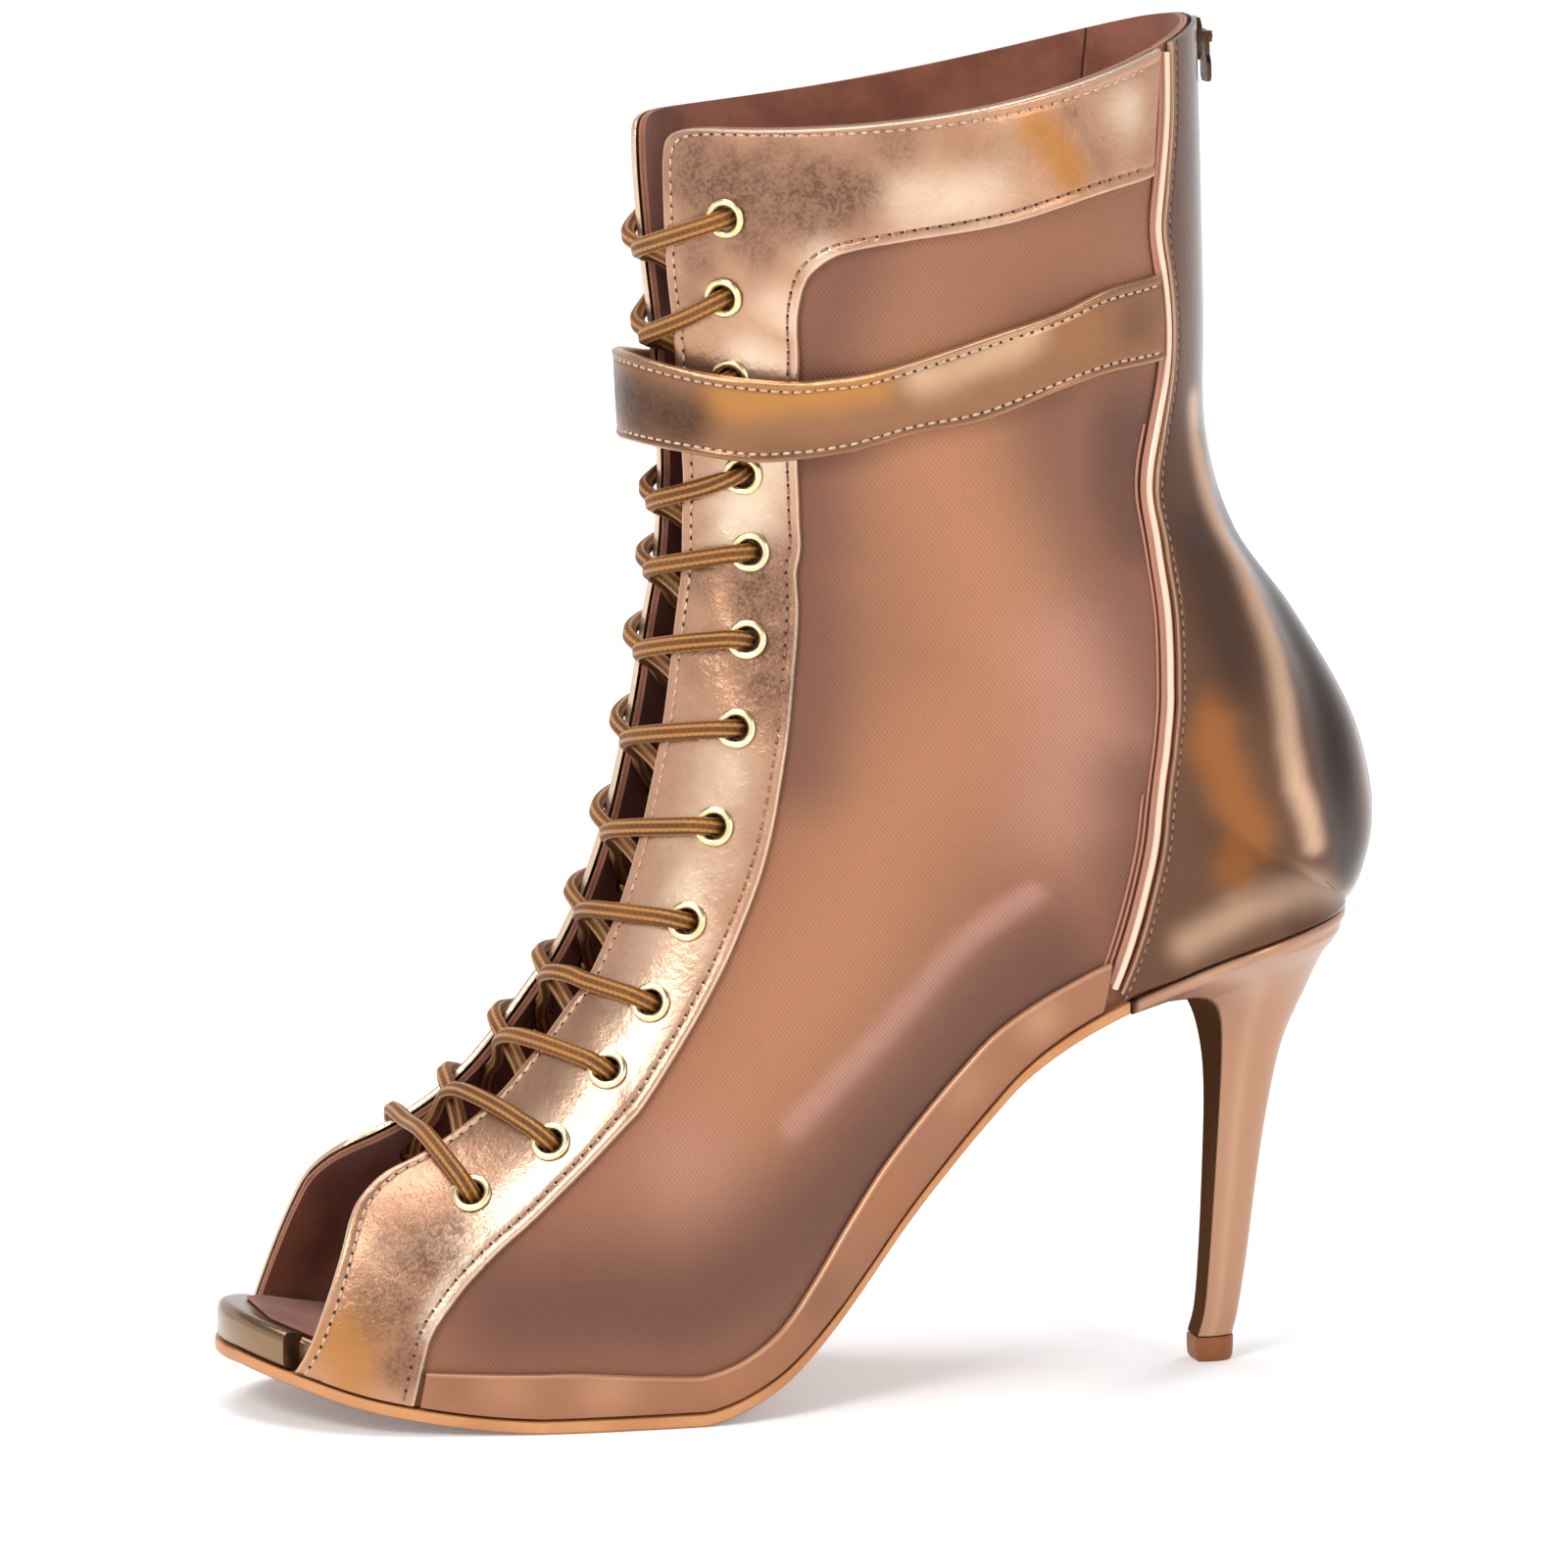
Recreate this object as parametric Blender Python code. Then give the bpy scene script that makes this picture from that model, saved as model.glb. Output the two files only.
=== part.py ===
"""Dance ankle boot, right foot: open toe, laced front, mesh sides, metallic leather facings, slim heel.

Metres, +Z up, toe towards -X, big-toe side towards -Y. The origin is the middle of the flat tread
under the ball of the foot, on the floor. The boot is drawn as a shoemaker draws it: a sole line
seen from the side, a sole outline seen from above, and a fan of sections that turns from upright at
the toe to level at the collar. The wall and every piece of leather on it are cut from that one form.
"""

import math

import bmesh
import bpy
import numpy as np
from mathutils import Vector

# The boot's own sizes, in metres
LENGTH = 0.2043           # toe end to heel back of the last, as it stands
BALL_WIDTH = 0.0755       # across the last at the ball
SEAT_WIDTH = 0.0500       # across the last at the heel seat
HEEL_HEIGHT = 0.0815      # floor to the underside of the seat at the back
TOE_SPRING = 0.0100       # floor to the sole's underside at the toe end
SHAFT_RISE = 0.1605       # seat to the peak of the collar at the back
ANKLE_WIDTH = 0.0600      # across the form at the ankle
COLLAR_WIDTH = 0.0680     # across the form at the collar
TOE_TO_TREAD = 0.0640     # toe end of the last to the middle of the tread

# Thicknesses and clearances
WALL = 0.0012             # mesh and lining
LEATHER = 0.0009          # metallic leather laid on the wall
OUTSOLE = 0.0022
FOOTBED_TOE = 0.0066      # platform and insole under the toes
FOOTBED_HEEL = 0.0030
SOLE_EDGE = 0.0019        # how far the outsole stands outside the last
GAP = 0.0003              # between two pieces that meet
FACET = 0.00025           # what flat facets lose on a curve
ON_WALL = GAP + FACET     # the underside of anything laid on the wall


def rows(columns, *table):
    """A table with named columns, as one array for each name."""
    return dict(zip(columns.split(), np.array(table, float).T))


def smooth(keys, values, at):
    """The smooth curve through a table's values, with each slope taken from its neighbours."""
    keys, values, at = (np.asarray(item, float) for item in (keys, values, at))
    slopes = np.gradient(values, keys)
    low = np.clip(np.searchsorted(keys, at, side="right") - 1, 0, len(keys) - 2)
    span = keys[low + 1] - keys[low]
    t = np.clip((at - keys[low]) / span, 0.0, 1.0)
    rise = (1 + 2 * t) * (1 - t) ** 2 * values[low] + t * t * (3 - 2 * t) * values[low + 1]
    return rise + span * t * (1 - t) * ((1 - t) * slopes[low] - t * slopes[low + 1])


def ease(low, high, at):
    t = np.clip((np.asarray(at, float) - low) / (high - low), 0.0, 1.0)
    return t * t * (3 - 2 * t)


# Sole line from the side. along: share of LENGTH from the toe end; lift: share of HEEL_HEIGHT;
# spring: share of TOE_SPRING
SOLE_LINE = rows(
    "along lift spring",
    (0.000, 0.000, 1.00),
    (0.041, 0.000, 0.74),
    (0.081, 0.000, 0.48),
    (0.153, 0.000, 0.18),
    (0.239, 0.000, 0.00),
    (0.316, 0.000, 0.00),
    (0.385, 0.000, 0.00),
    (0.424, 0.030, 0.00),
    (0.462, 0.080, 0.00),
    (0.502, 0.163, 0.00),
    (0.541, 0.268, 0.00),
    (0.580, 0.385, 0.00),
    (0.619, 0.497, 0.00),
    (0.654, 0.597, 0.00),
    (0.688, 0.690, 0.00),
    (0.725, 0.762, 0.00),
    (0.768, 0.824, 0.00),
    (0.829, 0.888, 0.00),
    (0.876, 0.931, 0.00),
    (0.929, 0.968, 0.00),
    (1.000, 1.000, 0.00),
)

# Outline of the last from above. medial, lateral: shares of half the local width
OUTLINE = rows(
    "along medial lateral",
    (0.000, 0.62, 0.60),
    (0.060, 0.70, 0.69),
    (0.120, 0.80, 0.79),
    (0.190, 0.89, 0.91),
    (0.260, 0.94, 0.98),
    (0.330, 0.95, 1.01),
    (0.390, 0.94, 1.00),
    (0.450, 0.89, 0.95),
    (0.510, 0.82, 0.90),
    (0.580, 0.77, 0.88),
    (0.660, 0.80, 0.91),
    (0.750, 0.89, 0.96),
    (0.840, 0.97, 0.99),
    (0.910, 1.00, 1.00),
    (1.000, 1.00, 1.00),
)
TOE_ROUND, HEEL_ROUND = 0.115, 0.120     # shares of LENGTH over which the outline closes


def sole_height(along):
    """Underside of the outsole at a share of the length."""
    lift = smooth(SOLE_LINE["along"], SOLE_LINE["lift"], along)
    spring = smooth(SOLE_LINE["along"], SOLE_LINE["spring"], along)
    return np.maximum(lift * HEEL_HEIGHT + spring * TOE_SPRING, 0.0)


def share_of(x):
    return (np.asarray(x, float) + TOE_TO_TREAD) / LENGTH


def feather_height(x):
    """Lower edge of the wall, on the outsole or the heel, at a place along the boot."""
    return sole_height(np.clip(share_of(x), 0.0, 1.0)) + OUTSOLE + ON_WALL


def half_width(along, side):
    """Half width of the last at a share of the length; side is -1 medial, +1 lateral."""
    shares = OUTLINE["medial"] if side < 0 else OUTLINE["lateral"]
    local = BALL_WIDTH + (SEAT_WIDTH - BALL_WIDTH) * ease(0.40, 0.66, along)
    toe = 1 - np.clip(along / TOE_ROUND, 0, 1)
    heel = 1 - np.clip((1 - along) / HEEL_ROUND, 0, 1)
    ends = np.sqrt(np.clip(1 - toe**2.3, 0, 1)) * np.sqrt(np.clip(1 - heel**2, 0, 1))
    return smooth(OUTLINE["along"], shares, along) * local / 2 * ends


# The fan of sections. front_x, back_x: shares of LENGTH; front_up, back_up: shares of SHAFT_RISE
# above the sole at that section; wide: half width over half the local width, medial and lateral;
# widest: where it lies between front and back; top, low: roundness of each part; peak: how late
# the section climbs to the back
FAN = rows(
    "front_x front_up back_x back_up medial lateral widest top low peak",
    (0.108, 0.232, 0.039, 0.000, 0.620, 0.600, 0.74, 2.2, 2.6, 1.0),
    (0.159, 0.272, 0.113, 0.000, 0.795, 0.780, 0.72, 2.1, 2.6, 1.0),
    (0.212, 0.328, 0.191, 0.000, 0.905, 0.930, 0.68, 2.0, 2.6, 1.0),
    (0.260, 0.398, 0.279, 0.000, 0.965, 1.010, 0.66, 2.0, 2.6, 1.0),
    (0.299, 0.468, 0.372, 0.000, 0.980, 1.030, 0.64, 2.0, 2.5, 1.0),
    (0.333, 0.515, 0.465, 0.000, 0.950, 1.000, 0.62, 2.0, 2.3, 1.0),
    (0.357, 0.520, 0.553, 0.000, 0.925, 0.965, 0.60, 2.0, 2.2, 1.0),
    (0.373, 0.492, 0.651, 0.000, 0.950, 0.990, 0.58, 2.0, 2.1, 1.0),
    (0.381, 0.468, 0.748, 0.000, 0.985, 1.020, 0.57, 2.0, 2.1, 1.0),
    (0.386, 0.462, 0.856, 0.000, 0.990, 1.015, 0.57, 2.0, 2.1, 1.0),
    (0.387, 0.479, 0.947, 0.000, 0.985, 1.000, 0.57, 2.0, 2.0, 1.0),
    (0.387, 0.507, 1.000, 0.000, 0.975, 0.990, 0.57, 2.0, 2.0, 1.0),
    (0.386, 0.548, 1.022, 0.056, 0.965, 0.980, 0.57, 2.0, 2.0, 1.0),
    (0.384, 0.590, 1.024, 0.118, 0.958, 0.972, 0.56, 2.0, 2.0, 1.0),
    (0.382, 0.640, 1.004, 0.211, 0.955, 0.965, 0.55, 2.0, 2.0, 1.0),
    (0.379, 0.695, 0.952, 0.323, 0.955, 0.960, 0.54, 2.0, 2.0, 1.0),
    (0.376, 0.742, 0.896, 0.422, 0.960, 0.962, 0.53, 2.0, 2.0, 1.0),
    (0.373, 0.787, 0.869, 0.534, 0.970, 0.970, 0.52, 2.0, 2.0, 1.2),
    (0.370, 0.828, 0.866, 0.680, 0.980, 0.980, 0.52, 2.0, 2.0, 1.5),
    (0.369, 0.865, 0.862, 0.850, 0.990, 0.990, 0.51, 2.0, 2.0, 1.9),
    (0.368, 0.897, 0.858, 1.000, 1.000, 1.000, 0.50, 2.0, 2.0, 2.3),
)
LAST_STATION = len(FAN["widest"]) - 1
HEEL_STATION = 11.0       # the section that ends at the back of the seat
SAMPLES = np.linspace(0.0, 1.0, 65)      # along one half section
GIRTHS = np.linspace(0.0, 1.0, 129)      # shares of the half girth, front line to sole or back line
HEEL_CORNER = HEEL_STATION - np.array([0.04, 0.03, 0.02, 0.01, 0.004])
STATIONS = np.union1d(np.round(np.arange(0, LAST_STATION + 0.01, 0.05), 3), HEEL_CORNER)

# Lines on the form. station: place in the fan; girth: share of the half girth at that station
THROAT = rows(
    "station girth",
    (0.00, 0.330), (0.06, 0.350), (0.30, 0.290), (0.70, 0.265), (1.20, 0.236), (2.00, 0.200),
    (3.00, 0.170), (4.00, 0.148), (5.00, 0.128), (6.00, 0.118), (7.00, 0.107), (8.00, 0.090),
    (9.00, 0.074), (10.0, 0.063), (11.0, 0.056), (12.0, 0.053), (13.5, 0.053), (15.0, 0.059),
    (16.5, 0.068), (18.0, 0.078), (20.0, 0.082),
)
# The eyestay: its outer edge runs up the open toe, the throat and along the collar, its inner edge
# up the vamp and the shaft and back under the collar. Row by row the two edges face each other.
EYESTAY = rows(
    "out_station out_girth in_station in_girth",
    (0.00, 1.000, 1.25, 1.000),
    (0.00, 0.850, 1.27, 0.880),
    (0.00, 0.690, 1.31, 0.800),
    (0.00, 0.540, 1.45, 0.735),
    (0.00, 0.455, 1.69, 0.664),
    (0.09, 0.375, 2.05, 0.599),
    (0.42, 0.290, 2.45, 0.555),
    (0.95, 0.250, 2.95, 0.512),
    (1.70, 0.212, 3.55, 0.472),
    (2.50, 0.184, 4.15, 0.436),
    (3.30, 0.162, 4.80, 0.409),
    (4.10, 0.146, 5.40, 0.402),
    (4.90, 0.130, 5.95, 0.402),
    (5.70, 0.121, 6.50, 0.395),
    (6.50, 0.113, 7.05, 0.375),
    (7.30, 0.102, 7.75, 0.340),
    (8.20, 0.087, 8.70, 0.282),
    (9.20, 0.072, 9.60, 0.243),
    (10.3, 0.060, 10.5, 0.212),
    (11.4, 0.054, 11.5, 0.196),
    (12.6, 0.052, 12.5, 0.193),
    (13.8, 0.053, 13.6, 0.198),
    (15.0, 0.059, 14.7, 0.218),
    (16.2, 0.066, 15.6, 0.242),
    (17.2, 0.073, 16.3, 0.256),
    (18.1, 0.079, 16.8, 0.272),
    (18.9, 0.083, 17.1, 0.292),
    (19.55, 0.092, 17.35, 0.318),
    (19.88, 0.115, 17.53, 0.348),
    (20.00, 0.160, 17.70, 0.385),
    (20.00, 0.245, 17.90, 0.435),
    (20.00, 0.345, 18.10, 0.495),
    (20.00, 0.455, 18.30, 0.560),
    (20.00, 0.565, 18.52, 0.630),
    (20.00, 0.675, 18.70, 0.700),
)
# The back seam, in metres from the sole or the back line as shares of SHAFT_RISE
BACK_SEAM = rows(
    "station back",
    (8.20, 0.010), (8.70, 0.080), (9.30, 0.152), (10.0, 0.232), (10.6, 0.305), (11.0, 0.368),
    (11.6, 0.384), (12.6, 0.385), (13.5, 0.371), (14.5, 0.325), (15.3, 0.272), (16.1, 0.224),
    (16.8, 0.179), (17.4, 0.150), (18.1, 0.158), (18.45, 0.172), (18.8, 0.160), (19.3, 0.148),
    (20.0, 0.146),
)
SEAM_TURN = (10.3, 11.6)  # stations between which the seam passes the corner of the heel
# The rand: how high the lower band stands above the sole, as shares of HEEL_HEIGHT
RAND = rows(
    "low_station high_station height",
    (1.31, 1.33, 0.078), (2.00, 2.00, 0.091), (2.80, 2.80, 0.098), (3.50, 3.50, 0.088),
    (4.10, 4.10, 0.080), (4.60, 4.60, 0.078), (5.00, 5.00, 0.090), (5.40, 5.40, 0.117),
    (5.80, 5.80, 0.143), (6.20, 6.20, 0.158), (6.60, 6.60, 0.158), (7.00, 7.00, 0.147),
    (7.45, 7.45, 0.128), (7.80, 7.85, 0.118), (8.07, 8.42, 0.116),
)
# The ankle strap, from the middle of the front to the back seam: its two edges, and how far its
# inside stands off the wall, in metres
STRAP = rows(
    "high_station high_girth low_station low_girth lift",
    (14.10, 0.000, 11.90, 0.000, 0.0053),
    (14.18, 0.050, 12.10, 0.047, 0.0056),
    (14.35, 0.100, 12.45, 0.096, 0.0056),
    (14.60, 0.155, 12.85, 0.145, 0.0048),
    (14.96, 0.224, 13.37, 0.196, 0.0029),
    (15.45, 0.285, 13.95, 0.254, 0.0021),
    (16.00, 0.360, 14.60, 0.325, 0.0013),
    (16.62, 0.453, 15.37, 0.419, 0.0008),
    (17.10, 0.535, 16.05, 0.515, ON_WALL),
    (17.54, 0.626, 16.69, 0.614, ON_WALL),
    (17.88, 0.700, 17.14, 0.705, ON_WALL),
    (18.12, 0.770, 17.45, 0.780, ON_WALL),
)
STRAP_THICKNESS = 0.0015

# Eyelets, top to toe: station and share of the half girth
EYELETS = rows(
    "station girth",
    (17.55, 0.173), (16.02, 0.152), (14.30, 0.128), (12.25, 0.128), (10.30, 0.156),
    (8.55, 0.208), (7.35, 0.258), (6.48, 0.277), (5.68, 0.294), (4.82, 0.305),
    (3.92, 0.336), (2.88, 0.402), (1.72, 0.438),
)
EYELET_HOLE, EYELET_RIM, EYELET_BARREL = 0.0022, 0.0036, 0.00265    # radii
EYELET_RISE = 0.0007      # how far an eyelet's rim stands on the leather
EYELET_SIDES = 6
LACE_RADIUS = 0.0015
LACE_SIDES = 6
LACE_LAP = 0.0011         # how far each of two crossing laces is moved off the middle
LACE_STEP = 0.0065        # longest straight piece of a lace
LACE_DIP = 4.0            # stations below the lower eyelet that a lace may reach at the front line
BAR_SAG = 0.0022          # how far the lowest lace sinks into the open throat

SEAM_CORD = 0.0010        # half width of the piping
CORD_HEIGHT = 0.0017      # how far the piping stands on the wall
TAPE_HALF = 0.0025        # zip tape, half width
TAPE = 0.0005
COIL_HALF = 0.0015        # zip teeth, half width
COIL = 0.0013
ZIP_START = 12.7          # station of the zip's lower end
SLIDER_STATION = 19.83    # where the closed zip's slider sits
SLIDER = 0.0007           # thickness of its plate
PULL_LENGTH = 0.0082
PULL_HALF = 0.0022        # half width
PULL = 0.0008             # thickness

SOLE_END = 0.780          # where the outsole gives way to the heel, share of LENGTH
TOP_PIECE = 0.0045        # wear pad under the heel
EDGE_ROUND = 0.0006       # rounding of the sole's lower edge
PLATFORM_ROUND = 0.0024   # rounding of the platform's upper edge

# The heel, ring by ring from the top piece to the seat. front, back: shares of LENGTH from the toe;
# front_z, back_z: shares of the way from the top piece up to HEEL_HEIGHT; half: half width over half
# of SEAT_WIDTH; seat: how much of the seat's outline the ring has taken
HEEL_FOOT = TOP_PIECE + GAP
HEEL = rows(
    "front back front_z back_z half seat",
    (0.8740, 0.9104, 0.0000, 0.0000, 0.140, 0.00),
    (0.8800, 0.9160, 0.0649, 0.0649, 0.144, 0.00),
    (0.8840, 0.9236, 0.1978, 0.1978, 0.156, 0.00),
    (0.8875, 0.9320, 0.3805, 0.3805, 0.180, 0.00),
    (0.8900, 0.9427, 0.5633, 0.5633, 0.216, 0.00),
    (0.8890, 0.9550, 0.6812, 0.7067, 0.290, 0.05),
    (0.8830, 0.9740, 0.7715, 0.8247, 0.430, 0.15),
    (0.8690, 0.9880, 0.8247, 0.9150, 0.640, 0.35),
    (0.8470, 0.9980, 0.8470, 0.9575, 0.820, 0.65),
    (0.8170, 1.0030, 0.8512, 0.9841, 0.960, 0.90),
)
HEEL_FRONT = SOLE_END + 0.002


def column(name, station):
    return smooth(np.arange(LAST_STATION + 1), FAN[name], station)


def section(station, side):
    """Points of one half section, from the front line to the sole or the back line."""
    front_x, back_x = (column(name, station) * LENGTH - TOE_TO_TREAD for name in ("front_x", "back_x"))
    foot = feather_height(back_x if station < HEEL_STATION else LENGTH - TOE_TO_TREAD)
    front_z = foot + column("front_up", station) * SHAFT_RISE
    back_z = foot + (column("back_up", station) if station > HEEL_STATION else 0.0) * SHAFT_RISE
    shaft = ANKLE_WIDTH + (COLLAR_WIDTH - ANKLE_WIDTH) * ease(13, LAST_STATION, station)
    local = BALL_WIDTH + (shaft - BALL_WIDTH) * ease(4, 9, station)
    wide = column("medial" if side < 0 else "lateral", station) * local / 2
    edge = 0.0
    if station < HEEL_STATION:
        edge = float(half_width(np.clip(share_of(back_x), 0, 1), side))
        wide = max(wide, edge * 1.02)
    widest, top, low = (float(column(name, station)) for name in ("widest", "top", "low"))
    upper_part = SAMPLES < 0.5
    turn = np.where(upper_part, SAMPLES, 0.5) * math.pi
    y = wide * np.sin(turn) ** (2 / top)
    depth = widest * (1 - np.cos(turn).clip(0) ** (2 / top))
    last_turn = math.acos(min(edge / wide, 0.999) ** (low / 2))
    turn = np.where(upper_part, 0.0, (SAMPLES - 0.5) * 2) * last_turn
    lower_y = wide * np.cos(turn).clip(0) ** (2 / low)
    lower_depth = widest + (1 - widest) * (np.sin(turn) / math.sin(last_turn)) ** (2 / low)
    y = np.where(upper_part, y, lower_y)
    depth = np.where(upper_part, depth, lower_depth)
    x = front_x + (back_x - front_x) * depth
    z = front_z + (back_z - front_z) * depth ** column("peak", station)
    return np.stack([x, side * y, z], axis=1)


def laid_out():
    """The whole form as two grids a side, of points and of outward normals, by station and girth."""
    points, normals = {}, {}
    for side in (-1, 1):
        rings = []
        for station in STATIONS:
            ring = section(float(station), side)
            run = np.concatenate([[0.0], np.linalg.norm(np.diff(ring, axis=0), axis=1).cumsum()])
            rings.append([np.interp(GIRTHS * run[-1], run, ring[:, axis]) for axis in range(3)])
        grid = np.array(rings).transpose(0, 2, 1)
        up = np.gradient(grid, STATIONS, axis=0)
        down = np.gradient(grid, GIRTHS, axis=1)
        normal = np.cross(down, up)
        normal *= side * np.sign(normal[len(STATIONS) // 2, len(GIRTHS) // 2, 1])
        normal[:, 0, 1] = 0.0
        normal[STATIONS >= HEEL_STATION, -1, 1] = 0.0
        points[side] = grid
        normals[side] = normal / np.linalg.norm(normal, axis=2, keepdims=True)
    return points, normals


FORM_POINTS, FORM_NORMALS = laid_out()


def blend(grid, station, girth):
    """A grid's value between its rows and columns."""
    station = np.clip(station, 0, LAST_STATION)
    row = min(int(np.searchsorted(STATIONS, station, side="right")) - 1, len(STATIONS) - 2)
    low_share = (station - STATIONS[row]) / (STATIONS[row + 1] - STATIONS[row])
    place = min(max(girth, 0.0), 1.0) * (len(GIRTHS) - 1)
    line = min(int(place), len(GIRTHS) - 2)
    share = place - line
    near = grid[row, line] * (1 - share) + grid[row, line + 1] * share
    far = grid[row + 1, line] * (1 - share) + grid[row + 1, line + 1] * share
    return near * (1 - low_share) + far * low_share


def form(station, girth, side, lift=0.0):
    """A point on the form, or lifted off it along its normal."""
    point = blend(FORM_POINTS[side], station, girth)
    normal = blend(FORM_NORMALS[side], station, girth)
    point = point + normal / np.linalg.norm(normal) * lift
    foot = feather_height(point[0])
    if point[2] < foot or (girth >= 1.0 and station < HEEL_STATION):
        point[2] = foot
    return point


def half_girth(station, side):
    ring = np.array([blend(FORM_POINTS[side], station, girth) for girth in np.linspace(0, 1, 41)])
    return float(np.linalg.norm(np.diff(ring, axis=0), axis=1).sum())


def seam_run(station, side):
    """Girth from the front line to the back seam, drawn straight past the corner of the heel."""
    low, high = SEAM_TURN
    ends = SEAM_TURN if low < station < high else (station, station)
    runs = [
        half_girth(one, side) - smooth(BACK_SEAM["station"], BACK_SEAM["back"], one) * SHAFT_RISE
        for one in ends
    ]
    return float(np.interp(station, ends, runs)) if ends is SEAM_TURN else float(runs[0])


def seam_girth(station, side, before=0.0):
    """Girth share of the back seam, or of a line that many metres in front of it, square to it."""
    near = np.clip([station - 0.15, station + 0.15], 8.0, LAST_STATION)
    girths = [half_girth(one, side) for one in near]
    runs = [seam_run(one, side) for one in near]
    ends = [form(one, run / girth, side) for one, run, girth in zip(near, runs, girths)]
    level = [form(one, np.mean(runs) / girth, side) for one, girth in zip(near, girths)]
    lean = np.linalg.norm(ends[1] - ends[0]) / max(np.linalg.norm(level[1] - level[0]), 1e-6)
    return min((seam_run(station, side) - before * max(lean, 1.0)) / half_girth(station, side), 1.0)


def throat_girth(station):
    """Girth share of the throat edge."""
    return float(smooth(THROAT["station"], THROAT["girth"], station))


# Objects

def material(name, colour, roughness, metallic):
    made = bpy.data.materials.new(name)
    made.use_nodes = True
    shader = made.node_tree.nodes["Principled BSDF"]
    shader.inputs["Base Color"].default_value = (*colour, 1.0)
    shader.inputs["Roughness"].default_value = roughness
    shader.inputs["Metallic"].default_value = metallic
    return made


def add(name, mesh, finish, collection):
    item = bpy.data.objects.new(name, mesh)
    mesh.materials.append(finish)
    mesh.shade_smooth()
    mesh.set_sharp_from_angle(angle=math.radians(35))
    collection.objects.link(item)
    return item


def mesh_of(name, points, faces):
    """A closed mesh from corner points and faces, with its normals turned out."""
    build = bmesh.new()
    corners = [build.verts.new(point) for point in points]
    for face in faces:
        ring = list(dict.fromkeys(face))
        if len(ring) > 2:
            build.faces.new([corners[index] for index in ring])
    bmesh.ops.recalc_face_normals(build, faces=build.faces)
    mesh = bpy.data.meshes.new(name)
    build.to_mesh(mesh)
    build.free()
    return mesh


def shell(name, patches):
    """A closed wall from patches of grid rows. Each grid place holds its outer and inner point;
    patches that share points are joined, and open edges get a rim."""
    outer, inner, index, faces = [], [], {}, []

    def corner(pair):
        key = tuple(np.round(pair[0], 6) + 0.0)
        if key not in index:
            index[key] = len(outer)
            outer.append(pair[0])
            inner.append(pair[1])
        return index[key]

    for patch in patches:
        grid = [[corner(pair) for pair in row] for row in patch]
        for low, high in zip(grid, grid[1:]):
            for a, b, c, d in zip(low, low[1:], high[1:], high):
                one, other = (np.linalg.norm(outer[p] - outer[q]) for p, q in ((a, c), (b, d)))
                split = ([a, b, c], [a, c, d]) if one <= other else ([a, b, d], [b, c, d])
                if len({a, b, c, d}) < 4:
                    split = ([a, b, c], [a, c, d])
                faces += [face for face in split if len(set(face)) == 3]
    count = len(outer)
    edges = {}
    for face in faces:
        for a, b in zip(face, face[1:] + face[:1]):
            edges.setdefault(frozenset((a, b)), []).append((a, b))
    rim = [pair[0] for pair in edges.values() if len(pair) == 1]
    whole = faces + [[point + count for point in reversed(face)] for face in faces]
    whole += [[b, a, a + count, b + count] for a, b in rim]
    return mesh_of(name, outer + inner, whole)


def pair_at(station, girth, side, low, high):
    return form(station, girth, side, high), form(station, girth, side, low)


def strip(name, first, second, side, low, high, lengthways, across, stop=None):
    """A band of leather between two lines of stations and girths, from height low to height high.
    With stop, its last row ends that far in front of the back seam."""
    steps = np.arange(len(first[0]))
    places = np.linspace(0, steps[-1], lengthways + 1)
    lines = [[smooth(steps, values, places) for values in line] for line in (first, second)]
    patch = []
    for row in range(lengthways + 1):
        patch.append([])
        for share in np.linspace(0, 1, across + 1):
            station, girth = (lines[0][k][row] * (1 - share) + lines[1][k][row] * share for k in (0, 1))
            if stop and row == lengthways:
                girth = seam_girth(station, side, stop)
            patch[-1].append(pair_at(station, min(girth, 1.0), side, low, high))
    return shell(name, [patch])


def spaced(start, end, count):
    """Places between two ends, closer together towards both."""
    return start + (end - start) * (1 - np.cos(np.linspace(0, math.pi, count + 1))) / 2


def outline(alongs, side, grow):
    """The last's outline from above, moved outwards by grow."""
    x = alongs * LENGTH - TOE_TO_TREAD
    y = np.array([float(half_width(along, side)) for along in alongs])
    step = np.stack([np.gradient(x), np.gradient(y)])
    out = np.stack([-step[1], step[0]]) / np.linalg.norm(step, axis=0)
    for end in (0, -1):
        if y[end] < 1e-6:
            out[:, end] = (-1.0 if end == 0 else 1.0, 0.0)
        elif end == -1:
            out[:, end] = (0.0, 1.0)
    return np.stack([x + out[0] * grow, side * (y + out[1] * grow)], axis=1)


def slab(name, rings, alongs):
    """A flat-lying solid through rings of the last's outline. A ring is how far it is moved out, as
    one number or one for each place, and its height as a function of x."""
    points, faces, loops = [], [], []
    for grow, height in rings:
        left, right = (outline(alongs, side, grow) for side in (-1, 1))
        loop = []
        for one in (left, right):
            loop.append([])
            for place, (x, y) in enumerate(one):
                tip = place in (0, len(alongs) - 1) and abs(y) < 1e-6
                if tip and one is right:
                    loop[-1].append(loop[0][place])
                    continue
                loop[-1].append(len(points))
                points.append((x, y, float(height(x))))
        loops.append(loop)
    for low, high in zip(loops, loops[1:]):
        for (low_line, high_line, turn) in ((low[0], high[0], 1), (low[1], high[1], -1)):
            for a, b, c, d in zip(low_line, low_line[1:], high_line[1:], high_line):
                faces.append([a, b, c, d][::turn])
        for end in (0, -1):
            faces.append([low[0][end], high[0][end], high[1][end], low[1][end]])
    for left, right in (loops[0], loops[-1]):
        for a, b, c, d in zip(left, left[1:], right[1:], right):
            faces.append([a, b, c, d])
    return mesh_of(name, points, faces)


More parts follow.
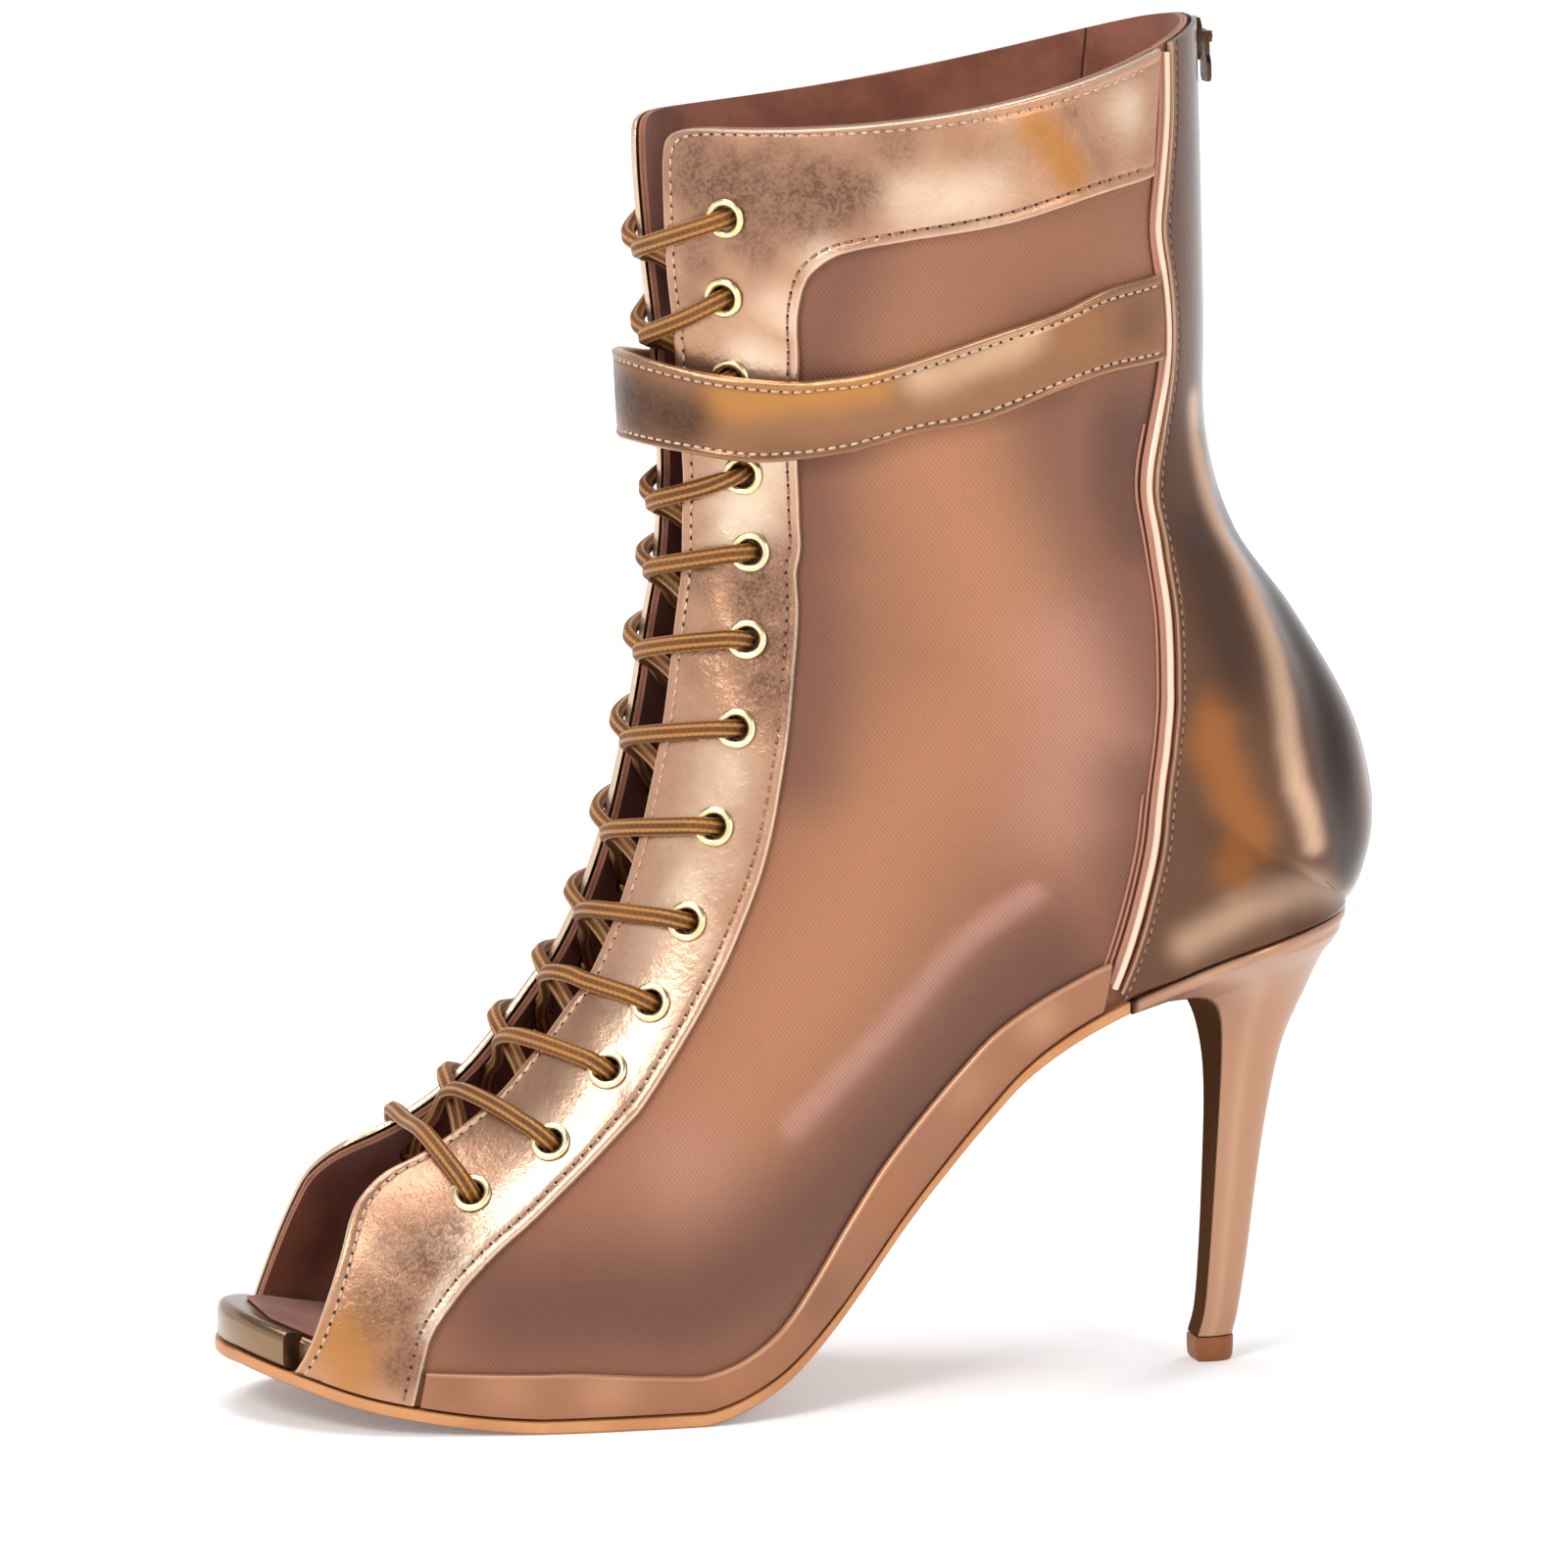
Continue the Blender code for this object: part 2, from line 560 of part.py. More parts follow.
def cord(name, points, radius, sides):
    """A round cord through the points, with flat ends."""
    points = np.asarray(points, float)
    along = np.gradient(points, axis=0)
    along /= np.linalg.norm(along, axis=1, keepdims=True)
    across = np.cross(along[0], (0.0, 0.0, 1.0))
    corners, faces = [], []
    turns = np.arange(sides) * 2 * math.pi / sides
    for point, direction in zip(points, along):
        across = across - direction * across.dot(direction)
        across /= np.linalg.norm(across)
        up = np.cross(direction, across)
        corners += [point + radius * (math.cos(turn) * across + math.sin(turn) * up) for turn in turns]
    for row in range(len(points) - 1):
        for step in range(sides):
            a, b = row * sides + step, row * sides + (step + 1) % sides
            faces.append([a, b, b + sides, a + sides])
    faces.append(list(range(sides)))
    faces.append(list(range(len(corners) - sides, len(corners))))
    return mesh_of(name, corners, faces)


def turned(name, profile, sides, middle, axis):
    """A ring turned about an axis from (radius, height) pairs."""
    axis = Vector(axis).normalized()
    first = axis.orthogonal().normalized()
    second = axis.cross(first)
    corners, faces = [], []
    for step in range(sides):
        turn = 2 * math.pi * step / sides
        out = first * math.cos(turn) + second * math.sin(turn)
        corners += [Vector(middle) + out * radius + axis * height for radius, height in profile]
    size = len(profile)
    for step in range(sides):
        here, there = step * size, (step + 1) % sides * size
        for place in range(size):
            after = (place + 1) % size
            faces.append([here + place, here + after, there + after, there + place])
    return mesh_of(name, corners, faces)


def prism(name, shape, low, high, frame):
    """A flat shape given by (up, across) pairs, between two heights, in a frame of middle, up,
    across and out."""
    middle, up, across, out = frame
    corners = [middle + up * u + across * v + out * n for n in (low, high) for u, v in shape]
    size = len(shape)
    faces = [list(range(size)), list(range(size, 2 * size))]
    faces += [[a, (a + 1) % size, (a + 1) % size + size, a + size] for a in range(size)]
    return mesh_of(name, corners, faces)


def joined(name, meshes):
    """Several closed meshes as one, side by side."""
    build = bmesh.new()
    for mesh in meshes:
        build.from_mesh(mesh)
        bpy.data.meshes.remove(mesh)
    whole = bpy.data.meshes.new(name)
    build.to_mesh(whole)
    build.free()
    return whole


def combined(mesh, operation, other):
    """One mesh after a Boolean with another."""
    item, tool = (bpy.data.objects.new(one.name, one) for one in (mesh, other))
    for one in (item, tool):
        bpy.context.scene.collection.objects.link(one)
    change = item.modifiers.new("combine", "BOOLEAN")
    change.operation = operation
    change.solver = "MANIFOLD"
    change.object = tool
    graph = bpy.context.evaluated_depsgraph_get()
    whole = bpy.data.meshes.new_from_object(item.evaluated_get(graph))
    for one in (item, tool):
        bpy.data.objects.remove(one)
    for one in (mesh, other):
        bpy.data.meshes.remove(one)
    return whole


# Pieces

def outsole():
    alongs = spaced(0.0, 1.0, 44)
    alongs = np.append(alongs[alongs < SOLE_END - 0.008], SOLE_END)
    rings = (
        (SOLE_EDGE - EDGE_ROUND, lambda x: sole_height(share_of(x).clip(0, 1))),
        (SOLE_EDGE, lambda x: sole_height(share_of(x).clip(0, 1)) + EDGE_ROUND),
        (SOLE_EDGE, lambda x: sole_height(share_of(x).clip(0, 1)) + OUTSOLE),
    )
    return slab("outsole", rings, alongs)


def footbed():
    """Full width where the open toe shows it, and inside the wall behind that."""
    wall_start = float(column("back_x", 0.0))
    alongs = spaced(0.0, 1.0, 40)
    step = [wall_start - 0.004, wall_start - 0.0035]
    alongs = np.sort(np.concatenate([alongs[abs(alongs - wall_start) > 0.006], step]))
    shown, hidden = LEATHER + ON_WALL, -(WALL + ON_WALL + 2 * GAP)
    grow = np.where(alongs <= step[0] + 1e-9, shown, hidden)

    def thickness(x):
        return FOOTBED_TOE + (FOOTBED_HEEL - FOOTBED_TOE) * ease(0.40, 0.62, share_of(x))

    rings = (
        (grow, feather_height),
        (grow, lambda x: feather_height(x) + thickness(x) - PLATFORM_ROUND * 0.9),
        (grow - PLATFORM_ROUND * 0.3, lambda x: feather_height(x) + thickness(x) - PLATFORM_ROUND * 0.3),
        (grow - PLATFORM_ROUND, lambda x: feather_height(x) + thickness(x)),
    )
    return slab("footbed", rings, alongs)


UPPER_STATIONS = (
    0, 0.3, 0.6, 0.93, 1.3, 1.9, 2.5, 3.1, 3.7, 4.3, 4.9, 5.4, 5.9, 6.4, 6.9, 7.4, 7.9, 8.4, 8.9, 9.4,
    9.9, 10.4, 10.8, 10.97, 11, 11.6, 12.3, 13, 13.6, 14.2, 14.8, 15.3, 15.8, 16.3, 16.8, 17.3, 17.75,
    18.1, 18.45, 18.9, 19.45, 20,
)
UPPER_COLUMNS = (0, 0.05, 0.10, 0.165, 0.26, 0.38, 0.52, 0.66, 0.78, 0.88, 0.945, 1)


def wall_edge(station):
    """Where the wall starts in front: along the eyestay's outer edge, in its corners too."""
    outer, girth = EYESTAY["out_station"], EYESTAY["out_girth"]
    steps = np.arange(len(outer))
    fine = np.linspace(0, steps[-1], 600)
    stations, girths = smooth(steps, outer, fine), smooth(steps, girth, fine)
    climbing = (stations > 0.02) & (stations < LAST_STATION - 0.02)
    return float(np.interp(station, stations[climbing], girths[climbing]))


def upper():
    patches = []
    for side in (-1, 1):
        patch = []
        for station in UPPER_STATIONS:
            start = wall_edge(station)
            columns = [start + (1 - start) * share for share in UPPER_COLUMNS]
            patch.append([pair_at(station, girth, side, -WALL, 0.0) for girth in columns])
        patches.append(patch)
    return shell("upper", patches)


def eyestay(side, name):
    first = (EYESTAY["out_station"], EYESTAY["out_girth"].copy())
    second = (EYESTAY["in_station"], EYESTAY["in_girth"].copy())
    before = SEAM_CORD + 2 * GAP
    for line in (first, second):
        stations = np.append(line[0], line[0][-1])
        girths = np.append(line[1], seam_girth(line[0][-1], side, before))
        if line is first:
            first = (stations, girths)
        else:
            stations[-1] = 18.85
            second = (stations, girths)
    return strip(name, first, second, side, ON_WALL, ON_WALL + LEATHER, 40, 4, before)


SEAM_STATIONS = (8.25,) + tuple(one for one in UPPER_STATIONS if one > 8.3) + (ZIP_START,)
SEAM_STATIONS = tuple(sorted(SEAM_STATIONS))


def back_panel():
    stations = [station for station in SEAM_STATIONS if station > SEAM_STATIONS[0]]
    slot = TAPE_HALF + GAP
    patches = []
    for side in (-1, 1):
        patch = []
        for station in stations:
            seam = seam_girth(station, side, -(SEAM_CORD + 1.5 * GAP))
            open_back = station > ZIP_START - 0.1
            end = 1 - (slot / half_girth(station, side) if open_back else 0.0)
            start = wall_edge(station)
            columns = [start + (1 - start) * share for share in UPPER_COLUMNS[5:]]
            patch.append([
                pair_at(station, min(max(girth, seam), end), side, ON_WALL + FACET, ON_WALL + LEATHER + FACET)
                for girth in [seam] + columns
            ])
        patches.append(patch)
    return shell("back_panel", patches)


def piping(side, name):
    patch = []
    for station in SEAM_STATIONS:
        row = []
        for across in (1, 0, -1):
            girth = min(seam_girth(station, side, SEAM_CORD * across), 1.0)
            height = CORD_HEIGHT * (1 - 0.45 * abs(across))
            row.append(pair_at(station, girth, side, ON_WALL, ON_WALL + height))
        patch.append(row)
    return shell(name, [patch])


def rand(side, name):
    """The band above the sole, from behind the facing to the back seam."""
    stations = [RAND["low_station"][0]]
    stations += [one for one in UPPER_STATIONS if stations[0] + 0.2 < one < 8.0]
    stations += list(RAND["low_station"][-1:])
    patch = []
    for place, station in enumerate(stations):
        height = float(smooth(RAND["low_station"], RAND["height"], station)) * HEEL_HEIGHT
        lean = RAND["high_station"][-1] - RAND["low_station"][-1] if place == len(stations) - 1 else 0.0
        high = station + lean
        top = 1 - height / half_girth(high, side)
        patch.append([
            pair_at(high + (station - high) * share, top + (1 - top) * share, side,
                    ON_WALL, ON_WALL + LEATHER)
            for share in (0, 0.5, 1)
        ])
    return shell(name, [patch])


def strap():
    steps = np.arange(len(STRAP["lift"]))
    before = SEAM_CORD + 2.5 * GAP
    patches = []
    for side in (-1, 1):
        edges = []
        for edge in ("high", "low"):
            girths = STRAP[edge + "_girth"].copy()
            girths[-1] = seam_girth(STRAP[edge + "_station"][-1], side, before)
            edges.append((STRAP[edge + "_station"], girths))
        patch = []
        for place in np.linspace(0, steps[-1], 26):
            lift = float(smooth(steps, STRAP["lift"], place))
            row = []
            for share in (0, 0.5, 1):
                station, girth = (
                    float(smooth(steps, edges[0][k], place)) * (1 - share)
                    + float(smooth(steps, edges[1][k], place)) * share for k in (0, 1)
                )
                if place == steps[-1]:
                    girth = seam_girth(station, side, before)
                row.append(pair_at(station, girth, side, lift, lift + STRAP_THICKNESS))
            patch.append(row)
        patches.append(patch)
    return shell("strap", patches)


def heel_ring(front, back, front_z, back_z, half, seat, shares):
    """Half-ring points of the heel from its breast to its back: x, half width, z."""
    x = (front + (back - front) * shares) * LENGTH - TOE_TO_TREAD
    z = HEEL_FOOT + (front_z + (back_z - front_z) * shares) * (HEEL_HEIGHT - HEEL_FOOT)
    stem = np.sqrt(np.clip(1 - np.clip((shares - 0.3) / 0.7, 0, 1) ** 2, 0, 1))
    stem *= 0.92 + 0.08 * np.clip(shares / 0.3, 0, 1)
    along = HEEL_FRONT + (1 - HEEL_FRONT) * shares
    rim = np.array([float(half_width(place, 1)) for place in along]) / (SEAT_WIDTH / 2)
    y = (stem * (1 - seat) + rim * seat) * half * SEAT_WIDTH / 2
    seat_z = sole_height(along)
    sag = seat_z - (seat_z[0] + (seat_z[-1] - seat_z[0]) * shares)
    return np.stack([x, y, z + sag * seat], axis=1)


def heel():
    shares = np.array([0, 0.1, 0.25, 0.42, 0.6, 0.75, 0.87, 0.95, 1])
    names = ("front", "back", "front_z", "back_z", "half", "seat")
    rings = [heel_ring(*(HEEL[name][row] for name in names), shares) for row in range(len(HEEL["half"]))]
    alongs = HEEL_FRONT + (1 - HEEL_FRONT) * shares
    flush = LEATHER + ON_WALL
    for grow, drop in ((flush - 0.0006, 0.0), (flush, OUTSOLE * 0.5), (flush, OUTSOLE)):
        rim = outline(alongs, 1, grow)
        rings.append(np.stack([rim[:, 0], rim[:, 1], sole_height(share_of(rim[:, 0]).clip(0, 1)) + drop], axis=1))
    return half_rings("heel", rings)


def half_rings(name, rings):
    """A solid through half rings that are mirrored across the boot's middle, with a flat front."""
    points, faces, loops = [], [], []
    half = len(rings[0])
    for ring in rings:
        whole = [(x, y, z) for x, y, z in ring[:-1]] + [(ring[-1][0], 0.0, ring[-1][2])]
        whole += [(x, -y, z) for x, y, z in ring[-2::-1]]
        loops.append(list(range(len(points), len(points) + len(whole))))
        points += whole
    for low, high in zip(loops, loops[1:]):
        turned = zip(low, low[1:] + low[:1], high[1:] + high[:1], high)
        faces += [[a, b, c, d] for a, b, c, d in turned]
    for loop in (loops[0], loops[-1]):
        for step in range(half - 2):
            faces.append([loop[step], loop[step + 1], loop[-2 - step], loop[-1 - step]])
        faces.append(loop[half - 2:half + 1])
    return mesh_of(name, points, faces)


def top_piece():
    shares = np.array([0, 0.12, 0.3, 0.5, 0.7, 0.88, 1])
    names = ("front", "back", "front_z", "back_z", "half", "seat")
    base = heel_ring(*(HEEL[name][0] for name in names), shares)
    middle = base[:, 0].mean()
    rings = []
    for height, size in ((0.0, 0.90), (0.0006, 1.0), (TOP_PIECE, 1.04)):
        ring = base.copy()
        ring[:, 0] = middle + (ring[:, 0] - middle) * size
        ring[:, 1] *= size
        ring[:, 2] = height
        rings.append(ring)
    return half_rings("top_piece", rings)


def zip_tape():
    stations = (ZIP_START + 0.15,) + tuple(one for one in UPPER_STATIONS if one > ZIP_START + 0.2)
    profile = ((0.0, COIL), (COIL_HALF, COIL * 0.8), (TAPE_HALF, TAPE))
    patches = []
    for side in (-1, 1):
        patches.append([[
            pair_at(station, 1 - across / half_girth(station, side), side, ON_WALL, ON_WALL + height)
            for across, height in profile] for station in stations])
    return shell("zip", patches)


def eyelet_place(row, side):
    """Middle of an eyelet on the form, and the form's normal there."""
    station, girth = EYELETS["station"][row], EYELETS["girth"][row]
    low = form(station, girth, side)
    return low, form(station, girth, side, 1.0) - low


def eyelet(row, side, name):
    middle, out = eyelet_place(row, side)
    seat = ON_WALL + LEATHER + GAP + FACET / 2
    profile = (
        (EYELET_HOLE, -WALL - 2 * GAP),
        (EYELET_BARREL, -WALL - 2 * GAP),
        (EYELET_BARREL, seat),
        (EYELET_RIM, seat),
        (EYELET_HOLE + 0.0005, seat + EYELET_RISE),
    )
    return turned(name, profile, EYELET_SIDES, middle, out)


def eyelet_holes(side):
    """What the eyelets' holes take out of the facing and the wall."""
    drills = []
    radius = (EYELET_BARREL + GAP) / math.cos(math.pi / EYELET_SIDES)
    for row in range(len(EYELETS["station"])):
        middle, out = eyelet_place(row, side)
        points = [middle - out * 0.004, middle + out * 0.004]
        drills.append(cord("drill", points, radius, EYELET_SIDES))
    return joined("drills", drills)


def lace_line(side, row, last):
    """Where a lace goes from one side's eyelet to the other side's, down as evenly as it goes across:
    station, girth (below zero on the other side) and side of each place."""
    start, end = ((EYELETS["station"][one], EYELETS["girth"][one]) for one in (row, last))
    top, foot = (
        sum(form(EYELETS["station"][row], EYELETS["girth"][row], one) for one in (-1, 1)) / 2
        for row in (last - 1, last))
    tries = np.linspace(end[0] - LACE_DIP, start[0] + 0.2, 60)
    ends = [float((form(*place, one) - top).dot(foot - top)) for place, one in ((start, side), (end, -side))]
    line = []
    for place in np.linspace(0, 1, 81):
        signed = start[1] - (start[1] + end[1]) * place
        here = side if signed > 0 else -side
        falls = [float((form(one, abs(signed), here) - top).dot(foot - top)) for one in tries]
        station = float(np.interp(-(ends[0] + (ends[1] - ends[0]) * place), np.negative(falls), tries))
        line.append((station, signed, here))
    return line


def lace_run(row, side, lap):
    """From outside at one side's eyelet, over that edge, across, and under the other edge to the next
    eyelet down on the other side."""
    over = ON_WALL + LEATHER + GAP + LACE_RADIUS + 0.0004
    under = -(WALL + GAP + LACE_RADIUS + FACET)
    points = []
    for station, signed, here in lace_line(side, row, row + 1):
        edge = throat_girth(station)
        down = float(ease(-edge * 0.75, edge * 0.75, -signed))
        bump = lap * max(0.0, 1 - abs(signed) / (edge * 0.8))
        points.append(form(station, abs(signed), here, over + (under - over) * down + bump))
    points = np.array(points)
    run = np.concatenate([[0.0], np.linalg.norm(np.diff(points, axis=0), axis=1).cumsum()])
    first, last = EYELET_RIM + 2 * GAP, run[-1] - EYELET_BARREL - 3 * GAP
    cuts = np.linspace(first, last, math.ceil((last - first) / LACE_STEP) + 1)
    return np.stack([np.interp(cuts, run, points[:, axis]) for axis in range(3)], axis=1)


def lace_crossing(row, name):
    """The two laces between one pair of eyelets and the pair below it."""
    strands = [
        cord(name, lace_run(row, side, -side * LACE_LAP), LACE_RADIUS, LACE_SIDES) for side in (-1, 1)
    ]
    return combined(strands[0], "UNION", strands[1])


def lace_bar(name):
    """The lowest lace, straight over from one facing to the other."""
    over = ON_WALL + LEATHER + GAP + LACE_RADIUS + 0.0005
    last = len(EYELETS["station"]) - 1
    points = []
    for station, signed, here in lace_line(-1, last, last):
        sag = BAR_SAG * (1 - ease(0.0, throat_girth(station), abs(signed)))
        points.append(form(station, abs(signed), here, over - float(sag)))
    points = np.array(points)
    run = np.concatenate([[0.0], np.linalg.norm(np.diff(points, axis=0), axis=1).cumsum()])
    ends = EYELET_RIM + 2 * GAP
    cuts = np.linspace(ends, run[-1] - ends, 8)
    path = np.stack([np.interp(cuts, run, points[:, axis]) for axis in range(3)], axis=1)
    return cord(name, path, LACE_RADIUS, LACE_SIDES)


def slider_frame():
    """The back line at the slider: a point on the form, up, across and out."""
    middle = form(SLIDER_STATION, 1.0, -1)
    up = form(SLIDER_STATION + 0.1, 1.0, -1) - form(SLIDER_STATION - 0.1, 1.0, -1)
    up /= np.linalg.norm(up)
    across = np.array([0.0, 1.0, 0.0])
    return middle, up, across, np.cross(across, up)


PIN, EYE_IN, EYE_OUT = 0.00035, 0.00065, 0.00105     # radii of the slider's pin and the pull's eye
SLIDER_SEAT = ON_WALL + COIL + GAP
PIN_HEIGHT = SLIDER_SEAT + SLIDER + GAP + EYE_OUT


def pull_axis():
    """Where the pull turns, in the boot's frame."""
    middle, _, _, out = slider_frame()
    return middle + out * PIN_HEIGHT


def zip_slider():
    frame = slider_frame()
    middle, up, across, out = frame
    plate = ((-0.0042, -0.0015), (-0.0025, -0.0026), (0.0020, -0.0030), (0.0034, -0.0018),
             (0.0034, 0.0018), (0.0020, 0.0030), (-0.0025, 0.0026), (-0.0042, 0.0015))
    whole = prism("zip_slider", plate, SLIDER_SEAT, SLIDER_SEAT + SLIDER, frame)
    for side in (-1, 1):
        near, far = side * (PULL_HALF - 0.0004), side * (PULL_HALF + 0.0003)
        ear = prism("ear", ((-0.001, near), (0.001, near), (0.001, far), (-0.001, far)),
                    SLIDER_SEAT + SLIDER / 2, PIN_HEIGHT + 0.0006, frame)
        whole = combined(whole, "UNION", ear)
    ends = [middle + out * PIN_HEIGHT + across * side * PULL_HALF for side in (-1, 1)]
    return combined(whole, "UNION", cord("pin", ends, PIN, 6))


def zip_pull():
    """The pull tab, drawn about its own axis."""
    _, up, across, out = slider_frame()
    half = PULL_HALF - 0.0007
    middle = np.zeros(3)
    eye = turned("zip_pull", ((EYE_IN, -half), (EYE_OUT, -half), (EYE_OUT, half), (EYE_IN, half)), 8,
                 middle, across)
    shape = ((-0.00085, -half), (-0.0034, -half), (-0.0046, -PULL_HALF), (0.0009 - PULL_LENGTH, -PULL_HALF),
             (-PULL_LENGTH, -half), (-PULL_LENGTH, half), (0.0009 - PULL_LENGTH, PULL_HALF),
             (-0.0046, PULL_HALF), (-0.0034, half), (-0.00085, half))
    tab = prism("tab", shape, -PULL / 2, PULL / 2, (middle, up, across, out))
    return combined(eye, "UNION", tab)


FINISHES = {
    "metallic_leather": ((0.52, 0.32, 0.22), 0.38, 0.75),
    "mesh": ((0.45, 0.27, 0.18), 0.80, 0.00),
    "lining_leather": ((0.30, 0.13, 0.08), 0.70, 0.00),
    "sole_leather": ((0.62, 0.38, 0.20), 0.55, 0.00),
    "piping_cord": ((0.62, 0.42, 0.32), 0.45, 0.50),
    "brass": ((0.80, 0.66, 0.38), 0.28, 1.00),
    "lace_cord": ((0.26, 0.12, 0.04), 0.75, 0.00),
    "heel_rubber": ((0.25, 0.12, 0.03), 0.60, 0.00),
    "zip_metal": ((0.75, 0.62, 0.50), 0.30, 1.00),
    "zip_tape": ((0.28, 0.16, 0.10), 0.85, 0.00),
}


def main():
    for item in list(bpy.data.objects):
        bpy.data.objects.remove(item)
    boot = bpy.data.collections.new("dance_ankle_boot")
    bpy.context.scene.collection.children.link(boot)
    finishes = {name: material(name, *values) for name, values in FINISHES.items()}
    sides = ((-1, "medial"), (1, "lateral"))

    add("outsole", outsole(), finishes["sole_leather"], boot)
    add("footbed", footbed(), finishes["lining_leather"], boot)
    wall = upper()
    for side, _ in sides:
        wall = combined(wall, "DIFFERENCE", eyelet_holes(side))
    add("upper", wall, finishes["mesh"], boot)
    for side, word in sides:
        facing = combined(eyestay(side, f"eyestay_{word}"), "DIFFERENCE", eyelet_holes(side))
        add(f"eyestay_{word}", facing, finishes["metallic_leather"], boot)
        add(f"piping_{word}", piping(side, f"piping_{word}"), finishes["piping_cord"], boot)
        add(f"rand_{word}", rand(side, f"rand_{word}"), finishes["metallic_leather"], boot)
        for row in range(len(EYELETS["station"])):
            name = f"eyelet_{word}_{row + 1:02d}"
            add(name, eyelet(row, side, name), finishes["brass"], boot)
    add("back_panel", back_panel(), finishes["metallic_leather"], boot)
    add("strap", strap(), finishes["metallic_leather"], boot)
    add("heel", heel(), finishes["metallic_leather"], boot)
    add("top_piece", top_piece(), finishes["heel_rubber"], boot)
    for row in range(len(EYELETS["station"]) - 1):
        name = f"lace_crossing_{row + 1:02d}"
        add(name, lace_crossing(row, name), finishes["lace_cord"], boot)
    add("lace_bar_13", lace_bar("lace_bar_13"), finishes["lace_cord"], boot)
    add("zip", zip_tape(), finishes["zip_tape"], boot)
    add("zip_slider", zip_slider(), finishes["zip_metal"], boot)
    pull = add("zip_pull", zip_pull(), finishes["zip_metal"], boot)
    pull.location = pull_axis()
    total = sum(len(face.vertices) - 2 for item in boot.objects for face in item.data.polygons)
    print("triangles in all:", total)
    for item in sorted(boot.objects, key=lambda one: -len(one.data.polygons))[:8]:
        print(item.name, sum(len(face.vertices) - 2 for face in item.data.polygons))
    print("zip pull turns at", [round(float(value), 5) for value in pull.location])


main()
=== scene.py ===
# %% [markdown]
# A dance ankle boot in cells
#
# The boot is a right foot: open toe, laced front, sheer mesh sides, rose-gold metallic leather and a
# slim covered heel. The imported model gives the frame; this script lays the finished surfaces on it.
# Everything is in metres, with the toe towards -X, the big-toe side towards -Y and the floor at z = 0.

# %% The frame
import math

import bmesh
import bpy
import numpy as np
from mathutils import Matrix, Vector
from mathutils.kdtree import KDTree
from numpy.linalg import norm


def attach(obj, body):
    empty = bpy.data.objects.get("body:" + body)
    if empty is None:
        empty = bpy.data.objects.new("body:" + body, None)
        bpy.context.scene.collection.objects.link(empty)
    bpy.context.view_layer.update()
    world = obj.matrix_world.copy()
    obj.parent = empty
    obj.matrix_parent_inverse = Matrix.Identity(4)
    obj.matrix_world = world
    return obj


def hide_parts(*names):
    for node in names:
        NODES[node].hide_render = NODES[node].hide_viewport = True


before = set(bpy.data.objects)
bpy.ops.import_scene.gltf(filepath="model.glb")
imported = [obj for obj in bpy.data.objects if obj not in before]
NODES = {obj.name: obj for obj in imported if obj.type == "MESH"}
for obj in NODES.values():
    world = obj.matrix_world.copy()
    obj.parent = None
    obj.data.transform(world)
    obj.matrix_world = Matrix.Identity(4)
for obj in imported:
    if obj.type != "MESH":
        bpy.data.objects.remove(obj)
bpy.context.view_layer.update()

# %% [markdown]
# The camera
#
# A shoe in a catalogue is shot with a long lens, which keeps its lines straight. A short lens close by
# would frame it too, but it swells the toe, so this camera stands far away, a little in front of the boot's
# side and just above its sole.

# %% Camera
CAMERA_AT = (-0.4977, -2.0715, 0.4321)
CAMERA_LOOKS_AT = (0.0469, 0.0345, 0.1031)
lens = bpy.data.cameras.new("camera")
lens.sensor_fit = "HORIZONTAL"
lens.sensor_width = 36.0
lens.lens = 278.1
lens.clip_start = 0.05
lens.clip_end = 30.0
camera = bpy.data.objects.new("camera", lens)
bpy.context.scene.collection.objects.link(camera)
camera.location = CAMERA_AT
aim = Vector(CAMERA_LOOKS_AT) - Vector(CAMERA_AT)
camera.rotation_euler = aim.to_track_quat("-Z", "Y").to_euler()
bpy.context.scene.camera = camera
bpy.context.scene.view_settings.view_transform = "Standard"
print("camera set, looking", [round(value, 3) for value in aim.normalized()])

# %% [markdown]
# Colours
#
# A maker's swatches are read off a screen as 0 to 255, and Blender's shaders take linear colours. Each
# could be converted by hand; one helper does it the same way for all.


# %% Paint
def paint(red, green, blue):
    """A screen colour as a linear one."""
    shares = np.array([red, green, blue]) / 255
    linear = np.where(shares <= 0.04045, shares / 12.92, ((shares + 0.055) / 1.055) ** 2.4)
    return tuple(float(value) for value in linear)


# %% [markdown]
# The studio
#
# A product studio has white paper that curves up behind the shoe. A studio picture as the world could light
# it too, but metallic leather shows whatever surrounds it, so a dim room with a few large soft boxes puts
# the long highlights where they belong.

# %% Studio
FLOOR_PROFILE = [(0.0, 0.0), (1.2, 0.0), (2.4, 0.0), (3.4, 0.0), (4.0, 0.08), (4.5, 0.35), (4.8, 0.9),
                 (4.9, 1.8), (4.95, 3.2)]
LIGHTS = (
    # name, place, looks at, width, height, watts, colour
    ("key_box", (-2.2, -2.1, 2.5), (0.03, 0, 0.1), 1.3, 1.0, 62.0, (1.0, 0.985, 0.96)),
    ("side_strip", (1.5, -2.6, 1.1), (0.05, 0, 0.12), 0.35, 1.6, 13.0, (1.0, 0.97, 0.93)),
    ("rim_box", (1.9, 1.9, 1.8), (0.08, 0, 0.12), 0.9, 1.2, 22.0, (1.0, 0.98, 0.96)),
    ("top_box", (-0.3, 0.2, 3.1), (0.0, 0, 0.0), 2.2, 2.2, 62.0, (1.0, 1.0, 1.0)),
)


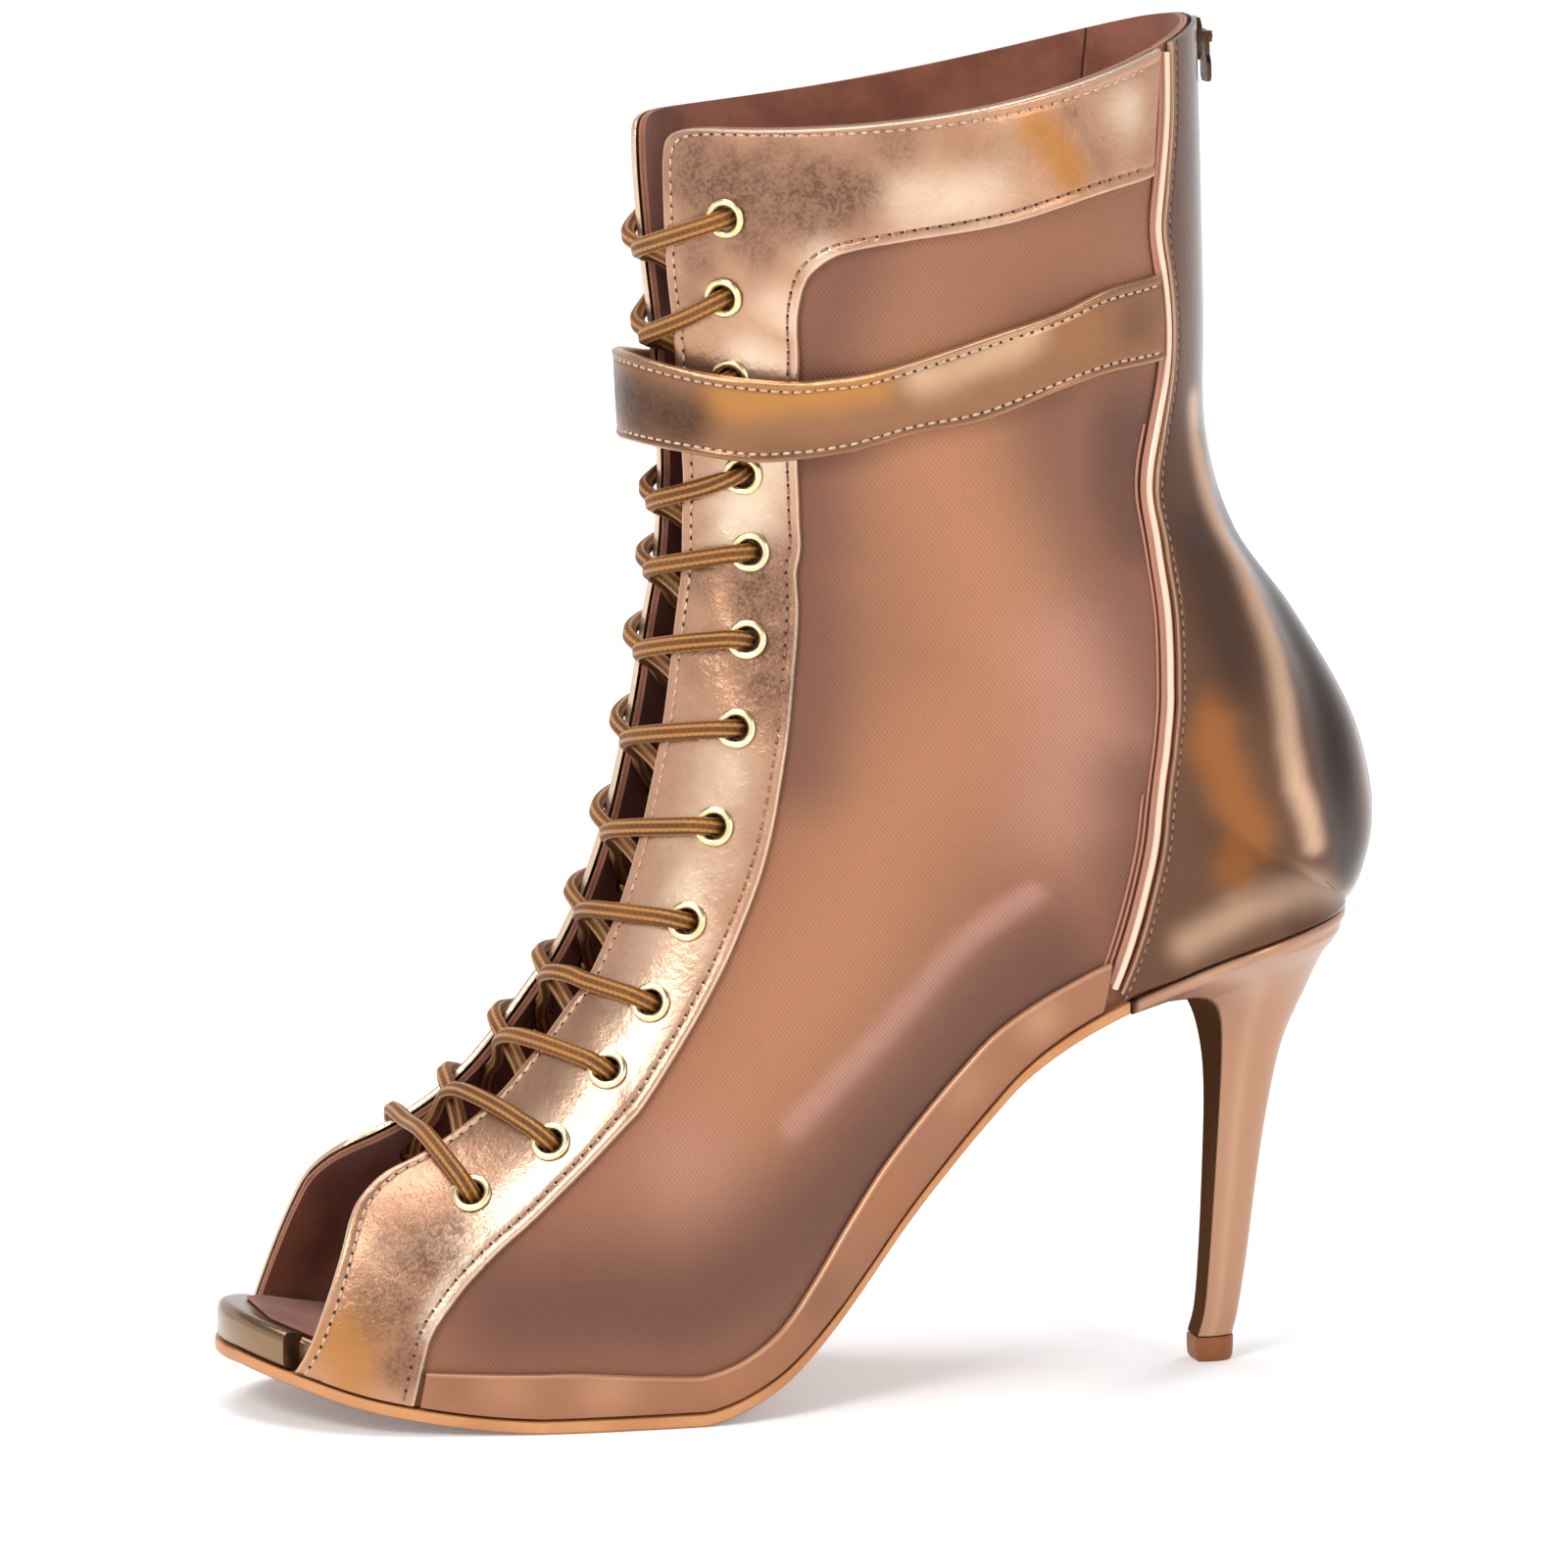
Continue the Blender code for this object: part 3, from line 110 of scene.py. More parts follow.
def studio_floor():
    """A round floor with an upturned rim."""
    turns = np.linspace(0, 2 * math.pi, 97)[:-1]
    points = [(0.0, 0.0, 0.0)]
    for radius, height in FLOOR_PROFILE[1:]:
        points += [(radius * math.cos(turn), radius * math.sin(turn), height) for turn in turns]
    count = len(turns)
    faces = [(0, 1 + k, 1 + (k + 1) % count) for k in range(count)]
    for ring in range(len(FLOOR_PROFILE) - 2):
        low, high = 1 + ring * count, 1 + (ring + 1) * count
        faces += [(low + k, high + k, high + (k + 1) % count, low + (k + 1) % count) for k in range(count)]
    mesh = bpy.data.meshes.new("studio_floor")
    mesh.from_pydata(points, [], faces)
    mesh.shade_smooth()
    return bpy.data.objects.new("studio_floor", mesh)


floor = studio_floor()
bpy.context.scene.collection.objects.link(floor)
white = bpy.data.materials.new("white_paper")
white.use_nodes = True
paper = white.node_tree.nodes["Principled BSDF"]
paper.inputs["Base Color"].default_value = (0.93, 0.93, 0.935, 1.0)
paper.inputs["Roughness"].default_value = 0.9
paper.inputs["Specular IOR Level"].default_value = 0.1
paper.inputs["Emission Color"].default_value = (1.0, 1.0, 1.0, 1.0)
paper.inputs["Emission Strength"].default_value = 0.16
floor.data.materials.append(white)

world = bpy.data.worlds.new("dim_room")
bpy.context.scene.world = world
world.use_nodes = True
world.node_tree.nodes["Background"].inputs["Color"].default_value = (0.86, 0.9, 1.0, 1.0)
world.node_tree.nodes["Background"].inputs["Strength"].default_value = 0.3
for name, place, target, wide, high, watts, colour in LIGHTS:
    lamp = bpy.data.lights.new(name, "AREA")
    lamp.shape = "RECTANGLE"
    lamp.size, lamp.size_y = wide, high
    lamp.energy = watts
    lamp.color = colour
    box = bpy.data.objects.new(name, lamp)
    box.location = place
    box.rotation_euler = (Vector(target) - Vector(place)).to_track_quat("-Z", "Y").to_euler()
    bpy.context.scene.collection.objects.link(box)
print("studio:", len(LIGHTS), "soft boxes")

# %% [markdown]
# The form of the last
#
# A shoe is drawn over a last. It could be sculpted freely, but the skins have to fit the solids, so this is
# the form that those are cut from: a sole line from the side, an outline from above, and 21 sections that
# turn from upright at the toe to level at the collar. Any place on the boot is a station (0 toe, 20
# collar), a girth share (0 front line, 1 sole or back line) and a side.

# %% Sizes of the boot
# The boot's own sizes, in metres
LENGTH = 0.2043           # toe end to heel back of the last, as it stands
BALL_WIDTH = 0.0755       # across the last at the ball
SEAT_WIDTH = 0.05       # across the last at the heel seat
HEEL_HEIGHT = 0.0815      # floor to the underside of the seat at the back
TOE_SPRING = 0.01       # floor to the sole's underside at the toe end
SHAFT_RISE = 0.1605       # seat to the peak of the collar at the back
ANKLE_WIDTH = 0.06      # across the form at the ankle
COLLAR_WIDTH = 0.068     # across the form at the collar
TOE_TO_TREAD = 0.064     # toe end of the last to the middle of the tread

# Thicknesses and clearances
WALL = 0.0012             # mesh and lining
LEATHER = 0.0009          # metallic leather laid on the wall
OUTSOLE = 0.0022
FOOTBED_TOE = 0.0066      # platform and insole under the toes
FOOTBED_HEEL = 0.003
SOLE_EDGE = 0.0019        # how far the outsole stands outside the last
GAP = 0.0003              # between two pieces that meet
FACET = 0.00025           # what flat facets lose on a curve
ON_WALL = GAP + FACET     # the underside of anything laid on the wall


def rows(columns, *table):
    """A table with named columns, as one array for each name."""
    return dict(zip(columns.split(), np.array(table, float).T))


def smooth(keys, values, at):
    """The smooth curve through a table's values, with each slope taken from its neighbours."""
    keys, values, at = (np.asarray(item, float) for item in (keys, values, at))
    slopes = np.gradient(values, keys)
    low = np.clip(np.searchsorted(keys, at, side="right") - 1, 0, len(keys) - 2)
    span = keys[low + 1] - keys[low]
    t = np.clip((at - keys[low]) / span, 0.0, 1.0)
    rise = (1 + 2 * t) * (1 - t) ** 2 * values[low] + t * t * (3 - 2 * t) * values[low + 1]
    return rise + span * t * (1 - t) * ((1 - t) * slopes[low] - t * slopes[low + 1])


def ease(low, high, at):
    t = np.clip((np.asarray(at, float) - low) / (high - low), 0.0, 1.0)
    return t * t * (3 - 2 * t)


def bell(distance, half):
    """1 in the middle, fading out over a half width."""
    return np.exp(-((distance / half) ** 2))


def unit(vectors):
    return vectors / norm(vectors, axis=-1, keepdims=True)


def run_of(line):
    """Distance run along a line, at each of its points."""
    return np.concatenate([[0.0], norm(np.diff(line, axis=0), axis=1).cumsum()])


def squared(ups, along):
    """Ups without their part along a line, row by row."""
    return ups - along * (ups * along).sum(axis=1, keepdims=True)


def read_at(at, keys, line):
    """The columns of a line read at other places of its keys."""
    return np.stack([np.interp(at, keys, values) for values in np.asarray(line).T], axis=1)


# Sole line from the side. along: share of LENGTH from the toe end; lift: share of HEEL_HEIGHT;
# spring: share of TOE_SPRING
SOLE_LINE = rows(
    "along lift spring",
    (0, 0, 1), (0.041, 0, 0.74), (0.081, 0, 0.48), (0.153, 0, 0.18), (0.239, 0, 0), (0.316, 0, 0),
    (0.385, 0, 0), (0.424, 0.03, 0), (0.462, 0.08, 0), (0.502, 0.163, 0), (0.541, 0.268, 0),
    (0.58, 0.385, 0), (0.619, 0.497, 0), (0.654, 0.597, 0), (0.688, 0.69, 0), (0.725, 0.762, 0),
    (0.768, 0.824, 0), (0.829, 0.888, 0), (0.876, 0.931, 0), (0.929, 0.968, 0), (1, 1, 0),
)

# Outline of the last from above. medial, lateral: shares of half the local width
OUTLINE = rows(
    "along medial lateral",
    (0, 0.62, 0.6), (0.06, 0.7, 0.69), (0.12, 0.8, 0.79), (0.19, 0.89, 0.91), (0.26, 0.94, 0.98),
    (0.33, 0.95, 1.01), (0.39, 0.94, 1), (0.45, 0.89, 0.95), (0.51, 0.82, 0.9), (0.58, 0.77, 0.88),
    (0.66, 0.8, 0.91), (0.75, 0.89, 0.96), (0.84, 0.97, 0.99), (0.91, 1, 1), (1, 1, 1),
)
TOE_ROUND, HEEL_ROUND = 0.115, 0.12     # shares of LENGTH over which the outline closes


def sole_height(along):
    """Underside of the outsole at a share of the length."""
    lift = smooth(SOLE_LINE["along"], SOLE_LINE["lift"], along)
    spring = smooth(SOLE_LINE["along"], SOLE_LINE["spring"], along)
    return np.maximum(lift * HEEL_HEIGHT + spring * TOE_SPRING, 0.0)


def share_of(x):
    return (np.asarray(x, float) + TOE_TO_TREAD) / LENGTH


def feather_height(x):
    """Lower edge of the wall, on the outsole or the heel, at a place along the boot."""
    return sole_height(np.clip(share_of(x), 0.0, 1.0)) + OUTSOLE + ON_WALL


def half_width(along, side):
    """Half width of the last at a share of the length; side is -1 medial, +1 lateral."""
    shares = OUTLINE["medial"] if side < 0 else OUTLINE["lateral"]
    local = BALL_WIDTH + (SEAT_WIDTH - BALL_WIDTH) * ease(0.4, 0.66, along)
    toe = 1 - np.clip(along / TOE_ROUND, 0, 1)
    heel = 1 - np.clip((1 - along) / HEEL_ROUND, 0, 1)
    ends = np.sqrt(np.clip(1 - toe**2.3, 0, 1)) * np.sqrt(np.clip(1 - heel**2, 0, 1))
    return smooth(OUTLINE["along"], shares, along) * local / 2 * ends


# The fan of sections. front_x, back_x: shares of LENGTH; front_up, back_up: shares of SHAFT_RISE
# above the sole at that section; wide: half width over half the local width, medial and lateral;
# widest: where it lies between front and back; top, low: roundness of each part; peak: how late
# the section climbs to the back
FAN = rows(
    "front_x front_up back_x back_up medial lateral widest top low peak",
    (0.108, 0.232, 0.039, 0, 0.62, 0.6, 0.74, 2.2, 2.6, 1),
    (0.159, 0.272, 0.113, 0, 0.795, 0.78, 0.72, 2.1, 2.6, 1),
    (0.212, 0.328, 0.191, 0, 0.905, 0.93, 0.68, 2, 2.6, 1),
    (0.26, 0.398, 0.279, 0, 0.965, 1.01, 0.66, 2, 2.6, 1),
    (0.299, 0.468, 0.372, 0, 0.98, 1.03, 0.64, 2, 2.5, 1),
    (0.333, 0.515, 0.465, 0, 0.95, 1, 0.62, 2, 2.3, 1),
    (0.357, 0.52, 0.553, 0, 0.925, 0.965, 0.6, 2, 2.2, 1),
    (0.373, 0.492, 0.651, 0, 0.95, 0.99, 0.58, 2, 2.1, 1),
    (0.381, 0.468, 0.748, 0, 0.985, 1.02, 0.57, 2, 2.1, 1),
    (0.386, 0.462, 0.856, 0, 0.99, 1.015, 0.57, 2, 2.1, 1),
    (0.387, 0.479, 0.947, 0, 0.985, 1, 0.57, 2, 2, 1), (0.387, 0.507, 1, 0, 0.975, 0.99, 0.57, 2, 2, 1),
    (0.386, 0.548, 1.022, 0.056, 0.965, 0.98, 0.57, 2, 2, 1),
    (0.384, 0.59, 1.024, 0.118, 0.958, 0.972, 0.56, 2, 2, 1),
    (0.382, 0.64, 1.004, 0.211, 0.955, 0.965, 0.55, 2, 2, 1),
    (0.379, 0.695, 0.952, 0.323, 0.955, 0.96, 0.54, 2, 2, 1),
    (0.376, 0.742, 0.896, 0.422, 0.96, 0.962, 0.53, 2, 2, 1),
    (0.373, 0.787, 0.869, 0.534, 0.97, 0.97, 0.52, 2, 2, 1.2),
    (0.37, 0.828, 0.866, 0.68, 0.98, 0.98, 0.52, 2, 2, 1.5),
    (0.369, 0.865, 0.862, 0.85, 0.99, 0.99, 0.51, 2, 2, 1.9),
    (0.368, 0.897, 0.858, 1, 1, 1, 0.5, 2, 2, 2.3),
)
LAST_STATION = len(FAN["widest"]) - 1
HEEL_STATION = 11.0       # the section that ends at the back of the seat
SAMPLES = np.linspace(0.0, 1.0, 65)      # along one half section
GIRTHS = np.linspace(0.0, 1.0, 129)      # shares of the half girth, front line to sole or back line
HEEL_CORNER = HEEL_STATION - np.array([0.04, 0.03, 0.02, 0.01, 0.004])
STATIONS = np.union1d(np.round(np.arange(0, LAST_STATION + 0.01, 0.05), 3), HEEL_CORNER)

# Lines on the form. station: place in the fan; girth: share of the half girth at that station
THROAT = rows(
    "station girth",
    (0, 0.33), (0.06, 0.35), (0.3, 0.29), (0.7, 0.265), (1.2, 0.236), (2, 0.2), (3, 0.17), (4, 0.148),
    (5, 0.128), (6, 0.118), (7, 0.107), (8, 0.09), (9, 0.074), (10, 0.063), (11, 0.056), (12, 0.053),
    (13.5, 0.053), (15, 0.059), (16.5, 0.068), (18, 0.078), (20, 0.082),
)
# The eyestay: its outer edge runs up the open toe, the throat and along the collar, its inner edge
# up the vamp and the shaft and back under the collar. Row by row the two edges face each other.
EYESTAY = rows(
    "out_station out_girth in_station in_girth",
    (0, 1, 1.25, 1), (0, 0.85, 1.27, 0.88), (0, 0.69, 1.31, 0.8), (0, 0.54, 1.45, 0.735),
    (0, 0.455, 1.69, 0.664), (0.09, 0.375, 2.05, 0.599), (0.42, 0.29, 2.45, 0.555),
    (0.95, 0.25, 2.95, 0.512), (1.7, 0.212, 3.55, 0.472), (2.5, 0.184, 4.15, 0.436),
    (3.3, 0.162, 4.8, 0.409), (4.1, 0.146, 5.4, 0.402), (4.9, 0.13, 5.95, 0.402), (5.7, 0.121, 6.5, 0.395),
    (6.5, 0.113, 7.05, 0.375), (7.3, 0.102, 7.75, 0.34), (8.2, 0.087, 8.7, 0.282),
    (9.2, 0.072, 9.6, 0.243), (10.3, 0.06, 10.5, 0.212), (11.4, 0.054, 11.5, 0.196),
    (12.6, 0.052, 12.5, 0.193), (13.8, 0.053, 13.6, 0.198), (15, 0.059, 14.7, 0.218),
    (16.2, 0.066, 15.6, 0.242), (17.2, 0.073, 16.3, 0.256), (18.1, 0.079, 16.8, 0.272),
    (18.9, 0.083, 17.1, 0.292), (19.55, 0.092, 17.35, 0.318), (19.88, 0.115, 17.53, 0.348),
    (20, 0.16, 17.7, 0.385), (20, 0.245, 17.9, 0.435), (20, 0.345, 18.1, 0.495), (20, 0.455, 18.3, 0.56),
    (20, 0.565, 18.52, 0.63), (20, 0.675, 18.7, 0.7),
)
# The back seam, in metres from the sole or the back line as shares of SHAFT_RISE
BACK_SEAM = rows(
    "station back",
    (8.2, 0.01), (8.7, 0.08), (9.3, 0.152), (10, 0.232), (10.6, 0.305), (11, 0.368), (11.6, 0.384),
    (12.6, 0.385), (13.5, 0.371), (14.5, 0.325), (15.3, 0.272), (16.1, 0.224), (16.8, 0.179), (17.4, 0.15),
    (18.1, 0.158), (18.45, 0.172), (18.8, 0.16), (19.3, 0.148), (20, 0.146),
)
SEAM_TURN = (10.3, 11.6)  # stations between which the seam passes the corner of the heel
# The rand: how high the lower band stands above the sole, as shares of HEEL_HEIGHT
RAND = rows(
    "low_station high_station height",
    (1.31, 1.33, 0.078), (2, 2, 0.091), (2.8, 2.8, 0.098), (3.5, 3.5, 0.088), (4.1, 4.1, 0.08),
    (4.6, 4.6, 0.078), (5, 5, 0.09), (5.4, 5.4, 0.117), (5.8, 5.8, 0.143), (6.2, 6.2, 0.158),
    (6.6, 6.6, 0.158), (7, 7, 0.147), (7.45, 7.45, 0.128), (7.8, 7.85, 0.118), (8.07, 8.42, 0.116),
)
# The ankle strap, from the middle of the front to the back seam: its two edges, and how far its
# inside stands off the wall, in metres
STRAP = rows(
    "high_station high_girth low_station low_girth lift",
    (14.1, 0, 11.9, 0, 0.0053), (14.18, 0.05, 12.1, 0.047, 0.0056), (14.35, 0.1, 12.45, 0.096, 0.0056),
    (14.6, 0.155, 12.85, 0.145, 0.0048), (14.96, 0.224, 13.37, 0.196, 0.0029),
    (15.45, 0.285, 13.95, 0.254, 0.0021), (16, 0.36, 14.6, 0.325, 0.0013),
    (16.62, 0.453, 15.37, 0.419, 0.0008), (17.1, 0.535, 16.05, 0.515, ON_WALL),
    (17.54, 0.626, 16.69, 0.614, ON_WALL), (17.88, 0.7, 17.14, 0.705, ON_WALL),
    (18.12, 0.77, 17.45, 0.78, ON_WALL),
)
STRAP_THICKNESS, STRAP_STITCH = 0.0015, 0.0017     # the second: its stitches in from the edge

# Eyelets, top to toe: station and share of the half girth
EYELETS = rows(
    "station girth",
    (17.55, 0.173), (16.02, 0.152), (14.3, 0.128), (12.25, 0.128), (10.3, 0.156), (8.55, 0.208),
    (7.35, 0.258), (6.48, 0.277), (5.68, 0.294), (4.82, 0.305), (3.92, 0.336), (2.88, 0.402),
    (1.72, 0.438),
)
EYELET_ROWS = range(len(EYELETS["station"]))
EYELET_HOLE, EYELET_RIM, EYELET_BARREL = 0.0022, 0.0036, 0.00265    # radii
LACE_DIP = 4.0            # stations below the lower eyelet that a lace may reach at the front line
BAR_SAG = 0.0022          # how far the lowest lace sinks into the open throat

SEAM_CORD = 0.001        # half width of the piping
TAPE_HALF = 0.0025        # zip tape, half width
TAPE = 0.0005
ZIP_START = 12.7          # station of the zip's lower end

SOLE_END = 0.78          # where the outsole gives way to the heel, share of LENGTH
TOP_PIECE = 0.0045        # wear pad under the heel
EDGE_ROUND = 0.0006       # rounding of the sole's lower edge
PLATFORM_ROUND = 0.0024   # rounding of the platform's upper edge

# The heel, ring by ring from the top piece to the seat. front, back: shares of LENGTH from the toe;
# front_z, back_z: shares of the way from the top piece up to HEEL_HEIGHT; half: half width over half
# of SEAT_WIDTH; seat: how much of the seat's outline the ring has taken
HEEL_FOOT = TOP_PIECE + GAP
HEEL = rows(
    "front back front_z back_z half seat",
    (0.874, 0.9104, 0, 0, 0.14, 0), (0.88, 0.916, 0.0649, 0.0649, 0.144, 0),
    (0.884, 0.9236, 0.1978, 0.1978, 0.156, 0), (0.8875, 0.932, 0.3805, 0.3805, 0.18, 0),
    (0.89, 0.9427, 0.5633, 0.5633, 0.216, 0), (0.889, 0.955, 0.6812, 0.7067, 0.29, 0.05),
    (0.883, 0.974, 0.7715, 0.8247, 0.43, 0.15), (0.869, 0.988, 0.8247, 0.915, 0.64, 0.35),
    (0.847, 0.998, 0.847, 0.9575, 0.82, 0.65), (0.817, 1.003, 0.8512, 0.9841, 0.96, 0.9),
)
HEEL_FRONT = SOLE_END + 0.002


def column(name, station):
    return smooth(np.arange(LAST_STATION + 1), FAN[name], station)


def section(station, side):
    """Points of one half section, from the front line to the sole or the back line."""
    front_x, back_x = (column(name, station) * LENGTH - TOE_TO_TREAD for name in ("front_x", "back_x"))
    foot = feather_height(back_x if station < HEEL_STATION else LENGTH - TOE_TO_TREAD)
    front_z = foot + column("front_up", station) * SHAFT_RISE
    back_z = foot + (column("back_up", station) if station > HEEL_STATION else 0.0) * SHAFT_RISE
    shaft = ANKLE_WIDTH + (COLLAR_WIDTH - ANKLE_WIDTH) * ease(13, LAST_STATION, station)
    local = BALL_WIDTH + (shaft - BALL_WIDTH) * ease(4, 9, station)
    wide = column("medial" if side < 0 else "lateral", station) * local / 2
    edge = 0.0
    if station < HEEL_STATION:
        edge = float(half_width(np.clip(share_of(back_x), 0, 1), side))
        wide = max(wide, edge * 1.02)
    widest, top, low = (float(column(name, station)) for name in ("widest", "top", "low"))
    upper_part = SAMPLES < 0.5
    turn = np.where(upper_part, SAMPLES, 0.5) * math.pi
    y = wide * np.sin(turn) ** (2 / top)
    depth = widest * (1 - np.cos(turn).clip(0) ** (2 / top))
    last_turn = math.acos(min(edge / wide, 0.999) ** (low / 2))
    turn = np.where(upper_part, 0.0, (SAMPLES - 0.5) * 2) * last_turn
    lower_y = wide * np.cos(turn).clip(0) ** (2 / low)
    lower_depth = widest + (1 - widest) * (np.sin(turn) / math.sin(last_turn)) ** (2 / low)
    y = np.where(upper_part, y, lower_y)
    depth = np.where(upper_part, depth, lower_depth)
    x = front_x + (back_x - front_x) * depth
    z = front_z + (back_z - front_z) * depth ** column("peak", station)
    return np.stack([x, side * y, z], axis=1)


# %% Looking up places on the form
SOFT_REACH, CORNER_REACH = 0.42, 0.9     # how far the blur and the heel corner reach, in stations


def softened(grid, stations, mix):
    """A grid of points blurred along its rows, by a share that differs from place to place."""
    weights = bell(stations[:, None] - stations[None], SOFT_REACH) * np.gradient(stations)
    weights /= weights.sum(axis=1, keepdims=True)
    return grid * (1 - mix) + np.einsum("ij,jkl->ikl", weights, grid) * mix


def near_corner(stations):
    """1 at the station of the heel corner, where the sections change from sole to back line."""
    return bell(stations - HEEL_STATION, CORNER_REACH)[:, None, None]


def laid_out():
    """The whole form as two grids a side, of points and of outward normals, by station and girth."""
    points, normals = {}, {}
    for side in (-1, 1):
        rings = []
        for station in STATIONS:
            ring = section(float(station), side)
            run = run_of(ring)
            rings.append(read_at(GIRTHS * run[-1], run, ring))
        grid = np.array(rings)
        front = (1 - ease(0.38, 0.56, GIRTHS))[None, :, None]
        grid = softened(grid, STATIONS, near_corner(STATIONS) * front)
        up = np.gradient(grid, STATIONS, axis=0)
        down = np.gradient(grid, GIRTHS, axis=1)
        normal = np.cross(down, up)
        normal *= side * np.sign(normal[len(STATIONS) // 2, len(GIRTHS) // 2, 1])
        normal[:, 0, 1] = 0.0
        normal[STATIONS >= HEEL_STATION, -1, 1] = 0.0
        points[side] = grid
        normals[side] = unit(normal)
    return points, normals


FORM_POINTS, FORM_NORMALS = laid_out()


def sampled(grid, station, girth):
    """A grid's values between its rows and columns, for whole arrays of places."""
    station = np.clip(station, 0, LAST_STATION)
    row = np.clip(np.searchsorted(STATIONS, station, side="right") - 1, 0, len(STATIONS) - 2)
    share = ((station - STATIONS[row]) / (STATIONS[row + 1] - STATIONS[row]))[..., None]
    place = np.clip(girth, 0.0, 1.0) * (len(GIRTHS) - 1)
    line = np.clip(place.astype(int), 0, len(GIRTHS) - 2)
    across = (place - line)[..., None]
    near = grid[row, line] * (1 - across) + grid[row, line + 1] * across
    far = grid[row + 1, line] * (1 - across) + grid[row + 1, line + 1] * across
    return near * (1 - share) + far * share


def form_normal(station, girth, side):
    return unit(sampled(FORM_NORMALS[side], station, girth))


def form(station, girth, side, lift=0.0):
    """Places on the form, or lifted off it along its normal."""
    station, girth, lift = np.broadcast_arrays(
        np.asarray(station, float), np.asarray(girth, float), np.asarray(lift, float))
    points = sampled(FORM_POINTS[side], station, girth)
    points = points + form_normal(station, girth, side) * lift[..., None]
    foot = feather_height(points[..., 0])
    low = (points[..., 2] < foot) | ((girth >= 1.0) & (station < HEEL_STATION))
    points[..., 2] = np.where(low, foot, points[..., 2])
    return points


HALF_GIRTHS = {
    side: norm(np.diff(FORM_POINTS[side][:, ::3], axis=1), axis=2).sum(axis=1) for side in (-1, 1)
}


def half_girth(station, side):
    return np.interp(station, STATIONS, HALF_GIRTHS[side])


def seam_run(station, side):
    """Girth from the front line to the back seam, drawn straight past the corner of the heel."""
    def plain(at):
        return half_girth(at, side) - smooth(BACK_SEAM["station"], BACK_SEAM["back"], at) * SHAFT_RISE

    station = np.asarray(station, float)
    low, high = SEAM_TURN
    turning = (station > low) & (station < high)
    return np.where(turning, np.interp(station, SEAM_TURN, [plain(low), plain(high)]), plain(station))


def seam_lean(station, side):
    """How much longer the seam runs than the stations it climbs, at least 1."""
    near = [np.clip(station + step, 8.0, LAST_STATION) for step in (-0.15, 0.15)]
    girths = [half_girth(one, side) for one in near]
    runs = [seam_run(one, side) for one in near]
    ends = [form(one, run / girth, side) for one, run, girth in zip(near, runs, girths)]
    middle = (runs[0] + runs[1]) / 2
    level = [form(one, middle / girth, side) for one, girth in zip(near, girths)]
    climbed = norm(ends[1] - ends[0], axis=-1)
    return np.maximum(climbed / np.maximum(norm(level[1] - level[0], axis=-1), 1e-6), 1.0)


def even_line(line, step):
    """A line of points at even steps."""
    run = run_of(line)
    return read_at(np.arange(0, run[-1], step), run, line)


def blurred(line, half):
    """A line of evenly spaced values blurred over so many steps each way, its ends kept."""
    weights = bell(np.arange(-2 * half, 2 * half + 1), half)
    weights /= weights.sum()
    padded = np.pad(line, ((2 * half, 2 * half), (0, 0)), mode="reflect", reflect_type="odd")
    return np.stack([np.convolve(one, weights, mode="valid") for one in padded.T], axis=1)


def drawn_seam(side):
    """Girth share of the back seam by station, after the seam is drawn as one smooth line in space."""
    stations = STATIONS[STATIONS >= SEAM_FROM]
    girths = seam_run(stations, side) / half_girth(stations, side)
    line = blurred(even_line(form(stations, girths, side), 0.0005), SEAM_BLUR)
    nearby = np.linspace(-0.04, 0.04, 81)
    found = []
    for station, girth in zip(stations, girths):
        row = form(station, girth + nearby, side)
        gaps = norm(row[:, None] - line[None], axis=2).min(axis=1)
        found.append(girth + nearby[gaps.argmin()])
    even = np.arange(SEAM_FROM, LAST_STATION + 0.001, 0.05)
    soft = blurred(np.interp(even, stations, np.array(found) - girths)[:, None], 4)[:, 0]
    return stations, girths + np.interp(stations, even, soft)


SEAM_FROM, SEAM_BLUR = 7.6, 14      # first station of the seam's table; half reach in half millimetres
SEAM_LEAN = {side: blurred(seam_lean(STATIONS, side)[:, None], 8)[:, 0] for side in (-1, 1)}
SEAM = {side: drawn_seam(side) for side in (-1, 1)}


def seam_girth(station, side, before=0.0):
    """Girth share of the back seam, or of a line that many metres in front of it, square to it."""
    lean = np.interp(station, STATIONS, SEAM_LEAN[side])
    return np.minimum(np.interp(station, *SEAM[side]) - before * lean / half_girth(station, side), 1.0)


def throat_girth(station):
    """Girth share of the throat edge."""
    return smooth(THROAT["station"], THROAT["girth"], station)


def wall_edge(station):
    """Where the wall starts in front: along the facing's outer edge, in its corners too."""
    steps = np.arange(len(EYESTAY["out_station"]))
    fine = np.linspace(0, steps[-1], 600)
    stations, girths = (smooth(steps, EYESTAY[name], fine) for name in ("out_station", "out_girth"))
    climbing = (stations > 0.02) & (stations < LAST_STATION - 0.02)
    return np.interp(station, stations[climbing], girths[climbing])


print("form laid out:", len(STATIONS), "sections of", len(GIRTHS), "places a side")
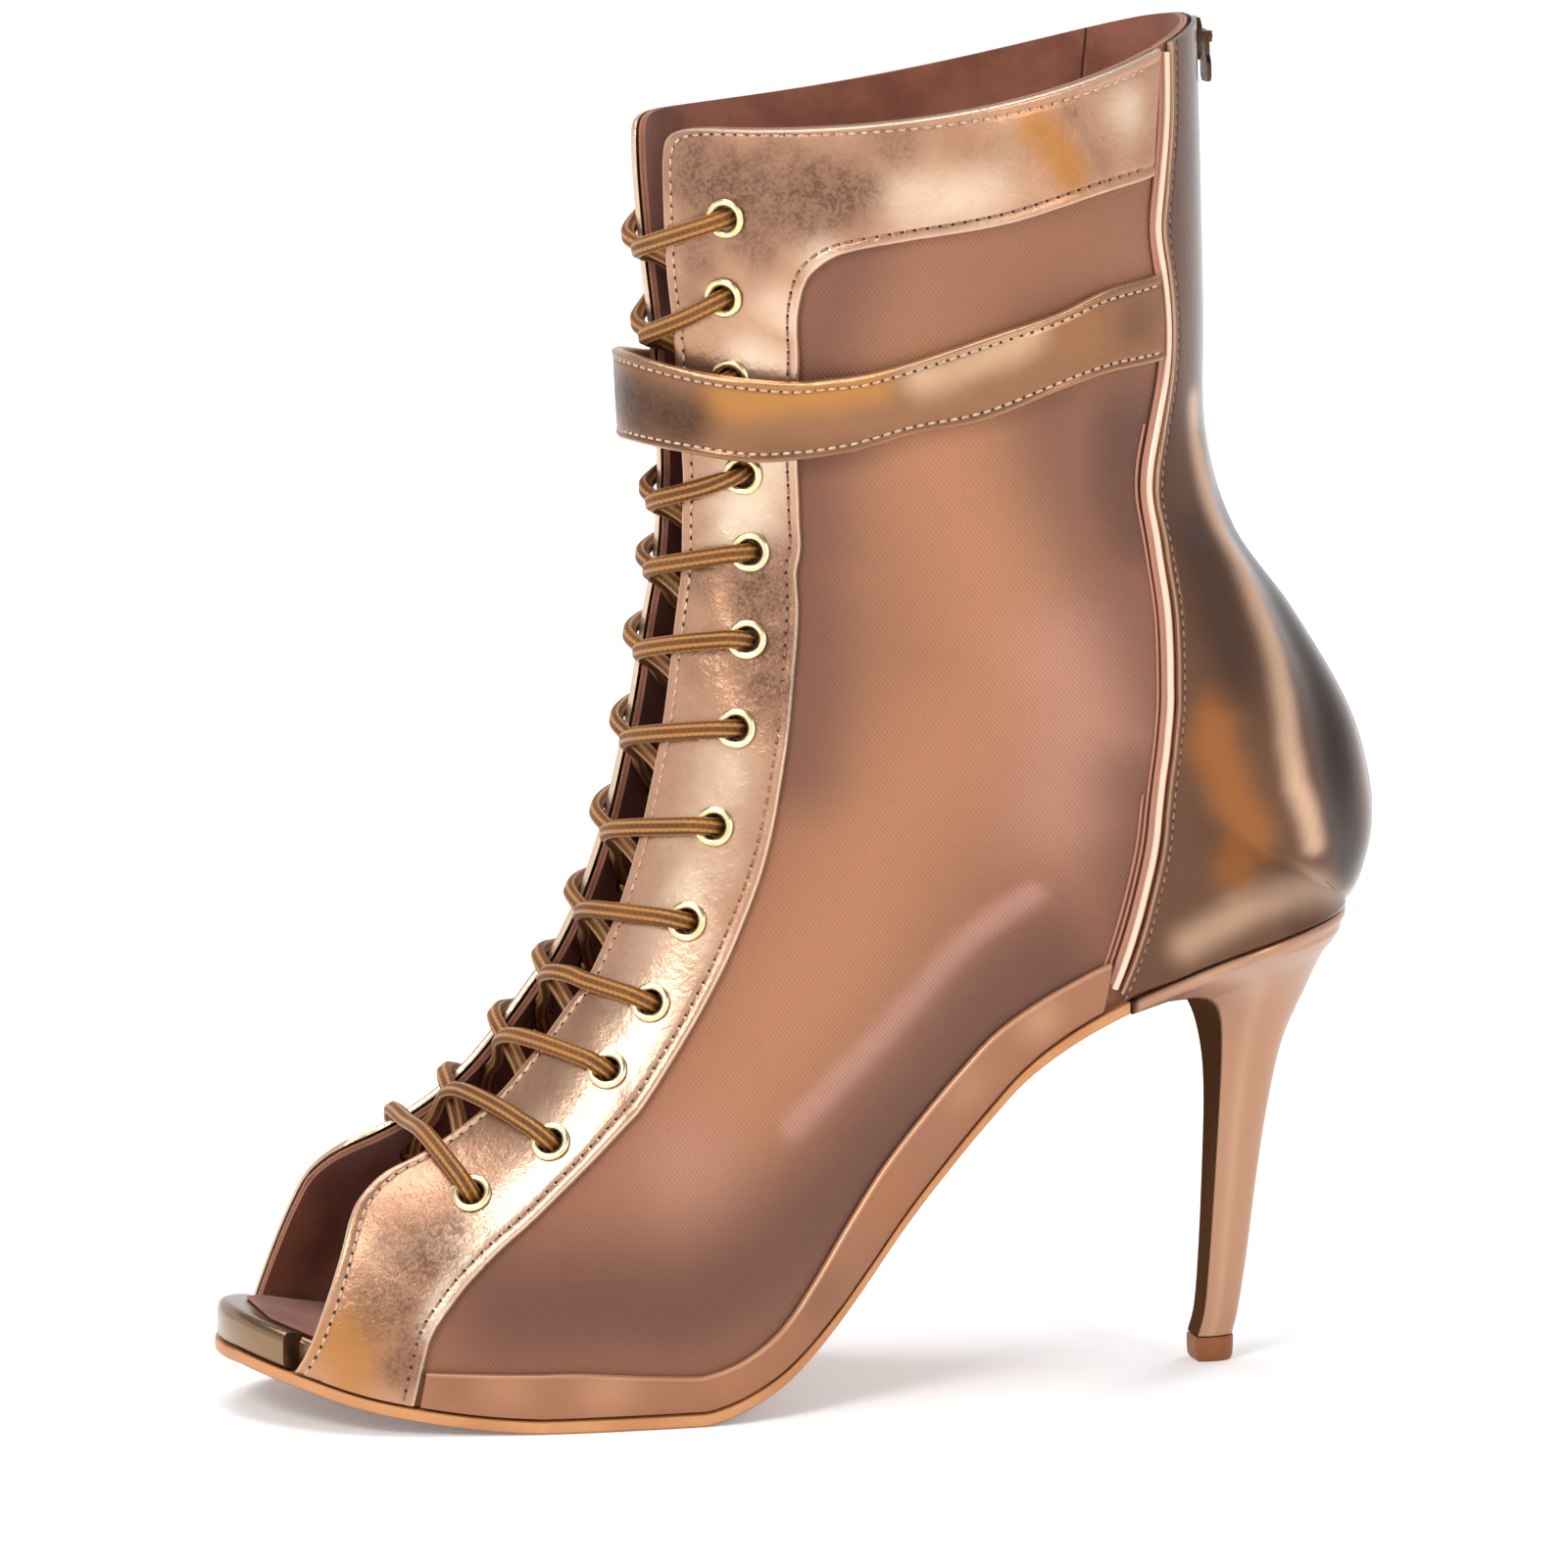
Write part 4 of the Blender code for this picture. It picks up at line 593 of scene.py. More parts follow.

# %% [markdown]
# Soft creases
#
# A worn boot creases where the foot bends, and leather over a stiff counter keeps soft ridges. A cloth
# simulation would place them by chance, so each is drawn as a line on the form. All layers of the upper
# share them, so no layer cuts through another.

# %% Creases
CREASES = (
    # half width, height, then station and girth along the line
    (0.004, 0.0008, ((8.6, 0.76), (7.95, 0.758), (7.25, 0.75), (6.5, 0.719), (5.75, 0.68), (5.2, 0.64))),
    (0.005, -0.0011, ((17.1, 0.725), (16.55, 0.705), (15.8, 0.662), (14.75, 0.58), (13.9, 0.52))),
    (0.006, 0.0008, ((16.2, 0.58), (15.2, 0.52), (14.0, 0.44), (12.8, 0.4))),
    (0.0045, -0.0006, ((13.4, 0.6), (12.2, 0.52), (11.2, 0.42), (10.4, 0.34))),
    (0.0014, 0.0005, ((5.3, 0.86), (4.7, 0.8), (4.1, 0.772), (3.5, 0.772), (3.0, 0.785))),
    (0.0022, -0.0004, ((5.0, 0.8), (4.4, 0.745), (3.7, 0.735), (3.1, 0.75))),
    (0.0042, 0.0011, ((16.9, 0.9), (16.3, 0.872), (15.4, 0.845), (13.95, 0.8), (12.6, 0.8), (11.2, 0.89))),
    (0.0046, -0.0009, ((16.0, 0.93), (14.9, 0.895), (13.8, 0.872), (12.7, 0.872), (11.7, 0.92))),
    (0.0052, -0.0009, ((12.9, 0.7), (12.1, 0.695), (11.35, 0.745), (10.6, 0.82))),
    (0.0036, 0.0005, ((8.9, 0.955), (9.5, 0.925), (10.4, 0.92), (11.2, 0.965))),
    (0.003, -0.0004, ((9.8, 0.11), (9.3, 0.16), (8.9, 0.23), (8.7, 0.3))),
    (0.0026, 0.0004, ((9.1, 0.1), (8.6, 0.16), (8.2, 0.24), (8.0, 0.3))),
    (0.0024, -0.0003, ((8.4, 0.11), (8.0, 0.18), (7.7, 0.26))),
    (0.0028, 0.0004, ((10.6, 0.1), (10.1, 0.13), (9.8, 0.19))),
)
CREASE_STEPS = 140


def crease_line(line, side):
    keys = np.arange(len(line))
    at = np.linspace(0, len(line) - 1, CREASE_STEPS)
    stations, girths = (smooth(keys, values, at) for values in zip(*line))
    return form(stations, girths, side)


CREASE_LINES = {side: [crease_line(line, side) for _, _, line in CREASES] for side in (-1, 1)}


def creased(points, side):
    """How far the creases lift or sink each of the points."""
    flat = points.reshape(-1, 3)
    lift = np.zeros(len(flat))
    fade = np.sin(np.linspace(0, math.pi, CREASE_STEPS)).clip(0) ** 0.6
    for (half, height, _), line in zip(CREASES, CREASE_LINES[side]):
        low, high = line.min(axis=0) - 3 * half, line.max(axis=0) + 3 * half
        near = np.flatnonzero(((flat > low) & (flat < high)).all(axis=1))
        gaps = norm(flat[near][:, None] - line[None], axis=2)
        closest = gaps.argmin(axis=1)
        gap = gaps[np.arange(len(near)), closest]
        lift[near] += height * fade[closest] * bell(gap, half)
    return lift.reshape(points.shape[:-1])


print(len(CREASES), "creases a side")

# %% [markdown]
# Making skins
#
# The upper is cut leather and mesh of even thickness. A plane with a Solidify modifier could make that, but
# its edges stay square. So each piece is a grid of places on the form with an outer and an inner height,
# packed close to its cut edges, which can then be rounded, and closed by a rim. Every point carries its
# place along and across the piece, and its tone: how dark, pale and amber the finish is there. The dark is
# rubbed foil and also painted shade and dark reflection, the pale a painted highlight and the amber a
# painted warm reflection.

# %% Closed skins
NO_EDGE = 0.01            # edge distance of pieces without a cut edge
EDGE_STEPS = np.array([0, 0.1, 0.24, 0.42, 0.65, 0.95, 1.3, 1.65, 1.95, 2.2, 2.45, 2.8, 3.3]) / 1000


def add_values(mesh, name, values):
    made = mesh.attributes.new(name, "FLOAT_VECTOR", "POINT")
    made.data.foreach_set("vector", np.asarray(values, np.float32).ravel())


def put(name, mesh, finish, body="boot"):
    item = bpy.data.objects.new(name, mesh)
    mesh.materials.append(finish)
    mesh.shade_smooth()
    mesh.set_sharp_from_angle(angle=math.radians(50))
    bpy.context.scene.collection.objects.link(item)
    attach(item, body)
    return item


def patch_of(outer, inner, place, tone, flip=False):
    return {"outer": outer, "inner": inner, "place": place, "tone": tone, "flip": flip}


def closed_skin(name, patches):
    """A closed mesh from grids with an outer and an inner skin; grids that share points are joined."""
    parts = {key: np.concatenate([patch[key].reshape(-1, 3) for patch in patches])
             for key in ("outer", "inner", "place", "tone")}
    quads, start = [], 0
    for patch in patches:
        rows_, columns_ = patch["outer"].shape[:2]
        ids = start + np.arange(rows_ * columns_).reshape(rows_, columns_)
        quad = np.stack([ids[:-1, :-1], ids[:-1, 1:], ids[1:, 1:], ids[1:, :-1]], axis=-1).reshape(-1, 4)
        quads.append(quad[:, ::-1] if patch["flip"] else quad)
        start += rows_ * columns_
    quads = np.concatenate(quads)
    _, first, index = np.unique(
        np.round(parts["outer"], 6) + 0.0, axis=0, return_index=True, return_inverse=True)
    index = index.reshape(-1)
    parts = {key: values[first] for key, values in parts.items()}
    count = len(first)
    rings = (list(dict.fromkeys(quad)) for quad in index[quads].tolist())
    faces = [ring for ring in rings if len(ring) > 2]
    once = {pair for face in faces for pair in zip(face, face[1:] + face[:1])}
    rim = sorted((a, b) for a, b in once if (b, a) not in once)
    inner = [[point + count for point in reversed(face)] for face in faces]
    band = [[b, a, a + count, b + count] for a, b in rim]
    points = np.concatenate([parts["outer"], parts["inner"]])
    sample = np.array([face[:3] for face in faces[::7]])
    a, b, c = (parts["outer"][sample[:, k]] for k in range(3))
    out = (np.cross(b - a, c - a) * (a - parts["inner"][sample[:, 0]])).sum()
    whole = faces + inner + band
    if out < 0:
        whole = [face[::-1] for face in whole]
    mesh = bpy.data.meshes.new(name)
    mesh.from_pydata(points.tolist(), [], whole)
    for key in ("place", "tone"):
        add_values(mesh, key, np.concatenate([parts[key], parts[key]]))
    return mesh


def crossing(first, second, side, count=41):
    """Paths straight across from one line to the other, row by row, and the distance run along each."""
    shares = np.linspace(0, 1, count)
    stations, girths = (first[k][:, None] * (1 - shares) + second[k][:, None] * shares for k in (0, 1))
    girths = np.minimum(girths, 1.0)
    steps = norm(np.diff(form(stations, girths, side), axis=1), axis=2)
    return stations, girths, np.concatenate([np.zeros((len(steps), 1)), steps.cumsum(axis=1)], axis=1)


def packed(length, fill):
    """Distances across a row, packed close to both edges."""
    steps = EDGE_STEPS * min(1.0, length / (2.3 * EDGE_STEPS[-1]))
    middle = np.linspace(steps[-1], length - steps[-1], fill + 2)[1:-1]
    return np.concatenate([steps, middle, length - steps[::-1]])


def spread(first, second, side, fill):
    """Stations, girths and distances for rows with columns packed close to both edges."""
    stations, girths, run = crossing(first, second, side)
    made = []
    for row, length in enumerate(run[:, -1]):
        at = packed(length, fill)
        made.append([np.interp(at, run[row], stations[row]), np.interp(at, run[row], girths[row]), at,
                     np.full(len(at), length)])
    return np.array(made).transpose(1, 0, 2)


def inset(first, second, side, distance):
    """The line that runs a distance in from the first edge; negative from the second."""
    stations, girths, run = crossing(first, second, side)
    places = []
    for row, length in enumerate(run[:, -1]):
        at = min(distance, length) if distance >= 0 else max(length + distance, 0.0)
        places.append([np.interp(at, run[row], stations[row]), np.interp(at, run[row], girths[row])])
    return np.array(places).T


def rounded(edge, radius):
    """Height share of an edge that is rounded over a radius."""
    return np.sqrt(np.clip(1 - (1 - np.clip(edge / radius, 0, 1)) ** 2, 0, 1))


def along_of(points):
    """Distance run down the rows, measured through the middle column."""
    return run_of(points[:, points.shape[1] // 2])


def placed_on(base, across, edge):
    """The place value of a piece: along it, across it and in from its cut edge."""
    return np.stack(np.broadcast_arrays(along_of(base)[:, None], across, edge), axis=-1)


def on_leather(stations, girths, side, height):
    """Points at a height over the creased form, and the form's normals there."""
    lift = creased(form(stations, girths, side), side)
    return form(stations, girths, side, height + lift), form_normal(stations, girths, side)


def streak(reach, weights, *places):
    """A row of close patches along a line on the form."""
    at = np.linspace(0, len(places) - 1, 9 * (len(places) - 1) + 1)
    line = read_at(at, np.arange(len(places)), places)
    return tuple((station, girth, reach, *weights) for station, girth in line)


def toned(points, side, patches):
    """How dark, pale and amber each point is, from patches listed on the form."""
    tone = np.zeros(points.shape)
    for station, girth, reach, *weights in patches:
        middle = form(station, girth, side)
        near = bell(norm(points - middle, axis=-1), reach / 1000)
        tone = np.maximum(tone, near[..., None] * np.array(weights))
    return tone


def evenly(points, pitch):
    """Places a pitch apart along a line of points, as shares of its steps."""
    run = run_of(points)
    count = max(int(run[-1] / pitch), 2)
    return np.interp(np.linspace(0, run[-1], count + 1), run, np.arange(len(points)))


def pick(values, at):
    """A list of rows read between its rows."""
    return read_at(at, np.arange(len(values)), values)


def stamped(name, points, faces, frames):
    """One mesh of a small shape set down many times. A frame is middle, along, across and out."""
    points = np.asarray(points, float)
    whole, loops = [], []
    for k, (middle, along, across, out) in enumerate(frames):
        whole.append(middle + points[:, :1] * along + points[:, 1:2] * across + points[:, 2:] * out)
        loops += [[corner + k * len(points) for corner in face] for face in faces]
    mesh = bpy.data.meshes.new(name)
    mesh.from_pydata(np.concatenate(whole).tolist(), [], loops)
    values = np.tile(points, (len(frames), 1))
    add_values(mesh, "place", values)
    return mesh


def bead(length, half_wide, half_high, rings=5, sides=8):
    """A thread seen from outside: a rounded bead along its own first axis."""
    points, faces = [(-length / 2, 0, 0)], []
    turns = np.arange(sides) * 2 * math.pi / sides
    for k in range(1, rings + 1):
        angle = math.pi * k / (rings + 1)
        at, size = -math.cos(angle) * length / 2, math.sin(angle) ** 0.7
        points += [(at, half_wide * size * math.cos(turn), half_high * size * math.sin(turn))
                   for turn in turns]
    points.append((length / 2, 0, 0))
    last = len(points) - 1
    for k in range(sides):
        after = (k + 1) % sides
        faces.append([0, 1 + after, 1 + k])
        faces += [[1 + ring * sides + k, 1 + ring * sides + after, 1 + (ring + 1) * sides + after,
                   1 + (ring + 1) * sides + k] for ring in range(rings - 1)]
        faces.append([last, 1 + (rings - 1) * sides + k, 1 + (rings - 1) * sides + after])
    return points, faces


def frames_along(line, normals, pitch, shift=0.0):
    """Frames a pitch apart along a line on the form."""
    at = evenly(line, pitch)
    at = at[:-1] + (at[1] - at[0]) * shift if shift else at
    middles, outs = pick(line, at), pick(normals, at)
    after, before = (pick(line, np.clip(at + step, 0, len(line) - 1)) for step in (0.5, -0.5))
    along = unit(after - before)
    outs = unit(squared(outs, along))
    return list(zip(middles, along, np.cross(outs, along), outs))


def cut(mesh, tools):
    """A mesh after taking closed shapes out of it, with its values read back from the whole one."""
    before = np.zeros(len(mesh.vertices) * 3, np.float32)
    mesh.vertices.foreach_get("co", before)
    tree = KDTree(len(mesh.vertices))
    for k, point in enumerate(before.reshape(-1, 3).tolist()):
        tree.insert(point, k)
    tree.balance()
    kept = {}
    for name in ("place", "tone"):
        values = np.zeros(len(mesh.vertices) * 3, np.float32)
        mesh.attributes[name].data.foreach_get("vector", values)
        kept[name] = values.reshape(-1, 3)
    items = [bpy.data.objects.new(one.name, one) for one in (mesh, tools)]
    for item in items:
        bpy.context.scene.collection.objects.link(item)
    change = items[0].modifiers.new("cut", "BOOLEAN")
    change.operation = "DIFFERENCE"
    change.solver = "MANIFOLD"
    change.object = items[1]
    graph = bpy.context.evaluated_depsgraph_get()
    whole = bpy.data.meshes.new_from_object(items[0].evaluated_get(graph))
    for item in items:
        bpy.data.objects.remove(item)
    name = mesh.name
    bpy.data.meshes.remove(mesh)
    whole.name = name
    whole.materials.clear()
    closest = [tree.find(point.co)[1] for point in whole.vertices]
    for key, values in kept.items():
        if key in whole.attributes:
            whole.attributes.remove(whole.attributes[key])
        add_values(whole, key, values[closest])
    return whole


print("skin tools ready")

# %% [markdown]
# Tubes and turned rings
#
# Piping, laces and fold lines are tubes along a path; eyelets are a profile turned about an axis. Curve
# objects and a Screw modifier could do both, but a mesh also carries the ribs and the place values.

# %% Tubes
def tube(path, ups, shape):
    """Points, faces and places of a tube; shape is its outline as (across, up) pairs."""
    path = np.asarray(path, float)
    along = unit(np.gradient(path, axis=0))
    ups = unit(squared(ups, along))
    across = np.cross(along, ups)
    shape = np.asarray(shape, float)
    sides, rings = len(shape), len(path)
    points = (path[:, None] + across[:, None] * shape[None, :, :1] + ups[:, None] * shape[None, :, 1:])
    ids = np.arange(rings * sides).reshape(rings, sides)
    nxt = np.roll(ids, -1, axis=1)
    faces = np.stack([ids[:-1], nxt[:-1], nxt[1:], ids[1:]], axis=-1).reshape(-1, 4).tolist()
    faces += [ids[0][::-1].tolist(), ids[-1].tolist()]
    around = np.arange(sides) / sides
    place = np.stack(
        [np.repeat(run_of(path), sides), np.tile(around, rings), np.zeros(rings * sides)], axis=1)
    return points.reshape(-1, 3), faces, place


def finished(build, name):
    """A mesh from a builder, with its faces turned outwards."""
    bmesh.ops.recalc_face_normals(build, faces=build.faces)
    mesh = bpy.data.meshes.new(name)
    build.to_mesh(mesh)
    build.free()
    return mesh


def gathered(name, tubes):
    """Several tubes as one mesh."""
    points, faces, places, start = [], [], [], 0
    for one, loops, place in tubes:
        points.append(one)
        faces += [[corner + start for corner in loop] for loop in loops]
        places.append(place)
        start += len(one)
    mesh = bpy.data.meshes.new(name)
    mesh.from_pydata(np.concatenate(points).tolist(), [], faces)
    add_values(mesh, "place", np.concatenate(places))
    build = bmesh.new()
    build.from_mesh(mesh)
    bmesh.ops.recalc_face_normals(build, faces=build.faces)
    build.to_mesh(mesh)
    build.free()
    return mesh


def turned(profile, sides, middle, axis):
    """Points and faces of a closed profile of (radius, height) pairs turned about an axis."""
    axis = Vector(axis).normalized()
    first = np.array(axis.orthogonal().normalized())
    axis = np.array(axis)
    second = np.cross(axis, first)
    profile = np.asarray(profile, float)
    turns = np.arange(sides) * 2 * math.pi / sides
    out = np.cos(turns)[:, None] * first + np.sin(turns)[:, None] * second
    points = middle + out[:, None] * profile[None, :, :1] + axis * profile[None, :, 1:]
    size = len(profile)
    ids = np.arange(sides * size).reshape(sides, size)
    after, beside = np.roll(ids, -1, axis=1), np.roll(ids, -1, axis=0)
    faces = np.stack([ids, after, np.roll(after, -1, axis=0), beside], axis=-1).reshape(-1, 4).tolist()
    place = np.column_stack([np.repeat(turns, size), np.tile(profile, (sides, 1))])
    return points.reshape(-1, 3), faces, place


def oval(half_wide, half_high, sides, ribs=0, depth=0.0):
    """An oval outline, with lengthwise ribs if asked."""
    turns = np.arange(sides) * 2 * math.pi / sides
    size = 1 + depth * np.cos(ribs * turns) if ribs else np.ones(sides)
    return np.stack([half_wide * size * np.cos(turns), half_high * size * np.sin(turns)], axis=1)


PATH_FINE, PATH_EVERY = 0.0003, 3        # first step of a path in metres; one point in so many is kept


def eased_path(points, outs, reach=0.0016):
    """A path at even steps, with its corners rounded."""
    run = run_of(points)
    fine = np.arange(0, run[-1], PATH_FINE)
    even, facing_out = (read_at(fine, run, line) for line in (points, outs))
    half = int(3 * reach / PATH_FINE)
    weights = bell(np.arange(-half, half + 1) * PATH_FINE, reach)
    padded = np.pad(even, ((half, half), (0, 0)), mode="edge")
    soft = np.stack([np.convolve(one, weights / weights.sum(), mode="valid") for one in padded.T], axis=1)
    return soft[::PATH_EVERY], facing_out[::PATH_EVERY]


print("tube tools ready")

# %% [markdown]
# Shared effects as node groups
#
# Grain, weave, braid and the foil's colour, with its wear and painted light, show in several of the boot's
# finishes. They could be built again in each; one node group for each effect keeps them alike. A group
# works out heights, masks and colours, and each finish keeps its own shader.

# %% Node helpers
class Graph:
    """Short calls for making and linking nodes in one tree."""

    def __init__(self, tree):
        self.tree = tree

    def make(self, kind, settings=None, **inputs):
        made = self.tree.nodes.new(kind)
        for key, value in (settings or {}).items():
            setattr(made, key, value)
        for key, value in inputs.items():
            self.feed(made.inputs[key.replace("_", " ")], value)
        return made

    def feed(self, socket, value):
        if isinstance(value, bpy.types.NodeSocket):
            self.tree.links.new(value, socket)
        elif isinstance(value, tuple) and len(value) == 3 and socket.type == "RGBA":
            socket.default_value = (*value, 1.0)
        else:
            socket.default_value = value

    def math(self, operation, *values, clamp=False):
        made = self.make("ShaderNodeMath", {"operation": operation, "use_clamp": clamp})
        for socket, value in zip(made.inputs, values):
            self.feed(socket, value)
        return made.outputs[0]

    def times(self, first, second):
        return self.math("MULTIPLY", first, second)

    def plus(self, first, second, **settings):
        return self.math("ADD", first, second, **settings)

    def minus(self, first, second):
        return self.math("SUBTRACT", first, second)

    def mix(self, factor, first, second):
        made = self.make("ShaderNodeMix", {"data_type": "RGBA"})
        self.feed(made.inputs["Factor"], factor)
        for name, value in (("A", first), ("B", second)):
            socket = next(one for one in made.inputs if one.name == name and one.type == "RGBA")
            self.feed(socket, value)
        return next(one for one in made.outputs if one.type == "RGBA")

    def between(self, value, low, high, new_low=0.0, new_high=1.0):
        made = self.make("ShaderNodeMapRange", {"interpolation_type": "SMOOTHSTEP"})
        for name, one in (("Value", value), ("From Min", low), ("From Max", high), ("To Min", new_low),
                          ("To Max", new_high)):
            self.feed(made.inputs[name], one)
        return made.outputs["Result"]

    def shades(self, value, first, second, low=0.35, high=0.65):
        """Two colours that drift into each other with a noise."""
        return self.mix(self.between(value, low, high), paint(*first), paint(*second))

    def tinted(self, value, share, colour, other):
        """A colour with a share of another one where the value is high."""
        return self.mix(self.times(value, share), colour, paint(*other))

    def noise(self, vector, scale, detail, roughness):
        made = self.make("ShaderNodeTexNoise", Scale=scale, Detail=detail, Roughness=roughness)
        self.feed(made.inputs["Vector"], vector)
        return made.outputs["Fac"]

    def value(self, name):
        return self.make("ShaderNodeAttribute", {"attribute_name": name}).outputs["Vector"]

    def parts(self, vector):
        made = self.make("ShaderNodeSeparateXYZ")
        self.feed(made.inputs[0], vector)
        return made.outputs

    def spot(self):
        return self.make("ShaderNodeTexCoord").outputs["Object"]


def group(name, inputs, outputs):
    """A new node group with its sockets: name, kind and starting value."""
    tree = bpy.data.node_groups.new(name, "ShaderNodeTree")
    for title, kind, start in inputs:
        socket = tree.interface.new_socket(name=title, in_out="INPUT", socket_type=f"NodeSocket{kind}")
        if start is not None:
            socket.default_value = (*start, 1.0) if kind == "Color" else start
    for title, kind in outputs:
        tree.interface.new_socket(name=title, in_out="OUTPUT", socket_type=f"NodeSocket{kind}")
    graph = Graph(tree)
    return graph, tree.nodes.new("NodeGroupInput").outputs, tree.nodes.new("NodeGroupOutput").inputs


def placed(graph, name, **values):
    """A group set down in a material, with its own values."""
    made = graph.tree.nodes.new("ShaderNodeGroup")
    made.node_tree = bpy.data.node_groups[name]
    for key, value in values.items():
        graph.feed(made.inputs[key.replace("_", " ")], value)
    return made.outputs


def finish(name, roughness=0.5, metallic=0.0, **settings):
    """A material with its Principled BSDF and its graph."""
    made = bpy.data.materials.new(name)
    made.use_nodes = True
    shader = made.node_tree.nodes["Principled BSDF"]
    shader.inputs["Roughness"].default_value = roughness
    shader.inputs["Metallic"].default_value = metallic
    for key, value in settings.items():
        socket = shader.inputs[key.replace("_", " ")]
        socket.default_value = (*value, 1.0) if isinstance(value, tuple) and len(value) == 3 else value
    return made, Graph(made.node_tree), shader.inputs


def surfaced(graph, inputs, colour, height, depth, rough=None):
    """Colour and bump of a finish, and its roughness where that varies."""
    graph.feed(inputs["Base Color"], colour)
    if rough is not None:
        graph.feed(inputs["Roughness"], rough)
    made = graph.make("ShaderNodeBump", Strength=1.0, Distance=depth)
    graph.feed(made.inputs["Height"], height)
    graph.feed(inputs["Normal"], made.outputs["Normal"])


# %% [markdown]
# Grain and crinkle
#
# Foiled leather has a fine pebble from the hide, and where it has been flexed the foil breaks into small
# crinkles. A picture of leather could give both, but it would repeat and stretch, so noise and cells make
# them in space, and the Crinkle input brings the crinkles up.

# %% Group: leather grain
g, given, out = group(
    "leather_grain",
    (("Scale", "Float", 1.0), ("Crinkle", "Float", 0.0)),
    (("Height", "Float"), ("Fleck", "Float"), ("Broad", "Float")),
)
spot = g.spot()
fine = g.noise(spot, g.times(given["Scale"], 1500.0), 3.0, 0.6)
pebble = g.make("ShaderNodeTexVoronoi", {"feature": "SMOOTH_F1"})
g.feed(pebble.inputs["Vector"], spot)
g.feed(pebble.inputs["Scale"], g.times(given["Scale"], 620.0))
folds = g.noise(spot, g.times(given["Scale"], 330.0), 4.0, 0.68)
ridge = g.math("ABSOLUTE", g.minus(folds, 0.5))
broad = g.noise(spot, g.times(given["Scale"], 95.0), 3.0, 0.55)
tooth = g.plus(g.times(fine, 0.22), g.times(pebble.outputs["Distance"], 0.25))
crinkled = g.times(g.times(ridge, 5.0), g.plus(given["Crinkle"], 0.1))
g.feed(out["Height"], g.plus(tooth, crinkled))
g.feed(out["Fleck"], g.between(g.plus(g.times(fine, 0.55), g.times(folds, 0.45)),
                               0.42, 0.6))
g.feed(out["Broad"], broad)
print("group leather_grain")

# %% [markdown]
# Foil wear and painted light
#
# The skin runs from rose gold to brown where the foil has thinned. The cream is a painted highlight and the
# amber a painted warm reflection; the brown also stands for painted shade on the heel's breast and for a
# painted dark reflection on the counter. It could be painted on a picture; masks from the tone values need
# none and stay in place when a size changes. Flecks break up each border.

# %% Group: foil wear and painted light
g, given, out = group(
    "foil_wear_and_painted_light",
    (("Base", "Color", (0.5, 0.3, 0.2)), ("Deep", "Color", (0.1, 0.05, 0.03)),
     ("Pale", "Color", (0.8, 0.7, 0.5)), ("Amber", "Color", (0.5, 0.2, 0.05)), ("Tone", "Vector", None),
     ("Fleck", "Float", 0.5), ("Broad", "Float", 0.5), ("Edge", "Float", 0.0), ("Speckle", "Float", 1.0)),
    (("Color", "Color"), ("WearAndPaintedDark", "Float")),
)
tone = g.parts(given["Tone"])
drift = g.times(g.minus(given["Broad"], 0.5), given["Speckle"])
bare = g.times(g.minus(1.0, given["Fleck"]), given["Speckle"])
# the first tone value is wear, and also painted shade on the heel's breast and a painted dark reflection on
# the counter; the second gives a painted highlight and the third a painted warm reflection
dark = g.plus(tone["X"], g.times(drift, 0.8), clamp=True)
dark_fleck = g.times(g.between(dark, 0.06, 0.95), g.minus(1.0, g.times(bare, 0.4)))
amber = g.between(g.plus(tone["Z"], g.times(drift, 0.5)), 0.05, 1.0)
pale = g.between(g.plus(tone["Y"], g.times(drift, 0.6)), 0.06, 1.0)
colour = g.mix(g.times(bare, 0.12), given["Base"], given["Deep"])
# the painted warm reflection and the painted highlight are mixed into the colour here
colour = g.mix(amber, colour, given["Amber"])
colour = g.mix(pale, colour, given["Pale"])
colour = g.mix(dark_fleck, colour, given["Deep"])
# a painted highlight along each folded cut edge
colour = g.mix(g.times(given["Edge"], 0.65), colour, given["Pale"])
g.feed(out["Color"], colour)
g.feed(out["WearAndPaintedDark"], dark_fleck)
print("group foil_wear_and_painted_light")

# %% [markdown]
# Weave and braid
#
# The sides are a fine mesh with a slanting hatch, and the lace is a braid. Modelled threads would take
# millions of faces, so both are crossed waves, on the boot's own coordinates and on the lace's length and
# turn.

# %% Groups: hatch and braid
g, given, out = group(
    "mesh_hatch", (("Pitch", "Float", 0.0009),), (("Height", "Float"),),
)
spot = g.parts(g.spot())
slant = []
for lean in (0.85, -0.55):
    ramp = g.plus(spot["X"], g.times(spot["Z"], lean))
    wave = g.math("SINE", g.times(g.math("DIVIDE", ramp, given["Pitch"]), 6.2832))
    slant.append(g.plus(g.times(wave, 0.5), 0.5))
g.feed(out["Height"], g.plus(g.times(slant[0], 0.72), g.times(slant[1], 0.28)))

g, given, out = group(
    "round_braid", (("Place", "Vector", None), ("Pitch", "Float", 0.0014), ("Strands", "Float", 5.0)),
    (("Height", "Float"), ("Groove", "Float")),
)
place = g.parts(given["Place"])
turn = g.times(g.times(place["Y"], given["Strands"]), 6.2832)
climb = g.times(g.math("DIVIDE", place["X"], given["Pitch"]), 6.2832)
left = g.math("SINE", g.plus(climb, turn))
right = g.math("SINE", g.minus(climb, turn))
woven = g.math("MAXIMUM", left, right)
g.feed(out["Height"], g.plus(g.times(woven, 0.5), 0.5))
# the groove mask darkens the lace between its strands, a painted shade
g.feed(out["Groove"], g.between(woven, -0.1, 0.75, 1.0, 0.0))
print("groups mesh_hatch and round_braid")

